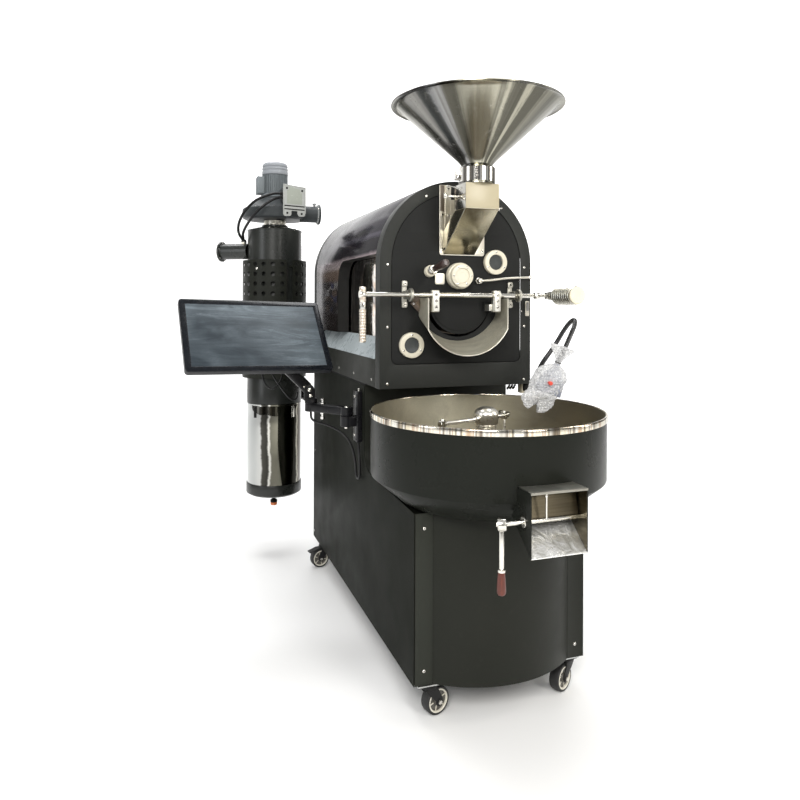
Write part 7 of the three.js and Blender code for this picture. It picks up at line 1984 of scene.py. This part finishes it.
# switch bracket at the right edge
g.add(prism(rrect(254, 270, 1130, 1182, 4), 'XZ', 323.4, 325.9, 0.9, res=3), 0)
g.add(prism(rrect(257, 267, 1148, 1178, 3), 'XZ', 321, 323.6, 0.9), 2)
g.add(lathe([(0, 0), (2.6, 0), (2.2, 1.6), (0, 2)], (240, 326, 1147), (0, -1, 0), 20), 1)
# folded diamond bracket left of the spout
D = [(-170, 326, 1166), (-147, 318, 1196), (-126, 322, 1180), (-141, 312, 1146)]
V = [(-171, 327, 1170), (-147, 327, 1200), (-124, 327, 1172), (-142, 327, 1143), (-148, 308, 1172), (-133, 312, 1178)]
V = [(-171, 327, 1172), (-150, 327, 1200), (-122, 327, 1180), (-140, 327, 1142), (-158, 310, 1174), (-143, 312, 1158), (-146, 312, 1186)]
g.add((V, [(0, 1, 6, 4), (1, 2, 6), (2, 3, 5, 6), (3, 0, 4, 5), (4, 6, 5), (0, 3, 2, 1)]), 3)
g.add(lathe([(0, 0), (4.4, 0), (4.4, 2.4), (0, 3)], (-162, 317, 1172), (-0.6, -0.75, 0), 6), 1)
build("front_fittings", g, [M_PALE, M_SCREW, steel("grey_cover", (0.42, 0.42, 0.42), 0.3, 0.1, 'Z', fine=200), steel("diamond_steel", (0.42, 0.33, 0.27), 0.35, 0.15, 'Z', fine=120, blotch=0.2)], "root", (), angle=20)
g = G()
# cream block and dark terminals under the front plate, at the lamp's foot
g.add(box(266, 294, 370, 398, 855, 889, 2, 2), 0)
for i in range(3):
    M4 = Matrix.Translation((226 + i * 11, 392, 876)) @ Matrix.Rotation(rad(35), 4, 'Y')
    g.add(rod(tuple(M4 @ Vector((0, 0, -10))), tuple(M4 @ Vector((0, 0, 10))), 3.4, 16, c=0.8), 1)
    g.add(rod(tuple(M4 @ Vector((0, -8, -3))), tuple(M4 @ Vector((0, 8, -3))), 2.0, 12), 2)
build("terminal_piece", g, [M_CREAM, M_DARK, M_SCREW], "root", ())

# ------------------------------------------------------- carried-over nodes
def dress(node, mat):
    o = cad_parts[node]
    o.data.materials.clear()
    o.data.materials.append(mat)


dress("base_frame", M_FRAMEC)
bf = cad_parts["base_frame"]
bf.data.materials.append(M_ZINC)
for f_ in bf.data.polygons:
    if (bf.matrix_world @ f_.center).z < 0.1002:
        f_.material_index = 1

# ------------------------------------------------------------ floor, lights
def floor():
    m = Mat("floor_pale", (0.86, 0.86, 0.855), 0.6)
    n_ = m.noise(m.coord(), 2.2, 3, 0.5)
    m.to("Base Color", m.mix(n_, (0.865, 0.865, 0.86), (0.885, 0.885, 0.88)))
    sy = m.n("ShaderNodeSeparateXYZ")
    m.l(m.coord(), sy.inputs[0])
    far = m.rng(sy.outputs["Y"], 0.6, 6.4, 0.0, 1.0)
    side = m.rng(m.math('ABSOLUTE', sy.outputs["X"]), 1.4, 6.0, 0.0, 1.0)
    up = m.rng(sy.outputs["Z"], 0.0, 5.0, 0.0, 1.0)
    m.b.inputs["Emission Color"].default_value = (1.0, 1.0, 1.0, 1)
    rr_ = m.math('SQRT', m.math('ADD', m.mul(sy.outputs["X"], sy.outputs["X"]), m.mul(sy.outputs["Y"], sy.outputs["Y"])))
    round_ = m.rng(rr_, 2.4, 7.5, 0.0, 1.0)
    m.to("Emission Strength", m.math('ADD', m.math('ADD', m.mul(far, 0.16), m.mul(round_, 0.42)), m.mul(up, 0.12)))
    me = bpy.data.meshes.new("floor")
    s = 14.0
    V, F = [], []
    n = 24
    prof = [(-s, 0.0), (6.0, 0.0)] + [(6.0 + 3.0 * math.sin(rad(a)), 3.0 - 3.0 * math.cos(rad(a))) for a in range(6, 91, 6)] + [(9.0, 12.0)]
    for (yy, zz) in prof:
        V += [(-s, yy, zz), (s, yy, zz)]
    for i in range(len(prof) - 1):
        F.append((2 * i, 2 * i + 1, 2 * i + 3, 2 * i + 2))
    me.from_pydata(V, [], F)
    me.materials.append(m.m)
    me.polygons.foreach_set("use_smooth", [True] * len(me.polygons))
    o = bpy.data.objects.new("floor", me)
    bpy.context.scene.collection.objects.link(o)


floor()


def surround():
    # tall pale ring round the studio that only the camera sees
    n, r, h = 96, 9.0, 26.0
    V = [(r * math.cos(2 * math.pi * i / n), r * math.sin(2 * math.pi * i / n), z) for z in (-0.02, h) for i in range(n)]
    F = [(i, i + n, (i + 1) % n + n, (i + 1) % n) for i in range(n)] + [tuple(range(2 * n - 1, n - 1, -1))]
    me = bpy.data.meshes.new("surround")
    me.from_pydata(V, [], F)
    o = bpy.data.objects.new("surround", me)
    bpy.context.scene.collection.objects.link(o)
    mm = Mat("surround_pale", (0.9, 0.9, 0.9), 0.9)
    mm.i("Emission Color", (1, 1, 1, 1)).i("Emission Strength", 1.0)
    me.materials.append(mm.m)
    o.visible_diffuse = o.visible_glossy = o.visible_transmission = o.visible_volume_scatter = o.visible_shadow = False


surround()


def area(name, loc, target, size, energy, color=(1, 1, 1), sy=None):
    li = bpy.data.lights.new(name, 'AREA')
    li.shape = 'RECTANGLE'
    li.size = size
    li.size_y = sy or size
    li.energy = energy
    li.color = color
    o = bpy.data.objects.new(name, li)
    o.location = loc
    d = Vector(target) - Vector(loc)
    o.rotation_euler = d.to_track_quat('-Z', 'Y').to_euler()
    bpy.context.scene.collection.objects.link(o)
    return o


area("key", (-2.0, -4.4, 3.6), (0.2, -0.2, 1.1), 1.9, 190, (1.0, 0.985, 0.955))
area("front_soft", (1.6, -4.6, 2.6), (0.25, 0.1, 0.9), 1.3, 80, (1.0, 0.975, 0.93), 2.2)
area("fill_left", (-4.2, -1.2, 2.2), (0, 0, 0.9), 1.2, 36, (0.95, 0.97, 1.0), 2.8)
area("fill_right", (3.6, -1.6, 2.2), (0.2, 0, 0.9), 0.8, 44, (1.0, 0.96, 0.88), 3.0)
area("top", (0.3, 0.4, 4.6), (0.2, 0.1, 0.6), 3.6, 110, (1, 1, 1), 0.9)
area("top_rear", (-0.3, 2.6, 4.4), (0.1, 0.6, 0.6), 3.2, 60, (1, 1, 1), 0.7)
world = bpy.data.worlds.new("world")
bpy.context.scene.world = world
world.use_nodes = True
nt = world.node_tree
bg = nt.nodes["Background"]
tc = nt.nodes.new("ShaderNodeTexCoord")
sp = nt.nodes.new("ShaderNodeSeparateXYZ")
nt.links.new(tc.outputs["Generated"], sp.inputs[0])


def wn(kind, **k):
    nd = nt.nodes.new(kind)
    for a, v in k.items():
        setattr(nd, a, v)
    return nd


def wmath(op, a, b=None):
    nd = wn("ShaderNodeMath", operation=op)
    for k, v in enumerate((a, b)):
        if v is None:
            continue
        if isinstance(v, (int, float)):
            nd.inputs[k].default_value = v
        else:
            nt.links.new(v, nd.inputs[k])
    return nd.outputs[0]


def wramp(fac, stops, interp='LINEAR'):
    rp = wn("ShaderNodeValToRGB")
    cr = rp.color_ramp
    cr.interpolation = interp
    while len(cr.elements) < len(stops):
        cr.elements.new(0.5)
    for e, (q, c) in zip(cr.elements, stops):
        e.position = q
        e.color = (*c, 1)
    nt.links.new(fac, rp.inputs["Fac"])
    return rp.outputs["Color"]


# a dim room: warm dark walls with tall pale bays round the horizon, paler ceiling
hz = wmath('ADD', wmath('MULTIPLY', sp.outputs["Z"], 0.5), 0.5)
base = wramp(hz, [(0.0, (0.16, 0.155, 0.145)), (0.44, (0.13, 0.125, 0.115)), (0.53, (0.15, 0.145, 0.135)), (0.68, (0.34, 0.34, 0.335)), (0.86, (0.75, 0.76, 0.78)), (1.0, (0.95, 0.96, 0.98))])
az = wmath('ARCTAN2', sp.outputs["Y"], sp.outputs["X"])
azn = wmath('ADD', wmath('MULTIPLY', az, 0.159155), 0.5)
bays = wramp(wmath('FRACT', wmath('MULTIPLY', azn, 9.0)), [(0.0, (0, 0, 0)), (0.10, (0, 0, 0)), (0.16, (1, 0.98, 0.94)), (0.36, (0.9, 0.9, 0.88)), (0.42, (0.05, 0.04, 0.03)), (0.62, (0.0, 0, 0)), (0.66, (0.5, 0.42, 0.32)), (0.72, (0.4, 0.34, 0.26)), (0.78, (0, 0, 0)), (1.0, (0, 0, 0))])
band = wramp(hz, [(0.0, (0, 0, 0)), (0.44, (0, 0, 0)), (0.50, (0.7, 0.7, 0.7)), (0.66, (1, 1, 1)), (0.76, (0, 0, 0)), (1.0, (0, 0, 0))])
mx = wn("ShaderNodeMixRGB", blend_type='MULTIPLY')
mx.inputs["Fac"].default_value = 1.0
nt.links.new(bays, mx.inputs["Color1"])
nt.links.new(band, mx.inputs["Color2"])
ad = wn("ShaderNodeMixRGB", blend_type='ADD')
ad.inputs["Fac"].default_value = 0.75
nt.links.new(base, ad.inputs["Color1"])
nt.links.new(mx.outputs["Color"], ad.inputs["Color2"])
nt.links.new(ad.outputs["Color"], bg.inputs["Color"])
bg.inputs["Strength"].default_value = 0.60
bpy.context.scene.view_settings.view_transform = 'Standard'
bpy.context.scene.view_settings.look = 'None'
bpy.context.scene.view_settings.exposure = 0.0
